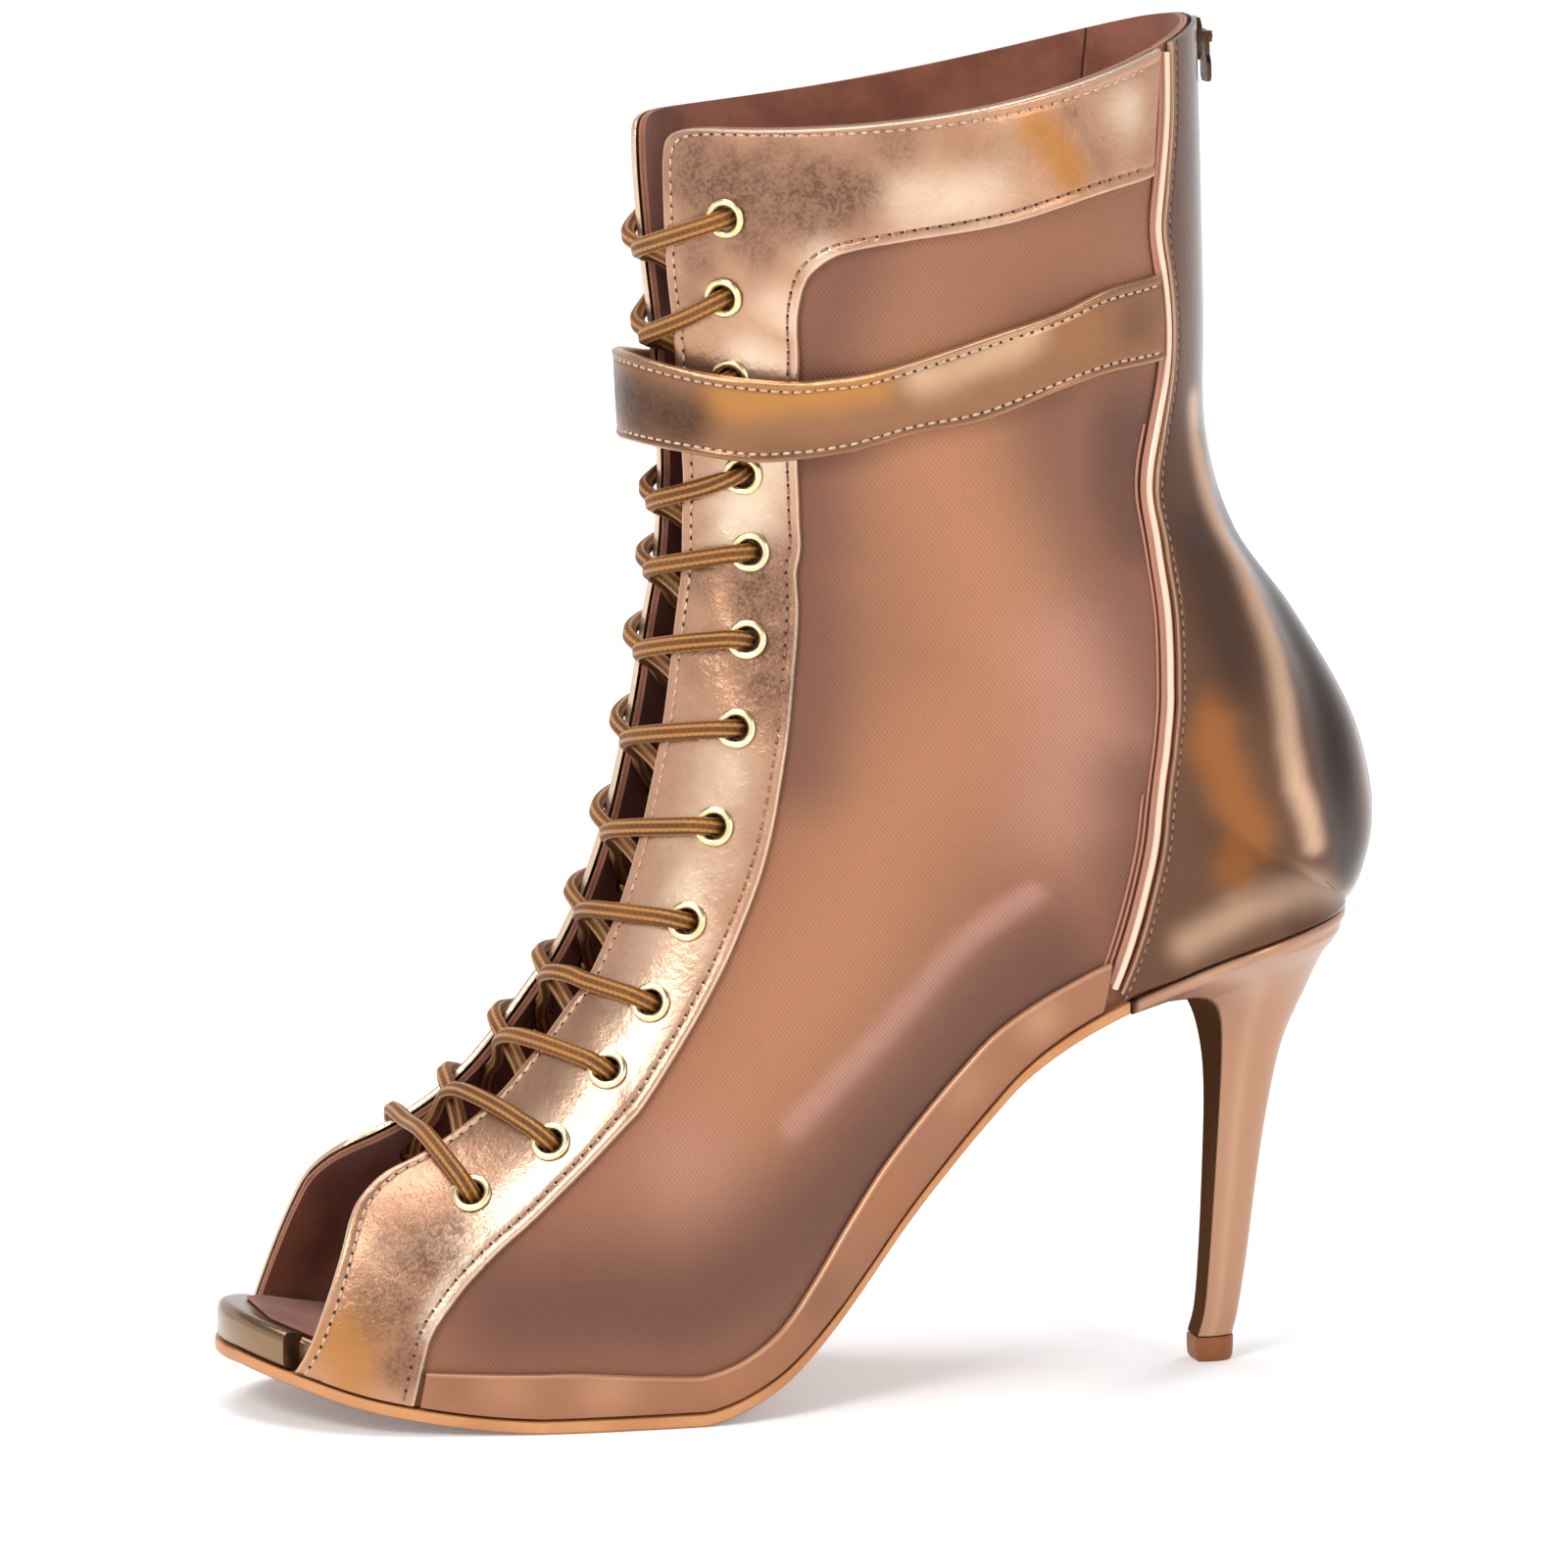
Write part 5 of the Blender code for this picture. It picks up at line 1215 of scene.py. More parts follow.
# %% [markdown]
# The finishes
#
# A maker would order foiled leather, mesh, lining, sole leather, brass, lace braid and zip tape. One
# material with many switches could serve them all, but one for each, named like that, is easier to read and
# to swap.

# %% Foiled leather
# the facing's main skin, its rubbed dark, its painted highlight and its painted warm reflection
ROSE_GOLD = (192, 146, 116)
DEEP_BROWN = (108, 76, 56)
CREAM_HIGHLIGHT = (242, 218, 190)
AMBER_REFLECTION = (182, 122, 62)


def foil(name, colours, roughness, metallic=0.8, speckle=0.0, bump=0.00006, crinkle=0.1, coat=0.15):
    """Foiled leather. The colours are its main skin; its darker, rubbed skin, which also stands for painted
    shade on the heel's breast and a painted dark reflection on the counter; a painted highlight; and a
    painted warm reflection.
    """
    made, graph, inputs = finish(name, metallic=metallic, Coat_Weight=coat, Coat_Roughness=0.25)
    tone = graph.value("tone")
    # painted highlight: pale within about a millimetre of each folded cut edge
    edge = graph.between(graph.parts(graph.value("place"))["Z"], 0.0009, 0.00015)
    grain_crinkle = graph.plus(graph.times(graph.parts(tone)["X"], 0.9 * speckle), crinkle * 0.3)
    grain = placed(graph, "leather_grain", Scale=1.0, Crinkle=grain_crinkle)
    base, deep, pale, amber = (paint(*one) for one in colours)
    wear_and_light = placed(graph, "foil_wear_and_painted_light", Base=base, Deep=deep, Pale=pale, Amber=amber, Tone=tone,
                  Fleck=grain["Fleck"], Broad=grain["Broad"], Edge=edge, Speckle=speckle)
    rough = graph.plus(graph.times(wear_and_light["WearAndPaintedDark"], 0.2 * speckle), roughness)
    rough = graph.plus(rough, graph.times(grain["Broad"], 0.08))
    surfaced(graph, inputs, wear_and_light["Color"], grain["Height"], bump, rough)
    return made


# each foil's colours: main skin, rubbed dark, painted highlight, painted warm reflection
facing_foil = foil("facing_foil", (ROSE_GOLD, DEEP_BROWN, CREAM_HIGHLIGHT, AMBER_REFLECTION), 0.26,
                   speckle=1.0, bump=0.00018, crinkle=0.35)
strap_foil = foil("strap_foil", ((146, 102, 72), (70, 46, 32), (222, 184, 146), (182, 124, 60)), 0.24,
                  speckle=0.5, bump=0.00012, crinkle=0.2)
# the counter's dark main skin is partly a painted dark reflection
counter_foil = foil("counter_foil", ((94, 60, 38), (40, 26, 17), (212, 172, 140), (148, 88, 34)), 0.2,
                    speckle=0.12, coat=0.35)
rand_foil = foil("rand_foil", ((160, 108, 78), (88, 54, 36), (206, 156, 120), (176, 110, 60)), 0.34,
                 metallic=0.6, speckle=0.2)
heel_foil = foil("heel_foil", ((176, 132, 104), (66, 42, 32), (228, 190, 160), (176, 118, 66)), 0.28,
                 speckle=0.05, bump=0.00003)
platform_foil = foil("platform_foil", ((140, 112, 84), (60, 44, 32), (240, 226, 200), (150, 108, 64)),
                     0.2, metallic=0.88, speckle=0.2)
piping_foil = foil("piping_foil", ((216, 174, 148), (150, 104, 86), (244, 216, 192), (196, 130, 92)),
                   0.28, metallic=0.5, bump=0.00003)
fold_foil = foil("fold_foil", ((150, 94, 74), (100, 60, 48), (186, 130, 106), (160, 100, 72)), 0.38,
                 metallic=0.4, bump=0.00003)
print("foiled leathers made")

# %% Mesh, lining and sole
mesh_finish, graph, inputs = finish("side_mesh", roughness=0.78, Sheen_Weight=0.25, Sheen_Roughness=0.5)
tone = graph.parts(graph.value("tone"))
hatch = placed(graph, "mesh_hatch", Pitch=0.00085)
cloudy = graph.noise(graph.spot(), 14.0, 1.0, 0.5)
colour = graph.shades(cloudy, (160, 104, 74), (170, 114, 84), 0.38, 0.66)
# the tone's tan is painted light, its rosy a painted highlight and its dark a painted shade
for axis, shade in (("Z", (196, 134, 94)), ("Y", (208, 150, 128)), ("X", (92, 54, 42))):
    colour = graph.mix(graph.between(tone[axis], 0.0, 1.0), colour, paint(*shade))
colour = graph.tinted(graph.minus(1.0, hatch["Height"]), 0.2, colour, (84, 50, 40))
graph.feed(inputs["Alpha"], graph.plus(graph.times(hatch["Height"], 0.1), 0.86))
surfaced(graph, inputs, colour, hatch["Height"], 0.00012)

lining_finish, graph, inputs = finish("lining", roughness=0.62, Sheen_Weight=0.15)
spot = graph.spot()
cloudy = graph.noise(spot, 60.0, 3.0, 0.6)
fibre = graph.noise(spot, 900.0, 3.0, 0.6)
colour = graph.shades(cloudy, (126, 68, 46), (158, 94, 68))
colour = graph.tinted(fibre, 0.3, colour, (88, 48, 32))
surfaced(graph, inputs, colour, fibre, 0.0001)

sole_finish, graph, inputs = finish("sole_leather", roughness=0.55)
spot = graph.spot()
suede = graph.noise(spot, 1400.0, 4.0, 0.7)
cloudy = graph.noise(spot, 45.0, 3.0, 0.6)
height_part = graph.parts(graph.make("ShaderNodeNewGeometry").outputs["Normal"])["Z"]
under = graph.between(height_part, -0.35, -0.8)
colour = graph.shades(cloudy, (214, 150, 96), (196, 130, 78))
colour = graph.mix(under, colour, paint(150, 112, 80))
colour = graph.tinted(suede, 0.3, colour, (110, 66, 36))
surfaced(graph, inputs, colour, suede, 0.00012,
         graph.between(under, 0.0, 1.0, 0.42, 0.92))

rubber_finish, graph, inputs = finish("heel_rubber", roughness=0.5)
spot = graph.spot()
speck = graph.noise(spot, 1200.0, 2.0, 0.6)
colour = graph.tinted(speck, 0.6, paint(150, 84, 26), (84, 44, 16))
surfaced(graph, inputs, colour, speck, 0.00008,
         graph.between(speck, 0.3, 0.7, 0.42, 0.62))
print("mesh, lining, sole and rubber made")

# %% Brass, braid, thread and zip
brass_finish, graph, inputs = finish("brass", metallic=1.0)
spot = graph.spot()
rub = graph.noise(spot, 420.0, 3.0, 0.6)
worn_place = graph.parts(graph.value("place"))["Z"]
crown = graph.between(worn_place, 0.0014, 0.0021)
colour = graph.shades(rub, (246, 238, 196), (230, 214, 158))
colour = graph.mix(crown, paint(150, 122, 62), colour)
surfaced(graph, inputs, colour, rub, 0.00003,
         graph.between(rub, 0.3, 0.7, 0.2, 0.34))

lace_finish, graph, inputs = finish("lace_braid", Sheen_Weight=0.03, Specular_IOR_Level=0.3)
place = graph.value("place")
braid = placed(graph, "round_braid", Place=place, Pitch=0.0013, Strands=4.0)
turn = graph.parts(place)["Y"]
rib = graph.plus(graph.times(graph.math("COSINE", graph.times(turn, 37.699)), 0.5), 0.5)
spot = graph.spot()
fuzz = graph.noise(spot, 1800.0, 3.0, 0.6)
patchy = graph.noise(spot, 70.0, 2.0, 0.5)
colour = graph.shades(patchy, (126, 77, 30), (104, 61, 22))
# lighter on each rib's crown as a painted highlight, darker in the braid's grooves as painted shade
colour = graph.mix(graph.between(rib, 0.35, 0.95), colour, paint(190, 132, 66))
colour = graph.tinted(braid["Groove"], 0.3, colour, (70, 40, 14))
colour = graph.tinted(fuzz, 0.22, colour, (88, 54, 24))
woven = graph.times(braid["Height"], 0.45)
surfaced(graph, inputs, colour, graph.plus(woven, graph.times(fuzz, 0.3)), 0.0002,
         graph.between(rib, 0.0, 1.0, 0.62, 0.42))


def plain_cloth(name, main, other, roughness=0.6, scale=2600.0, bump=0.00005):
    made, graph, inputs = finish(name, roughness=roughness, Sheen_Weight=0.2)
    grain = graph.noise(graph.spot(), scale, 3.0, 0.6)
    surfaced(graph, inputs, graph.shades(grain, main, other), grain, bump)
    return made


pale_thread = plain_cloth("pale_thread", (222, 192, 164), (176, 136, 108))
rose_thread = plain_cloth("rose_thread", (176, 116, 92), (126, 76, 58))
# a dark bead set at each needle hole as painted shade
needle_hole_shade = plain_cloth("needle_hole_shade", (44, 26, 18), (30, 18, 12), 0.8, bump=0.00002)
tape_finish = plain_cloth("zip_tape", (96, 66, 48), (72, 48, 34), 0.8, 1500.0, 0.00008)
tape_metal, graph, inputs = finish("zip_metal", metallic=1.0)
rub = graph.noise(graph.spot(), 600.0, 3.0, 0.6)
surfaced(graph, inputs, graph.shades(rub, (92, 68, 50), (58, 41, 31)), rub, 0.00003,
         graph.between(rub, 0.3, 0.7, 0.26, 0.4))
# the heel's breast face in dark brown: painted shade
breast_painted_shade, graph, inputs = finish("breast_painted_shade", roughness=0.7, Specular_IOR_Level=0.0)
grain = graph.noise(graph.spot(), 700.0, 3.0, 0.6)
surfaced(graph, inputs, graph.mix(grain, paint(92, 62, 42), paint(72, 48, 32)), grain, 0.00004)
print("small finishes made")

# %% [markdown]
# The wall of mesh
#
# The mesh is one cut piece a side, drawn tight between facing, counter and sole. A plain sheet would do for
# a picture, but it isn't closed, so it has two faces half a millimetre apart.

# %% Mesh sides
SIDES = ((-1, "medial"), (1, "lateral"))
CORNER = HEEL_STATION - np.array([0.06, 0.05, 0.04, 0.03, 0.02, 0.01, 0.004])
WALL_STATIONS = np.union1d(np.round(np.linspace(0, LAST_STATION, 181), 4), CORNER)
WALL_COLUMNS = np.unique(np.concatenate([np.linspace(0, 1, 64), [0.985, 0.993]]))
MESH_TONES = (
    # streaks: reach in millimetres; dark as painted shade along the facing, back seam and sole, rosy as a
    # painted highlight, tan as painted light on the middle of the side; station and girth along the line
    *streak(11, (0.55, 0, 0), (17.6, 0.34), (15.4, 0.26), (13.0, 0.2), (10.6, 0.21), (9.0, 0.29),
            (7.6, 0.38)),
    *streak(15, (0.75, 0, 0), (16.6, 0.74), (15.4, 0.7)),
    *streak(14, (0.5, 0, 0), (17.2, 0.62), (15.6, 0.6), (14.4, 0.6), (12.6, 0.64)),
    *streak(14, (0.6, 0, 0), (10.6, 0.68), (9.4, 0.8), (8.8, 0.9)),
    *streak(17, (0.7, 0, 0), (8.0, 0.88), (6.6, 0.86), (5.4, 0.82), (4.0, 0.8), (2.9, 0.76), (2.2, 0.74)),
    *streak(20, (0, 0, 0.6), (15.0, 0.42), (12.2, 0.42), (9.4, 0.5), (7.2, 0.57), (5.6, 0.58)),
    *streak(16, (0, 0.55, 0), (12.4, 0.52), (11.0, 0.56), (9.6, 0.66)), (4.6, 0.58, 14, 0, 0.45, 0.2),
    # a painted highlight along the raised crease
    *streak(3.0, (0, 0.95, 0), (8.4, 0.762), (7.95, 0.758), (7.25, 0.75), (6.5, 0.719), (5.75, 0.682)),
)


def wall_patch(side, outer, inner):
    start = wall_edge(WALL_STATIONS)[:, None]
    girths = start + (1 - start) * WALL_COLUMNS
    stations = np.broadcast_to(WALL_STATIONS[:, None], girths.shape)
    base = form(stations, girths, side)
    lift = creased(base, side)
    place = np.stack([base[..., 0], base[..., 2], np.full(girths.shape, NO_EDGE)], axis=-1)
    skins = [form(stations, girths, side, height + lift) for height in (outer, inner)]
    return patch_of(skins[0], skins[1], place, toned(base, side, MESH_TONES), flip=side > 0)


def eyelet_frame(row, side):
    """Middle of an eyelet on the form, and the way it faces."""
    station, girth = EYELETS["station"][row], EYELETS["girth"][row]
    return form(station, girth, side), form_normal(station, girth, side)


def drills(radius):
    """Round tools through every eyelet."""
    tubes = []
    for side, _ in SIDES:
        for row in EYELET_ROWS:
            middle, out = eyelet_frame(row, side)
            path = [middle - out * 0.0045, middle, middle + out * 0.0045]
            up = np.cross(out, (0.0, 0.0, 1.0))
            tubes.append(tube(path, np.tile(up, (3, 1)), oval(radius, radius, 24)))
    return gathered("drills", tubes)


wall = closed_skin("mesh_wall", [wall_patch(side, 0.0, -0.0005) for side, _ in SIDES])
wall = cut(wall, drills(0.0028))
mesh_wall = put("mesh_wall", wall, mesh_finish)
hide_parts("upper")
print("mesh wall:", len(wall.polygons), "faces")

# %% [markdown]
# Facings
#
# A facing is one L-shaped piece a side: it starts at the sole beside the open toe, carries thirteen eyelets
# up the shaft and turns back as a band under the collar. It could be a colour on the wall, but real facings
# are laid on, so it is a skin with folded, rounded edges and a stitch row sunk in beside each.

# %% Facing skins
FACING_ROWS = 430
FACING_TONES = (
    # station, girth, reach in millimetres, dark (rubbed, crinkled foil), pale (painted highlight and
    # sheen), amber (painted warm reflection); or a streak as for the mesh
    *streak(10, (0.9, 0, 0), (18.5, 0.15), (18.15, 0.245), (18.4, 0.33)), (18.8, 0.24, 9, 0.75, 0, 0),
    (17.3, 0.2, 8, 0.75, 0, 0), (16.6, 0.125, 7, 0.75, 0, 0), (15.9, 0.1, 6, 0.5, 0, 0),
    (16.2, 0.235, 6, 0, 0.55, 0), (17.3, 0.3, 5, 0, 0.6, 0),
    *streak(8, (0, 0.7, 0), (14.8, 0.17), (13.2, 0.15), (11.9, 0.14), (11.0, 0.13)),
    (10.2, 0.19, 8, 0.65, 0, 0), (9.5, 0.19, 9, 0.95, 0, 0), (9.2, 0.13, 7, 0.6, 0, 0),
    (8.7, 0.24, 9, 0.85, 0, 0), (8.2, 0.28, 8, 0.85, 0, 0), (7.7, 0.17, 6, 0.55, 0, 0),
    (7.9, 0.31, 7, 0.7, 0, 0),
    *streak(9, (0, 0.5, 0), (6.9, 0.26), (6.1, 0.27), (5.3, 0.29), (4.4, 0.31), (3.3, 0.38), (2.5, 0.47),
            (1.7, 0.56)),
    (1.35, 0.5, 8, 0.65, 0, 0), (1.0, 0.58, 10, 0.95, 0, 0), (0.75, 0.7, 9, 0.85, 0, 0.15),
    (0.4, 0.86, 9, 0, 0.1, 0.9), (0.55, 0.93, 8, 0, 0, 0.8), (1.05, 0.78, 5, 0.75, 0.0, 0.3),
    *streak(2.6, (0, 0.9, 0), (1.24, 0.78), (1.36, 0.68), (1.62, 0.61)), (1.05, 0.9, 6, 0.8, 0, 0),
    *streak(7, (0, 0.6, 0), (18.4, 0.42), (18.5, 0.48), (18.7, 0.53)), (19.3, 0.4, 8, 0.55, 0, 0.2),
    *streak(7, (0.45, 0, 0.3), (19.4, 0.5), (18.9, 0.55)),
    *streak(5, (0.15, 0, 0.85), (19.5, 0.6), (18.9, 0.65)),
    *streak(4, (0.55, 0, 0.3), (19.6, 0.65), (18.95, 0.7)), (19.5, 0.74, 6, 0, 0.6, 0),
    (19.1, 0.79, 6, 0.3, 0, 0.3),
)
FOLD_HEIGHT = 0.00016
STITCH_INSET, STITCH_REACH = 0.0022, 0.00035     # in from the cut edge; half width of its groove


def covering(stations, girths, side, across, edge, high, low, tones, crease=1.0):
    """A patch over the form from a low to a high face, with its share of the creases."""
    base = form(stations, girths, side)
    lift = creased(base, side) * crease
    skins = [form(stations, girths, side, one + lift) for one in (high, low)]
    return patch_of(*skins, placed_on(base, across, edge), toned(base, side, tones), flip=side > 0)


def facing_lines(side, count=FACING_ROWS):
    """The facing's two long edges, row by row, ending at the back seam."""
    before = SEAM_CORD + 2 * GAP
    lines = []
    for names, end in ((("out_station", "out_girth"), 20.0), (("in_station", "in_girth"), 18.85)):
        stations, girths = EYESTAY[names[0]], EYESTAY[names[1]]
        last = seam_girth(np.array(stations[-1]), side, before)
        stations = np.append(stations, end)
        girths = np.append(girths, last)
        at = np.linspace(0, len(stations) - 1, count)
        lines.append([smooth(np.arange(len(stations)), values, at) for values in (stations, girths)])
    return lines


def leather_height(edge, groove=STITCH_INSET):
    """Height of folded leather by distance from its cut edge."""
    fold = FOLD_HEIGHT * bell(edge - 0.0009, 0.0007)
    sunk = 0.0002 * bell(edge - groove, STITCH_REACH)
    return LEATHER * rounded(edge, 0.00055) + fold - sunk


def facing_patch(side, low, outer_height, rows_wanted=FACING_ROWS, fill=9):
    stations, girths, across, width = spread(*facing_lines(side, rows_wanted), side, fill)
    edge = np.minimum(across, width - across)
    return covering(stations, np.minimum(girths, 1.0), side, across, edge, low + outer_height(edge), low,
                    FACING_TONES)


for side, word in SIDES:
    skin = closed_skin(f"facing_{word}", [facing_patch(side, ON_WALL, leather_height)])
    skin = cut(skin, drills(0.0029))
    facing = put(f"facing_{word}", skin, facing_foil)
    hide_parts(f"eyestay_{word}")
    print(facing.name, len(skin.polygons), "faces")

# %% [markdown]
# Linings
#
# Behind the facings and the counter the wall is lined with smooth leather, seen through the open toe,
# between the laces and inside the collar. A second material on the wall could stand for it, but skins of
# its own give it a real edge.

# %% Lining skins
BACK_STATIONS = np.union1d(np.round(np.linspace(8.3, LAST_STATION, 150), 4), CORNER)


def back_patch(side, low, high, before, slot, fill=24, tones=()):
    """The panel between a line beside the back seam and the centre back or its slot."""
    start = seam_girth(BACK_STATIONS, side, before)
    opening = slot * np.sqrt(np.clip((BACK_STATIONS - (ZIP_START - 0.1)) / 0.35, 0, 1)) if slot else 0.0
    end = 1 - opening / half_girth(BACK_STATIONS, side)
    end = np.where(BACK_STATIONS < HEEL_STATION, 1.0, end)
    run = (end - start) * half_girth(BACK_STATIONS, side)
    rows_made = []
    for row, length in enumerate(run):
        at = packed(length, fill)
        rows_made.append([start[row] + (end[row] - start[row]) * at / length, at, np.full(len(at), length)])
    girths, across, width = np.array(rows_made).transpose(1, 0, 2)
    stations = np.broadcast_to(BACK_STATIONS[:, None], girths.shape)
    girths = np.minimum(girths, 1.0)
    base = form(stations, girths, side)
    crease = creased(base, side)
    free_back = (stations > ZIP_START - 0.1) & (slot > 0)
    edge = np.where(free_back, np.minimum(across, width - across), across)
    height = high(edge) if callable(high) else np.full(edge.shape, high)
    mix = near_corner(BACK_STATIONS) * ease(0.0, 0.02, width - across)[..., None]
    skins = [softened(form(stations, girths, side, one), BACK_STATIONS, mix)
             for one in (low + height + crease, low + crease)]
    return patch_of(*skins, placed_on(base, across, edge), toned(base, side, tones), flip=side > 0)


LINING = 0.0006
for side, word in SIDES:
    thin = facing_patch(side, -WALL, lambda edge: np.full(edge.shape, LINING), rows_wanted=170, fill=4)
    skin = cut(closed_skin(f"lining_{word}", [thin]), drills(0.0028))
    lining = put(f"lining_{word}", skin, lining_finish)
skin = closed_skin("lining_back", [
    back_patch(side, -WALL, LINING, 0.0012, 0.0, fill=10) for side, _ in SIDES])
lining_back = put("lining_back", skin, lining_finish)
print("linings made")

# %% [markdown]
# Counter and back strip
#
# Behind the two back seams sits one stiff piece: the counter round the heel, narrowing to a strip a side of
# the zip, in a browner, smoother foil whose dark brown is partly a painted dark reflection. It could be two
# halves, but one skin has no false seam under the zip.

# %% Back panel
COUNTER_TONES = (
    # streaks: reach in millimetres; dark as painted dark reflection, pale as painted highlight, amber as
    # painted warm reflection; station and girth along the line
    *streak(7, (0.35, 0, 0), (19.0, 0.9), (16.8, 0.93)),
    *streak(3.4, (0, 0.8, 0), (17.2, 0.89), (16.5, 0.875), (15.6, 0.852), (14.7, 0.822), (13.9, 0.802),
            (13.1, 0.796), (12.4, 0.805), (11.6, 0.85)),
    *streak(7, (0.85, 0, 0), (16.0, 0.955), (15.0, 0.925), (14.2, 0.9), (13.3, 0.885), (12.3, 0.89),
            (11.6, 0.93)),
    *streak(7, (0.55, 0, 0), (15.6, 0.79), (14.4, 0.745), (13.4, 0.73)),
    *streak(6, (0, 0, 0.85), (12.9, 0.7), (12.2, 0.69), (11.5, 0.73), (10.9, 0.79), (10.2, 0.85)),
    *streak(5, (0, 0.55, 0), (9.0, 0.945), (9.8, 0.925), (10.6, 0.935), (11.3, 0.97)),
)
slot_half = TAPE_HALF + GAP
beside = -(SEAM_CORD + 1.5 * GAP)
COUNTER_STITCH = 0.0015


def counter_height(edge):
    return leather_height(edge, COUNTER_STITCH)


skin = closed_skin("counter_and_back", [
    back_patch(side, ON_WALL + FACET, counter_height, beside, slot_half, tones=COUNTER_TONES)
    for side, _ in SIDES])
counter = put("counter_and_back", skin, counter_foil)
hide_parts("back_panel")
print("counter:", len(skin.polygons), "faces")

# %% [markdown]
# Piping
#
# A corded seam is leather folded round a cord and caught between two pieces, with one or two finer folds
# beside it. It could be a ridge in the leather, but a tube of its own stands clear and catches the light
# like the real bead.

# %% Piping and its folds
PIPING_STATIONS = np.union1d(np.linspace(8.27, LAST_STATION, 260), CORNER)


def seam_line(side, before, low, stop=LAST_STATION):
    stations = PIPING_STATIONS[PIPING_STATIONS <= stop]
    return on_leather(stations, seam_girth(stations, side, before), side, low)


for side, word in SIDES:
    line, normals = eased_path(*seam_line(side, 0.0, ON_WALL + 0.00085), reach=0.0022)
    skin = gathered(f"corded_seam_{word}", [tube(line, normals, oval(0.00068, 0.00068, 14))])
    add_values(skin, "tone", np.zeros((len(skin.vertices), 3)))
    seam = put(f"corded_seam_{word}", skin, piping_foil)
    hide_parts(f"piping_{word}")
    folds = []
    for before, low, wide, high, stop in ((0.0, 0.0006, 0.00135, 0.00055, LAST_STATION),
                                          (0.002, 0.00018, 0.0003, 0.0003, 16.9),
                                          (0.003, 0.00018, 0.00028, 0.00028, 10.6)):
        line, normals = eased_path(*seam_line(side, before, low, stop=stop), reach=0.0035)
        folds.append(tube(line, normals, oval(wide, high, 12)))
    skin = gathered(f"seam_folds_{word}", folds)
    add_values(skin, "tone", np.zeros((len(skin.vertices), 3)))
    fold = put(f"seam_folds_{word}", skin, fold_foil)
print("corded seams made")

# %% [markdown]
# Rand
#
# Above the sole a plain band of the same leather hides where the mesh is lasted under. A painted border
# would lie flat, so it is a thin skin whose folded top edge shows as a fine pale line, brightened by a
# painted highlight along that edge.

# %% Rand skins
# the pale and amber patches are painted highlights and warm reflections; two patches are darker
RAND_TONES = (
    (2.2, 0.93, 7, 0, 0.35, 0), (3.2, 0.94, 8, 0, 0.45, 0), (4.4, 0.94, 8, 0, 0.2, 0.3),
    (5.4, 0.94, 8, 0.35, 0, 0), (6.2, 0.93, 8, 0.15, 0, 0.5), (7.0, 0.92, 7, 0, 0.35, 0.2),
    (7.7, 0.94, 6, 0, 0.5, 0), (1.6, 0.93, 5, 0.3, 0, 0),
)
for side, word in SIDES:
    steps = np.linspace(0, 1, 170)
    at = RAND["low_station"][0] + (RAND["low_station"][-1] - RAND["low_station"][0]) * steps
    lean = (RAND["high_station"][-1] - RAND["low_station"][-1]) * steps ** 8
    heights = smooth(RAND["low_station"], RAND["height"], at) * HEEL_HEIGHT
    tops = 1 - heights / half_girth(at + lean, side)
    stations, girths, across, width = spread((at + lean, tops), (at, np.ones(len(at))), side, 4)
    high = LEATHER * rounded(across, 0.00045) + 0.00012 * bell(across - 0.0006, 0.0004)
    skin = closed_skin(f"lower_band_{word}", [covering(
        stations, girths, side, across, across, ON_WALL + high, ON_WALL, RAND_TONES, crease=0.4)])
    band = put(f"lower_band_{word}", skin, rand_foil)
    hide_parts(f"rand_{word}")
print("lower bands made")

# %% [markdown]
# Ankle strap
#
# The strap is a doubled strip sewn into both back seams. It could be bent along a curve, but it follows the
# boot behind and stands off it in front, over the laces, so it is a skin with its own height off the wall
# at each step.

# %% Strap
# darker at the front end; the amber and pale streaks are painted highlights along the strap
STRAP_TONES = (
    *streak(7, (0.85, 0, 0), (13.0, 0.0), (13.1, 0.04), (13.2, 0.075)),
    *streak(5, (0, 0, 0.8), (14.0, 0.13), (14.6, 0.2), (15.1, 0.27), (15.7, 0.34)),
    *streak(5, (0.35, 0, 0.2), (13.0, 0.14), (13.5, 0.2), (14.1, 0.27), (14.9, 0.38), (15.8, 0.5)),
    *streak(5, (0, 0.55, 0.1), (16.2, 0.42), (16.7, 0.5), (17.2, 0.58)), (17.4, 0.66, 6, 0.2, 0, 0.4),
    (17.7, 0.75, 7, 0.5, 0, 0.1),
)


def strap_lines(side, count=170):
    steps = np.arange(len(STRAP["lift"]))
    at = np.linspace(0, steps[-1], count)
    before = SEAM_CORD + 2.5 * GAP
    lines = []
    for edge in ("high", "low"):
        stations, girths = STRAP[edge + "_station"], STRAP[edge + "_girth"].copy()
        girths[-1] = seam_girth(stations[-1], side, before)
        lines.append([smooth(steps, stations, at), smooth(steps, girths, at)])
    return lines, smooth(steps, STRAP["lift"], at)


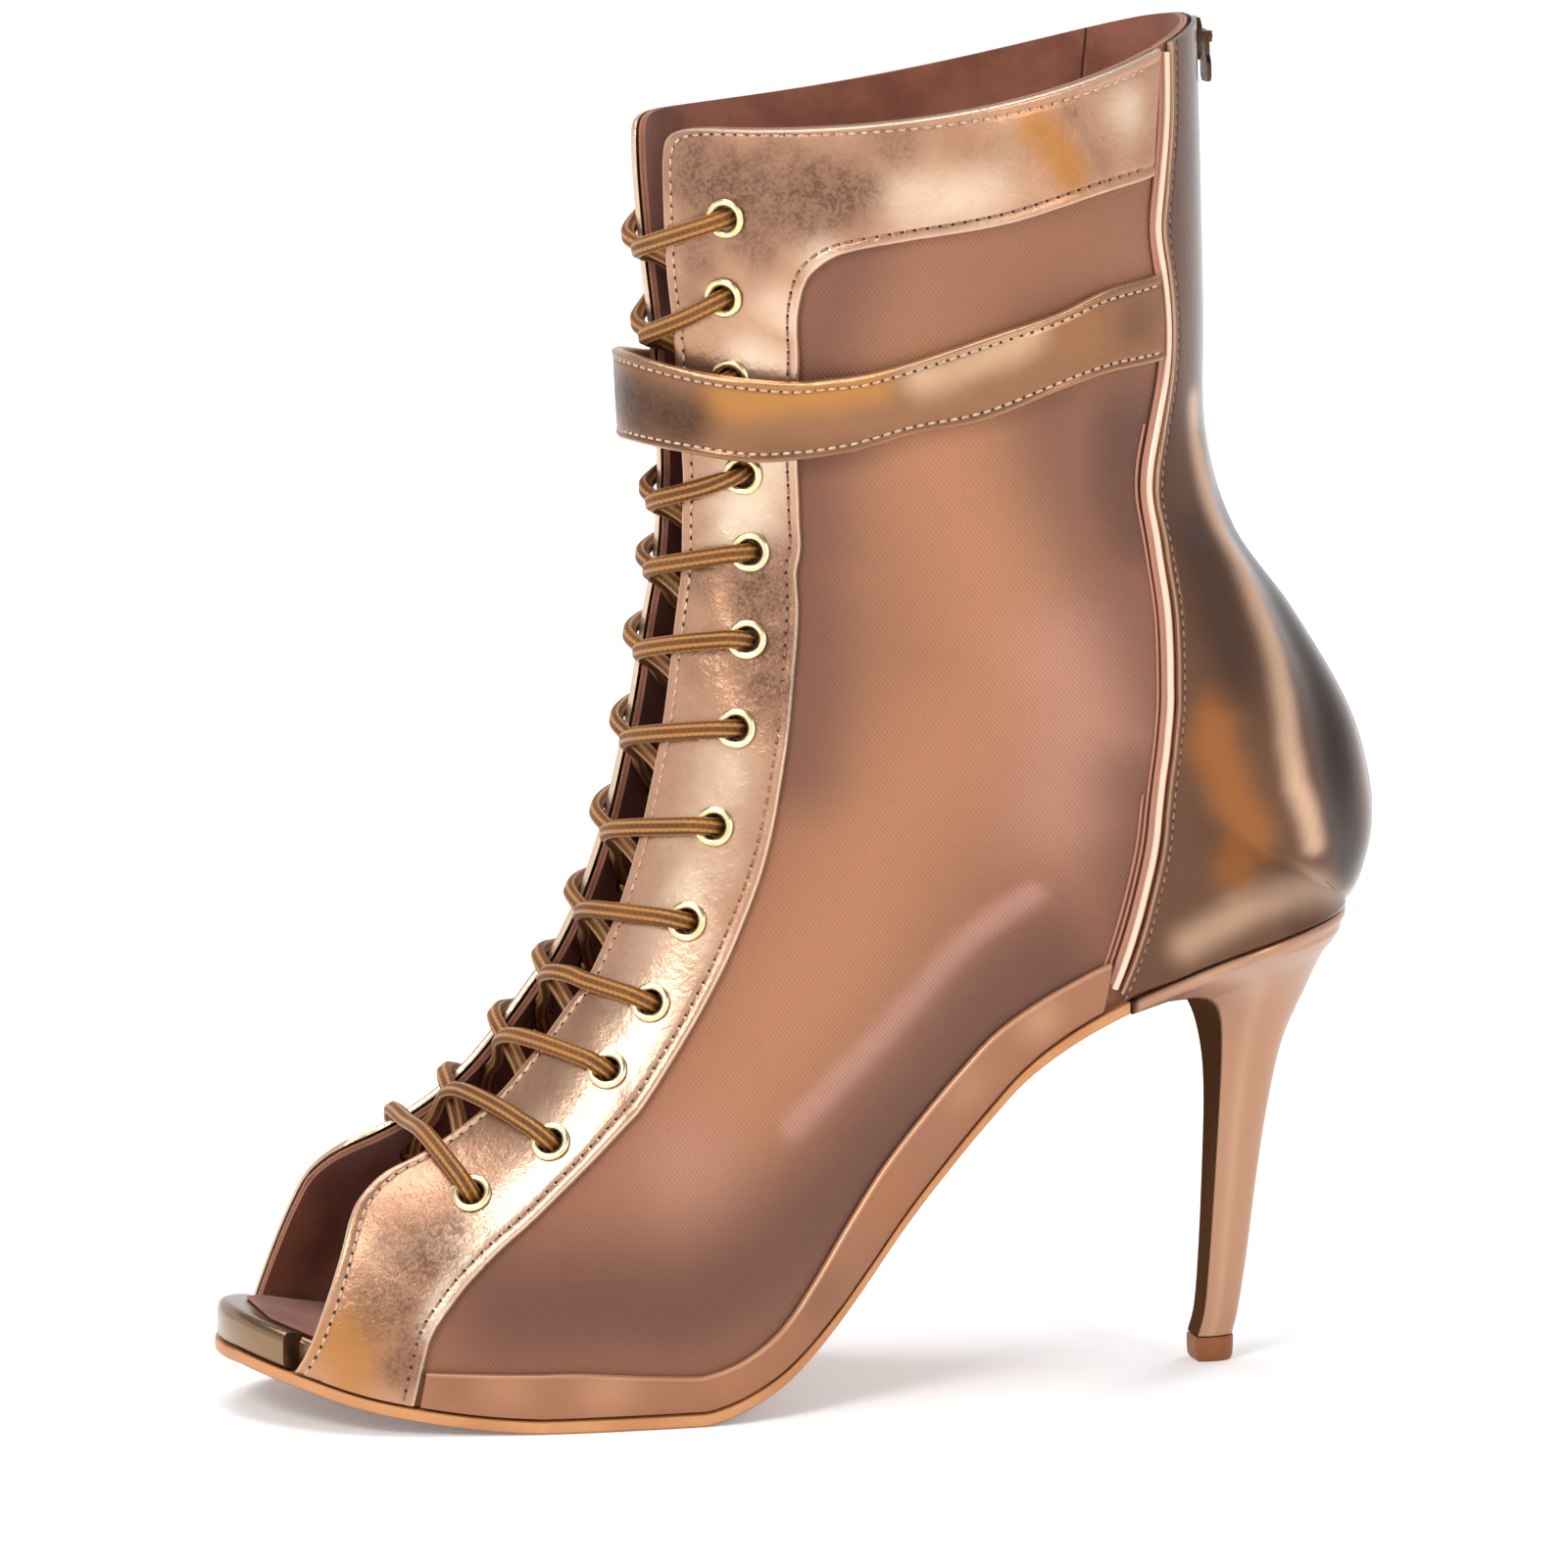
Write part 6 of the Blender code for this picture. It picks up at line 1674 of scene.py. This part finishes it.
patches = []
for side, _ in SIDES:
    lines, lifts = strap_lines(side)
    stations, girths, across, width = spread(*lines, side, 6)
    edge = np.minimum(across, width - across)
    fold = FOLD_HEIGHT * bell(edge - 0.0009, 0.0006)
    sunk = 0.00022 * bell(edge - STRAP_STITCH, STITCH_REACH)
    high = STRAP_THICKNESS * (0.25 + 0.75 * rounded(edge, 0.0007)) + fold - sunk
    tuck = STRAP_THICKNESS * 0.25 * (1 - rounded(edge, 0.0005))
    high, low = (lifts[:, None] + one for one in (high, tuck))
    patches.append(covering(stations, girths, side, across, edge, high, low, STRAP_TONES, crease=0.0))
skin = closed_skin("ankle_strap", patches)
ankle_strap = put("ankle_strap", skin, strap_foil)
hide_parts("strap")
print("strap:", len(skin.polygons), "faces")

# %% [markdown]
# Sole and platform
#
# The outsole is thin leather with a soft lower edge, and over it lie a thin platform wrapped in foiled
# leather and a sock. One outline could be extruded and bevelled, but rings of the last's own outline follow
# the arch and keep every layer in line.

# %% Sole, platform and sock


def outline(alongs, side, grow):
    """The last's outline from above, moved outwards by grow."""
    x = alongs * LENGTH - TOE_TO_TREAD
    y = half_width(alongs, side)
    step = np.stack([np.gradient(x), np.gradient(y)])
    out = np.stack([-step[1], step[0]]) / norm(step, axis=0)
    for end in (0, -1):
        if y[end] < 1e-6:
            out[:, end] = (-1.0 if end == 0 else 1.0, 0.0)
        elif end == -1:
            out[:, end] = (0.0, 1.0)
    return np.stack([x + out[0] * grow, side * (y + out[1] * grow)], axis=1)


def slab(name, rings, alongs, crown=10):
    """A flat-lying solid through rings of the last's outline, closed over top and bottom by strips."""
    build = bmesh.new()
    loops = []
    for grow, height in rings:
        lines = []
        for side in (-1, 1):
            line = outline(alongs, side, grow)
            lines.append([build.verts.new((x, y, float(height(x)))) for x, y in line])
        loops.append(lines)
    for low, high in zip(loops, loops[1:]):
        for one, other in zip(low, high):
            for a, b, c, d in zip(one, one[1:], other[1:], other):
                build.faces.new([a, b, c, d])
        for end in (0, -1):
            build.faces.new([low[0][end], high[0][end], high[1][end], low[1][end]])
    for lines, (_, height) in ((loops[0], rings[0]), (loops[-1], rings[-1])):
        steps = [float(share) for share in np.linspace(0, 1, crown)[1:-1]]
        strips = [[left, *(build.verts.new(left.co.lerp(right.co, step)) for step in steps), right]
                  for left, right in zip(*lines)]
        for near, far in zip(strips, strips[1:]):
            for a, b, c, d in zip(near, near[1:], far[1:], far):
                build.faces.new([a, b, c, d])
    bmesh.ops.remove_doubles(build, verts=build.verts, dist=1e-6)
    bmesh.ops.dissolve_degenerate(build, edges=build.edges, dist=1e-7)
    return finished(build, name)


def plain_values(mesh):
    """Place and tone for a piece that has no cut edges."""
    add_values(mesh, "place", [(*vertex.co[:2], NO_EDGE) for vertex in mesh.vertices])
    add_values(mesh, "tone", np.zeros((len(mesh.vertices), 3)))


def spaced(start, end, count):
    """Places between two ends, closer together towards both."""
    return start + (end - start) * (1 - np.cos(np.linspace(0, math.pi, count + 1))) / 2


def under(x):
    return sole_height(np.clip(share_of(x), 0, 1))


turns = np.linspace(0, math.pi / 2, 6)
alongs = spaced(0.0, 1.0, 240)
alongs = np.append(alongs[alongs < SOLE_END - 0.002], SOLE_END)


def raised(height, by):
    """A height function that many metres higher."""
    return lambda x: height(x) + by


rings = [(SOLE_EDGE - EDGE_ROUND * (1 - math.sin(turn)), raised(under, EDGE_ROUND * (1 - math.cos(turn))))
         for turn in turns]
rings += [(SOLE_EDGE - inwards, raised(under, OUTSOLE - down))
          for inwards, down in ((0.0, 0.0004), (0.0001, 0.0001), (0.0004, 0.0))]
skin = slab("leather_sole", rings, alongs)
plain_values(skin)
leather_sole = put("leather_sole", skin, sole_finish)
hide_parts("outsole")

wall_start = float(column("back_x", 0.0))
alongs = spaced(0.0, 1.0, 220)
step_in = wall_start - np.array([0.0055, 0.0045, 0.0038, 0.0033, 0.003])
alongs = np.sort(np.concatenate([alongs[abs(alongs - wall_start + 0.004) > 0.003], step_in]))
shown, hidden = LEATHER + ON_WALL, -(WALL + ON_WALL + 2 * GAP)
grow = np.interp(alongs, [wall_start - 0.005, wall_start - 0.0033], [shown, hidden])


def bed_top(x):
    return feather_height(x) + (FOOTBED_TOE + (FOOTBED_HEEL - FOOTBED_TOE) * ease(0.4, 0.62, share_of(x)))


rings = [(grow - 0.0004, feather_height), (grow, raised(feather_height, 0.0004))]
rings += [(grow - PLATFORM_ROUND * (1 - math.cos(turn)),
           raised(bed_top, -PLATFORM_ROUND * (1 - math.sin(turn))))
          for turn in np.linspace(0, math.pi / 2, 9)]
skin = slab("platform", rings, alongs)
plain_values(skin)
platform = put("platform", skin, platform_foil)
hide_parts("footbed")

alongs = spaced(0.012, 0.985, 200)
sock_in = -(WALL + ON_WALL + 2 * GAP) - 0.0008
skin = slab("sock", [(sock_in - 0.0003, raised(bed_top, 0.00005)), (sock_in, raised(bed_top, 0.0004)),
                     (sock_in - 0.0003, raised(bed_top, 0.0007))], alongs)
plain_values(skin)
sock = put("sock", skin, lining_finish)
print("sole, platform and sock made")

# %% [markdown]
# Heel
#
# A covered heel is a carved block with leather glued round it and a seam down the breast. It could be a
# subdivided box, but the solid's own rings, read between their rows, keep its size and give the smooth
# flare under the seat.

# %% Heel and top piece


def heel_ring(front, back, front_z, back_z, half, seat, shares):
    """Half-ring points of the heel from its breast to its back: x, half width, z."""
    x = (front + (back - front) * shares) * LENGTH - TOE_TO_TREAD
    z = HEEL_FOOT + (front_z + (back_z - front_z) * shares) * (HEEL_HEIGHT - HEEL_FOOT)
    stem = np.sqrt(np.clip(1 - np.clip((shares - 0.3) / 0.7, 0, 1) ** 2, 0, 1))
    stem = stem * (0.92 + 0.08 * np.clip(shares / 0.3, 0, 1))
    along = HEEL_FRONT + (1 - HEEL_FRONT) * shares
    rim = half_width(along, 1) / (SEAT_WIDTH / 2)
    y = (stem * (1 - seat) + rim * seat) * half * SEAT_WIDTH / 2
    seat_z = sole_height(along)
    sag = seat_z - (seat_z[0] + (seat_z[-1] - seat_z[0]) * shares)
    return np.stack([x, y, z + sag * seat], axis=1)


def half_rings(name, rings):
    """A solid through half rings that are mirrored across the boot's middle, with a flat front."""
    build = bmesh.new()
    loops = []
    for ring in rings:
        whole = [tuple(point) for point in ring[:-1]] + [(ring[-1][0], 0.0, ring[-1][2])]
        whole += [(x, -y, z) for x, y, z in ring[-2::-1]]
        loops.append([build.verts.new(point) for point in whole])
    for low, high in zip(loops, loops[1:]):
        for a, b, c, d in zip(low, low[1:] + low[:1], high[1:] + high[:1], high):
            build.faces.new([a, b, c, d])
    half = len(rings[0])
    for loop in (loops[0], loops[-1]):
        for step in range(half - 2):
            build.faces.new([loop[step], loop[step + 1], loop[-2 - step], loop[-1 - step]])
        build.faces.new(loop[half - 2:half + 1])
    return finished(build, name)


shares = np.concatenate([[0, 0.012, 0.03], np.linspace(0.06, 0.9, 22), [0.93, 0.955, 0.975, 0.99, 1]])
keys = np.arange(len(HEEL["half"]))
rings = []
for at in np.linspace(0, keys[-1], 64):
    rings.append(heel_ring(*(float(smooth(keys, values, at)) for values in HEEL.values()), shares))
alongs = HEEL_FRONT + (1 - HEEL_FRONT) * shares
flush = LEATHER + ON_WALL
for grow_by, drop in ((flush - 0.0009, -0.0002), (flush - 0.0004, 0.0002), (flush, OUTSOLE * 0.4),
                      (flush, OUTSOLE * 0.85), (flush - 0.0003, OUTSOLE)):
    rim = outline(alongs, 1, grow_by)
    rings.append(np.stack([*rim.T, under(rim[:, 0]) + drop], axis=1))
skin = half_rings("covered_heel", rings)
points = np.array([tuple(vertex.co) for vertex in skin.vertices])
around = np.concatenate([shares, shares[-2::-1]])
tone = np.zeros(points.shape)
# a dark strip at the breast is painted shade, and a pale band down the side a painted highlight
tone[:, 0] = np.tile(bell(around, 0.02) * 0.95, len(rings))
tone[:, 1] = np.tile(0.3 * bell(around - 0.32, 0.16), len(rings))
place = points.copy()
place[:, 2] = NO_EDGE
add_values(skin, "place", place)
add_values(skin, "tone", tone)
covered_heel = put("covered_heel", skin, heel_foil)
# the breast face takes the dark finish of painted shade
skin.materials.append(breast_painted_shade)
breast_corners = (0, len(around) - 1)
for face in skin.polygons:
    if all(corner % len(around) in breast_corners for corner in face.vertices):
        face.material_index = 1
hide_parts("heel")

base = heel_ring(*(values[0] for values in HEEL.values()), shares)
middle = base[:, 0].mean()
rings = []
for height, size in ((0.0, 0.88), (0.0002, 0.94), (0.0007, 1.0), (0.0022, 1.03), (TOP_PIECE - 0.0003, 1.04),
                     (TOP_PIECE, 1.01)):
    ring = base.copy()
    ring[:, 0] = middle + (ring[:, 0] - middle) * size
    ring[:, 1] *= size
    ring[:, 2] = height
    rings.append(ring)
skin = half_rings("heel_tip_rubber", rings)
plain_values(skin)
tip = put("heel_tip_rubber", skin, rubber_finish)
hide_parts("top_piece")
print("heel made")

# %% [markdown]
# Eyelets
#
# A shoe eyelet is a short brass tube whose top is rolled outwards. A torus on a cylinder would come close,
# but a profile turned about the hole's own axis has tube and roll in one.

# %% Eyelets
seat = ON_WALL + LEATHER + GAP * 0.2
EYELET_PROFILE = [(EYELET_HOLE + 0.00005, -WALL - 2 * GAP), (EYELET_BARREL, -WALL - 2 * GAP),
                  (EYELET_BARREL, seat), (EYELET_RIM - 0.00012, seat)]
bulge = (EYELET_RIM - EYELET_HOLE) / 2
for turn in np.linspace(-0.35, math.pi * 0.93, 13):
    rise = 0.00022 + 0.00062 * max(math.sin(turn), -0.3)
    EYELET_PROFILE.append((EYELET_HOLE + bulge + bulge * math.cos(turn), seat + rise))
EYELET_PROFILE += [(EYELET_HOLE, seat - 0.0001), (EYELET_HOLE, seat - 0.0006)]
for side, word in SIDES:
    rings = []
    for row in EYELET_ROWS:
        middle, out = eyelet_frame(row, side)
        crease = float(creased(middle[None, None], side)[0, 0])
        rings.append(turned(EYELET_PROFILE, 36, middle + out * crease, out))
    skin = gathered(f"rolled_eyelets_{word}", rings)
    eyelets = put(f"rolled_eyelets_{word}", skin, brass_finish)
    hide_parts(*(f"eyelet_{word}_{row + 1:02d}" for row in EYELET_ROWS))
print("eyelets made")

# %% [markdown]
# Lacing
#
# One lace runs the whole boot. At every eyelet it comes up through the ring, runs over the facing's edge,
# crosses the other strand at the front line and dives under the opposite edge. The lowest bar joins both
# halves, and both hidden ends stop inside the top rings. A rope simulation could settle it, but heights
# worked out from the form keep each strand clear of the leather.

# %% Lace
BRAID_WIDE, BRAID_HIGH = 0.0015, 0.0012
CROSS_LAP = 0.00135
OVER = ON_WALL + LEATHER + BRAID_HIGH + 0.0002
UNDER = -(WALL + BRAID_HIGH + 0.0004)
RING_TOP = ON_WALL + LEATHER + 0.0009 + BRAID_HIGH


def lace_line(side, row, last):
    """From one side's eyelet to the other side's, down as evenly as across: stations, then girths that
    are below zero on the other side."""
    start, end = ((EYELETS["station"][one], EYELETS["girth"][one]) for one in (row, last))
    top, foot = (
        sum(form(EYELETS["station"][one], EYELETS["girth"][one], face) for face in (-1, 1)) / 2
        for one in (last - 1, last))
    ends = [float((form(*place, face) - top) @ (foot - top))
            for place, face in ((start, side), (end, -side))]
    shares = np.linspace(0, 1, 161)
    signed = start[1] - (start[1] + end[1]) * shares
    tries = np.linspace(end[0] - LACE_DIP, start[0] + 0.2, 160)
    stations = []
    for share, one in zip(shares, signed):
        falls = (form(tries, abs(one), side if one > 0 else -side) - top) @ (foot - top)
        stations.append(np.interp(-(ends[0] + (ends[1] - ends[0]) * share), -falls, tries))
    return np.array(stations), signed


def lifted(station, signed, side, lift):
    """Points and normals of a lace line, raised off the form."""
    here, there = (form(station, np.abs(signed), one) for one in (side, -side))
    out_here, out_there = (form_normal(station, np.abs(signed), one) for one in (side, -side))
    near = (signed > 0)[:, None]
    base, out = np.where(near, here, there), np.where(near, out_here, out_there)
    return base + out * np.asarray(lift)[:, None], out


def off_ring(distance):
    """How much higher a lace lies where it has just come over the ring's rim."""
    return (RING_TOP - OVER) * (1 - ease(0.0032, 0.0058, distance))


def ring_gaps(station, signed, side):
    """How far each point of a lace line is from its two rings."""
    base, _ = lifted(station, signed, side, np.zeros(len(station)))
    return (norm(base - end, axis=1) for end in (base[0], base[-1]))


def strand(row, side):
    """From the ring of one row, over, across and under to the ring of the next row on the other side."""
    station, signed = lace_line(side, row, row + 1)
    edge = throat_girth(station)
    down = ease(-0.75, 0.75, -signed / edge)
    bump = -side * CROSS_LAP * np.clip(1 - np.abs(signed) / (edge * 0.8), 0, None)
    from_ring, to_ring = ring_gaps(station, signed, side)
    lift = OVER + (UNDER - OVER) * down + bump
    lift = np.where(from_ring < 0.012, np.maximum(lift, OVER + off_ring(from_ring)), lift)
    points, out = lifted(station, signed, side, lift)
    keep = (from_ring > 0.0022) & (to_ring > 0.0024)
    return points[keep], out[keep]


def through(row, side, rising):
    """Points up through a ring, from inside to outside, or down again."""
    middle, out = eyelet_frame(row, side)
    heights = np.array([-0.0026, -0.0012, 0.0, 0.0009])
    points = middle + out * heights[:, None]
    outs = np.tile(out, (len(heights), 1))
    return (points, outs) if rising else (points[::-1], outs[::-1])


def half_lace(side):
    """One half of the lace, from its hidden end at the top to the lowest ring."""
    points, outs = [], []
    here = side
    for row in EYELET_ROWS[:-1]:
        for part in (through(row, here, True), strand(row, here)):
            points.append(part[0])
            outs.append(part[1])
        here = -here
    last = through(EYELET_ROWS[-1], here, True)
    return np.concatenate(points + [last[0]]), np.concatenate(outs + [last[1]]), here


def lowest_bar(side):
    """The lowest lace, level from one ring over to the other."""
    last = EYELET_ROWS[-1]
    station, signed = lace_line(side, last, last)
    from_ring = np.minimum(*ring_gaps(station, signed, side))
    sag = BAR_SAG * (1 - ease(0.0, throat_girth(station), np.abs(signed)))
    points, out = lifted(station, signed, side, OVER + off_ring(from_ring) - sag)
    keep = from_ring > 0.0022
    return points[keep], out[keep]


def steady_ups(path, outs):
    """Ups carried along the path without twist, then eased towards the way the surface faces."""
    along = unit(np.gradient(path, axis=0))
    up = outs[0] - along[0] * outs[0].dot(along[0])
    carried = []
    for k in range(len(path)):
        up = up - along[k] * up.dot(along[k])
        up /= max(norm(up), 1e-9)
        carried.append(up)
    carried = np.array(carried)
    flat = squared(outs, along)
    size = norm(flat, axis=1)
    flat /= np.maximum(size, 1e-9)[:, None]
    side_ways = np.cross(along, carried)
    turn = np.unwrap(np.arctan2((flat * side_ways).sum(axis=1), (flat * carried).sum(axis=1)) * 2) / 2
    sure = np.flatnonzero(size > 0.85)
    turn = np.interp(np.arange(len(turn)), sure, turn[sure])
    weights = bell(np.arange(-12, 13), 5.0)
    weights /= weights.sum()
    turn = np.convolve(np.pad(turn, 12, mode="edge"), weights, mode="valid")
    return carried * np.cos(turn)[:, None] + side_ways * np.sin(turn)[:, None]


first, first_outs, first_end = half_lace(-1)
second, second_outs, _ = half_lace(1)
bar, bar_outs = lowest_bar(first_end)
lace_points = np.concatenate([first, bar, second[::-1]])
lace_outs = np.concatenate([first_outs, bar_outs, second_outs[::-1]])
path, outs = eased_path(lace_points, lace_outs)
lace_length = norm(np.diff(path, axis=0), axis=1).sum()
skin = gathered("lace", [tube(path, steady_ups(path, outs), oval(BRAID_WIDE, BRAID_HIGH, 24, 6, 0.085))])
lace = put("lace", skin, lace_finish)
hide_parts("lace_bar_13", *(f"lace_crossing_{row + 1:02d}" for row in EYELET_ROWS[:-1]))
print("lace:", round(float(lace_length), 3), "m in the boot")

# %% [markdown]
# Stitches
#
# A lockstitch shows as short beads of thread that sink at each needle hole. A bump could hint at them, but
# real beads catch light from the side, so a bead and a dark hole are stamped at a set distance from the cut
# edges; the dark hole is painted shade where the thread sinks.

# %% Stitch rows
STITCH_PITCH = 0.0022


def stitched(name, lines, thread, pitch=STITCH_PITCH, size=(0.0015, 0.00027, 0.0002),
             hole=(0.00075, 0.0003, 0.00012)):
    """Thread beads, and dark needle holes as painted shade, along several lines of points and normals."""
    beads, holes = [], []
    for line, normals in lines:
        beads += frames_along(line, normals, pitch)
        holes += frames_along(line, normals, pitch, shift=0.5)
    thread_piece = put(name + "_thread", stamped(name + "_thread", *bead(*size), beads), thread)
    hole_piece = put(name + "_holes", stamped(name + "_holes", *bead(*hole, rings=3, sides=6), holes),
                     needle_hole_shade)
    print(name, len(beads), "stitches")


def edge_line(side, lines, distance, height):
    return on_leather(*inset(*lines, side, distance)[:, 2:-3], side, height)


groove = ON_WALL + LEATHER - 0.0002 + 0.00008
for side, word in SIDES:
    lines = facing_lines(side, 360)
    stitched(f"facing_front_{word}", [edge_line(side, lines, STITCH_INSET, groove)], pale_thread)
    stitched(f"facing_rear_{word}", [edge_line(side, lines, -STITCH_INSET, groove)], rose_thread)
    row = seam_line(side, beside - COUNTER_STITCH, ON_WALL + FACET + LEATHER - 0.0001)
    line, normals = eased_path(*row, reach=0.003)
    stitched(f"counter_{word}", [(line, normals)], rose_thread, pitch=0.0019,
             size=(0.0013, 0.00022, 0.00016))

strap_rows = []
for distance in (STRAP_STITCH, -STRAP_STITCH):
    halves = []
    for side, _ in SIDES:
        lines, lifts = strap_lines(side)
        stations, girths = inset(*lines, side, distance)
        top = lifts + STRAP_THICKNESS - 0.00012
        halves.append((form(stations, girths, side, top), form_normal(stations, girths, side)))
    whole = [np.concatenate([halves[0][k][::-1], halves[1][k][1:]]) for k in (0, 1)]
    strap_rows.append((whole[0][2:-2], whole[1][2:-2]))
stitched("strap", strap_rows, pale_thread, pitch=0.002)

# %% [markdown]
# Zip
#
# The zip lies in the slot at the centre back: tape, two rows of teeth and a slider. An Array modifier could
# repeat the teeth, but they follow the last's curve, so they are stamped along it. Slider and pull keep the
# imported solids' shape, with their corners eased.

# %% Tape and teeth
TOOTH_PITCH, TOOTH_AWAY = 0.00078, 0.0007     # along the zip; off its middle
ZIP_STATIONS = np.linspace(ZIP_START + 0.1, LAST_STATION, 150)
patches = []
for side, _ in SIDES:
    across = np.array([0.0, 0.0008, 0.0016, 0.0022, TAPE_HALF])
    girths = 1 - across / half_girth(ZIP_STATIONS, side)[:, None]
    place = np.stack(np.broadcast_arrays(ZIP_STATIONS[:, None] * 0.008, across, NO_EDGE), axis=-1)
    skins = [form(ZIP_STATIONS[:, None], girths, side, ON_WALL + one)
             for one in (np.array([TAPE, TAPE, TAPE, TAPE, TAPE * 0.6]), 0.0)]
    patches.append(patch_of(*skins, place, np.zeros(place.shape), flip=side < 0))
skin = closed_skin("zip_tape", patches)
tape = put("woven_tape", skin, tape_finish)
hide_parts("zip")


def tooth():
    """One zip tooth: a small block with eased corners, reaching past the middle."""
    build = bmesh.new()
    bmesh.ops.create_cube(build, size=1.0)
    bmesh.ops.scale(build, vec=(0.00058, 0.0019, 0.00072), verts=build.verts)
    bmesh.ops.bevel(build, geom=list(build.edges), offset=0.00012, segments=1, affect="EDGES")
    points = [tuple(vertex.co) for vertex in build.verts]
    build.verts.index_update()
    faces = [[vertex.index for vertex in face.verts] for face in build.faces]
    build.free()
    return points, faces


fine = np.linspace(ZIP_START + 0.25, LAST_STATION - 0.05, 900)
line = form(fine, np.ones(len(fine)), -1, ON_WALL + TAPE + 0.00036)
normals = form_normal(fine, np.ones(len(fine)), -1)
frames = [(middle + across * (TOOTH_AWAY if k % 2 else -TOOTH_AWAY), along, across, out)
          for k, (middle, along, across, out) in enumerate(frames_along(line, normals, TOOTH_PITCH))]
skin = stamped("zip_teeth", *tooth(), frames)
teeth = put("zip_teeth", skin, tape_metal)
for node in ("zip_slider", "zip_pull"):
    item = NODES[node]
    item.data.materials.clear()
    item.data.materials.append(tape_metal)
    ease_corners = item.modifiers.new("eased_corners", "BEVEL")
    ease_corners.width = 0.00012
    ease_corners.segments = 2
    ease_corners.limit_method = "ANGLE"
print("zip made with", len(frames), "teeth")
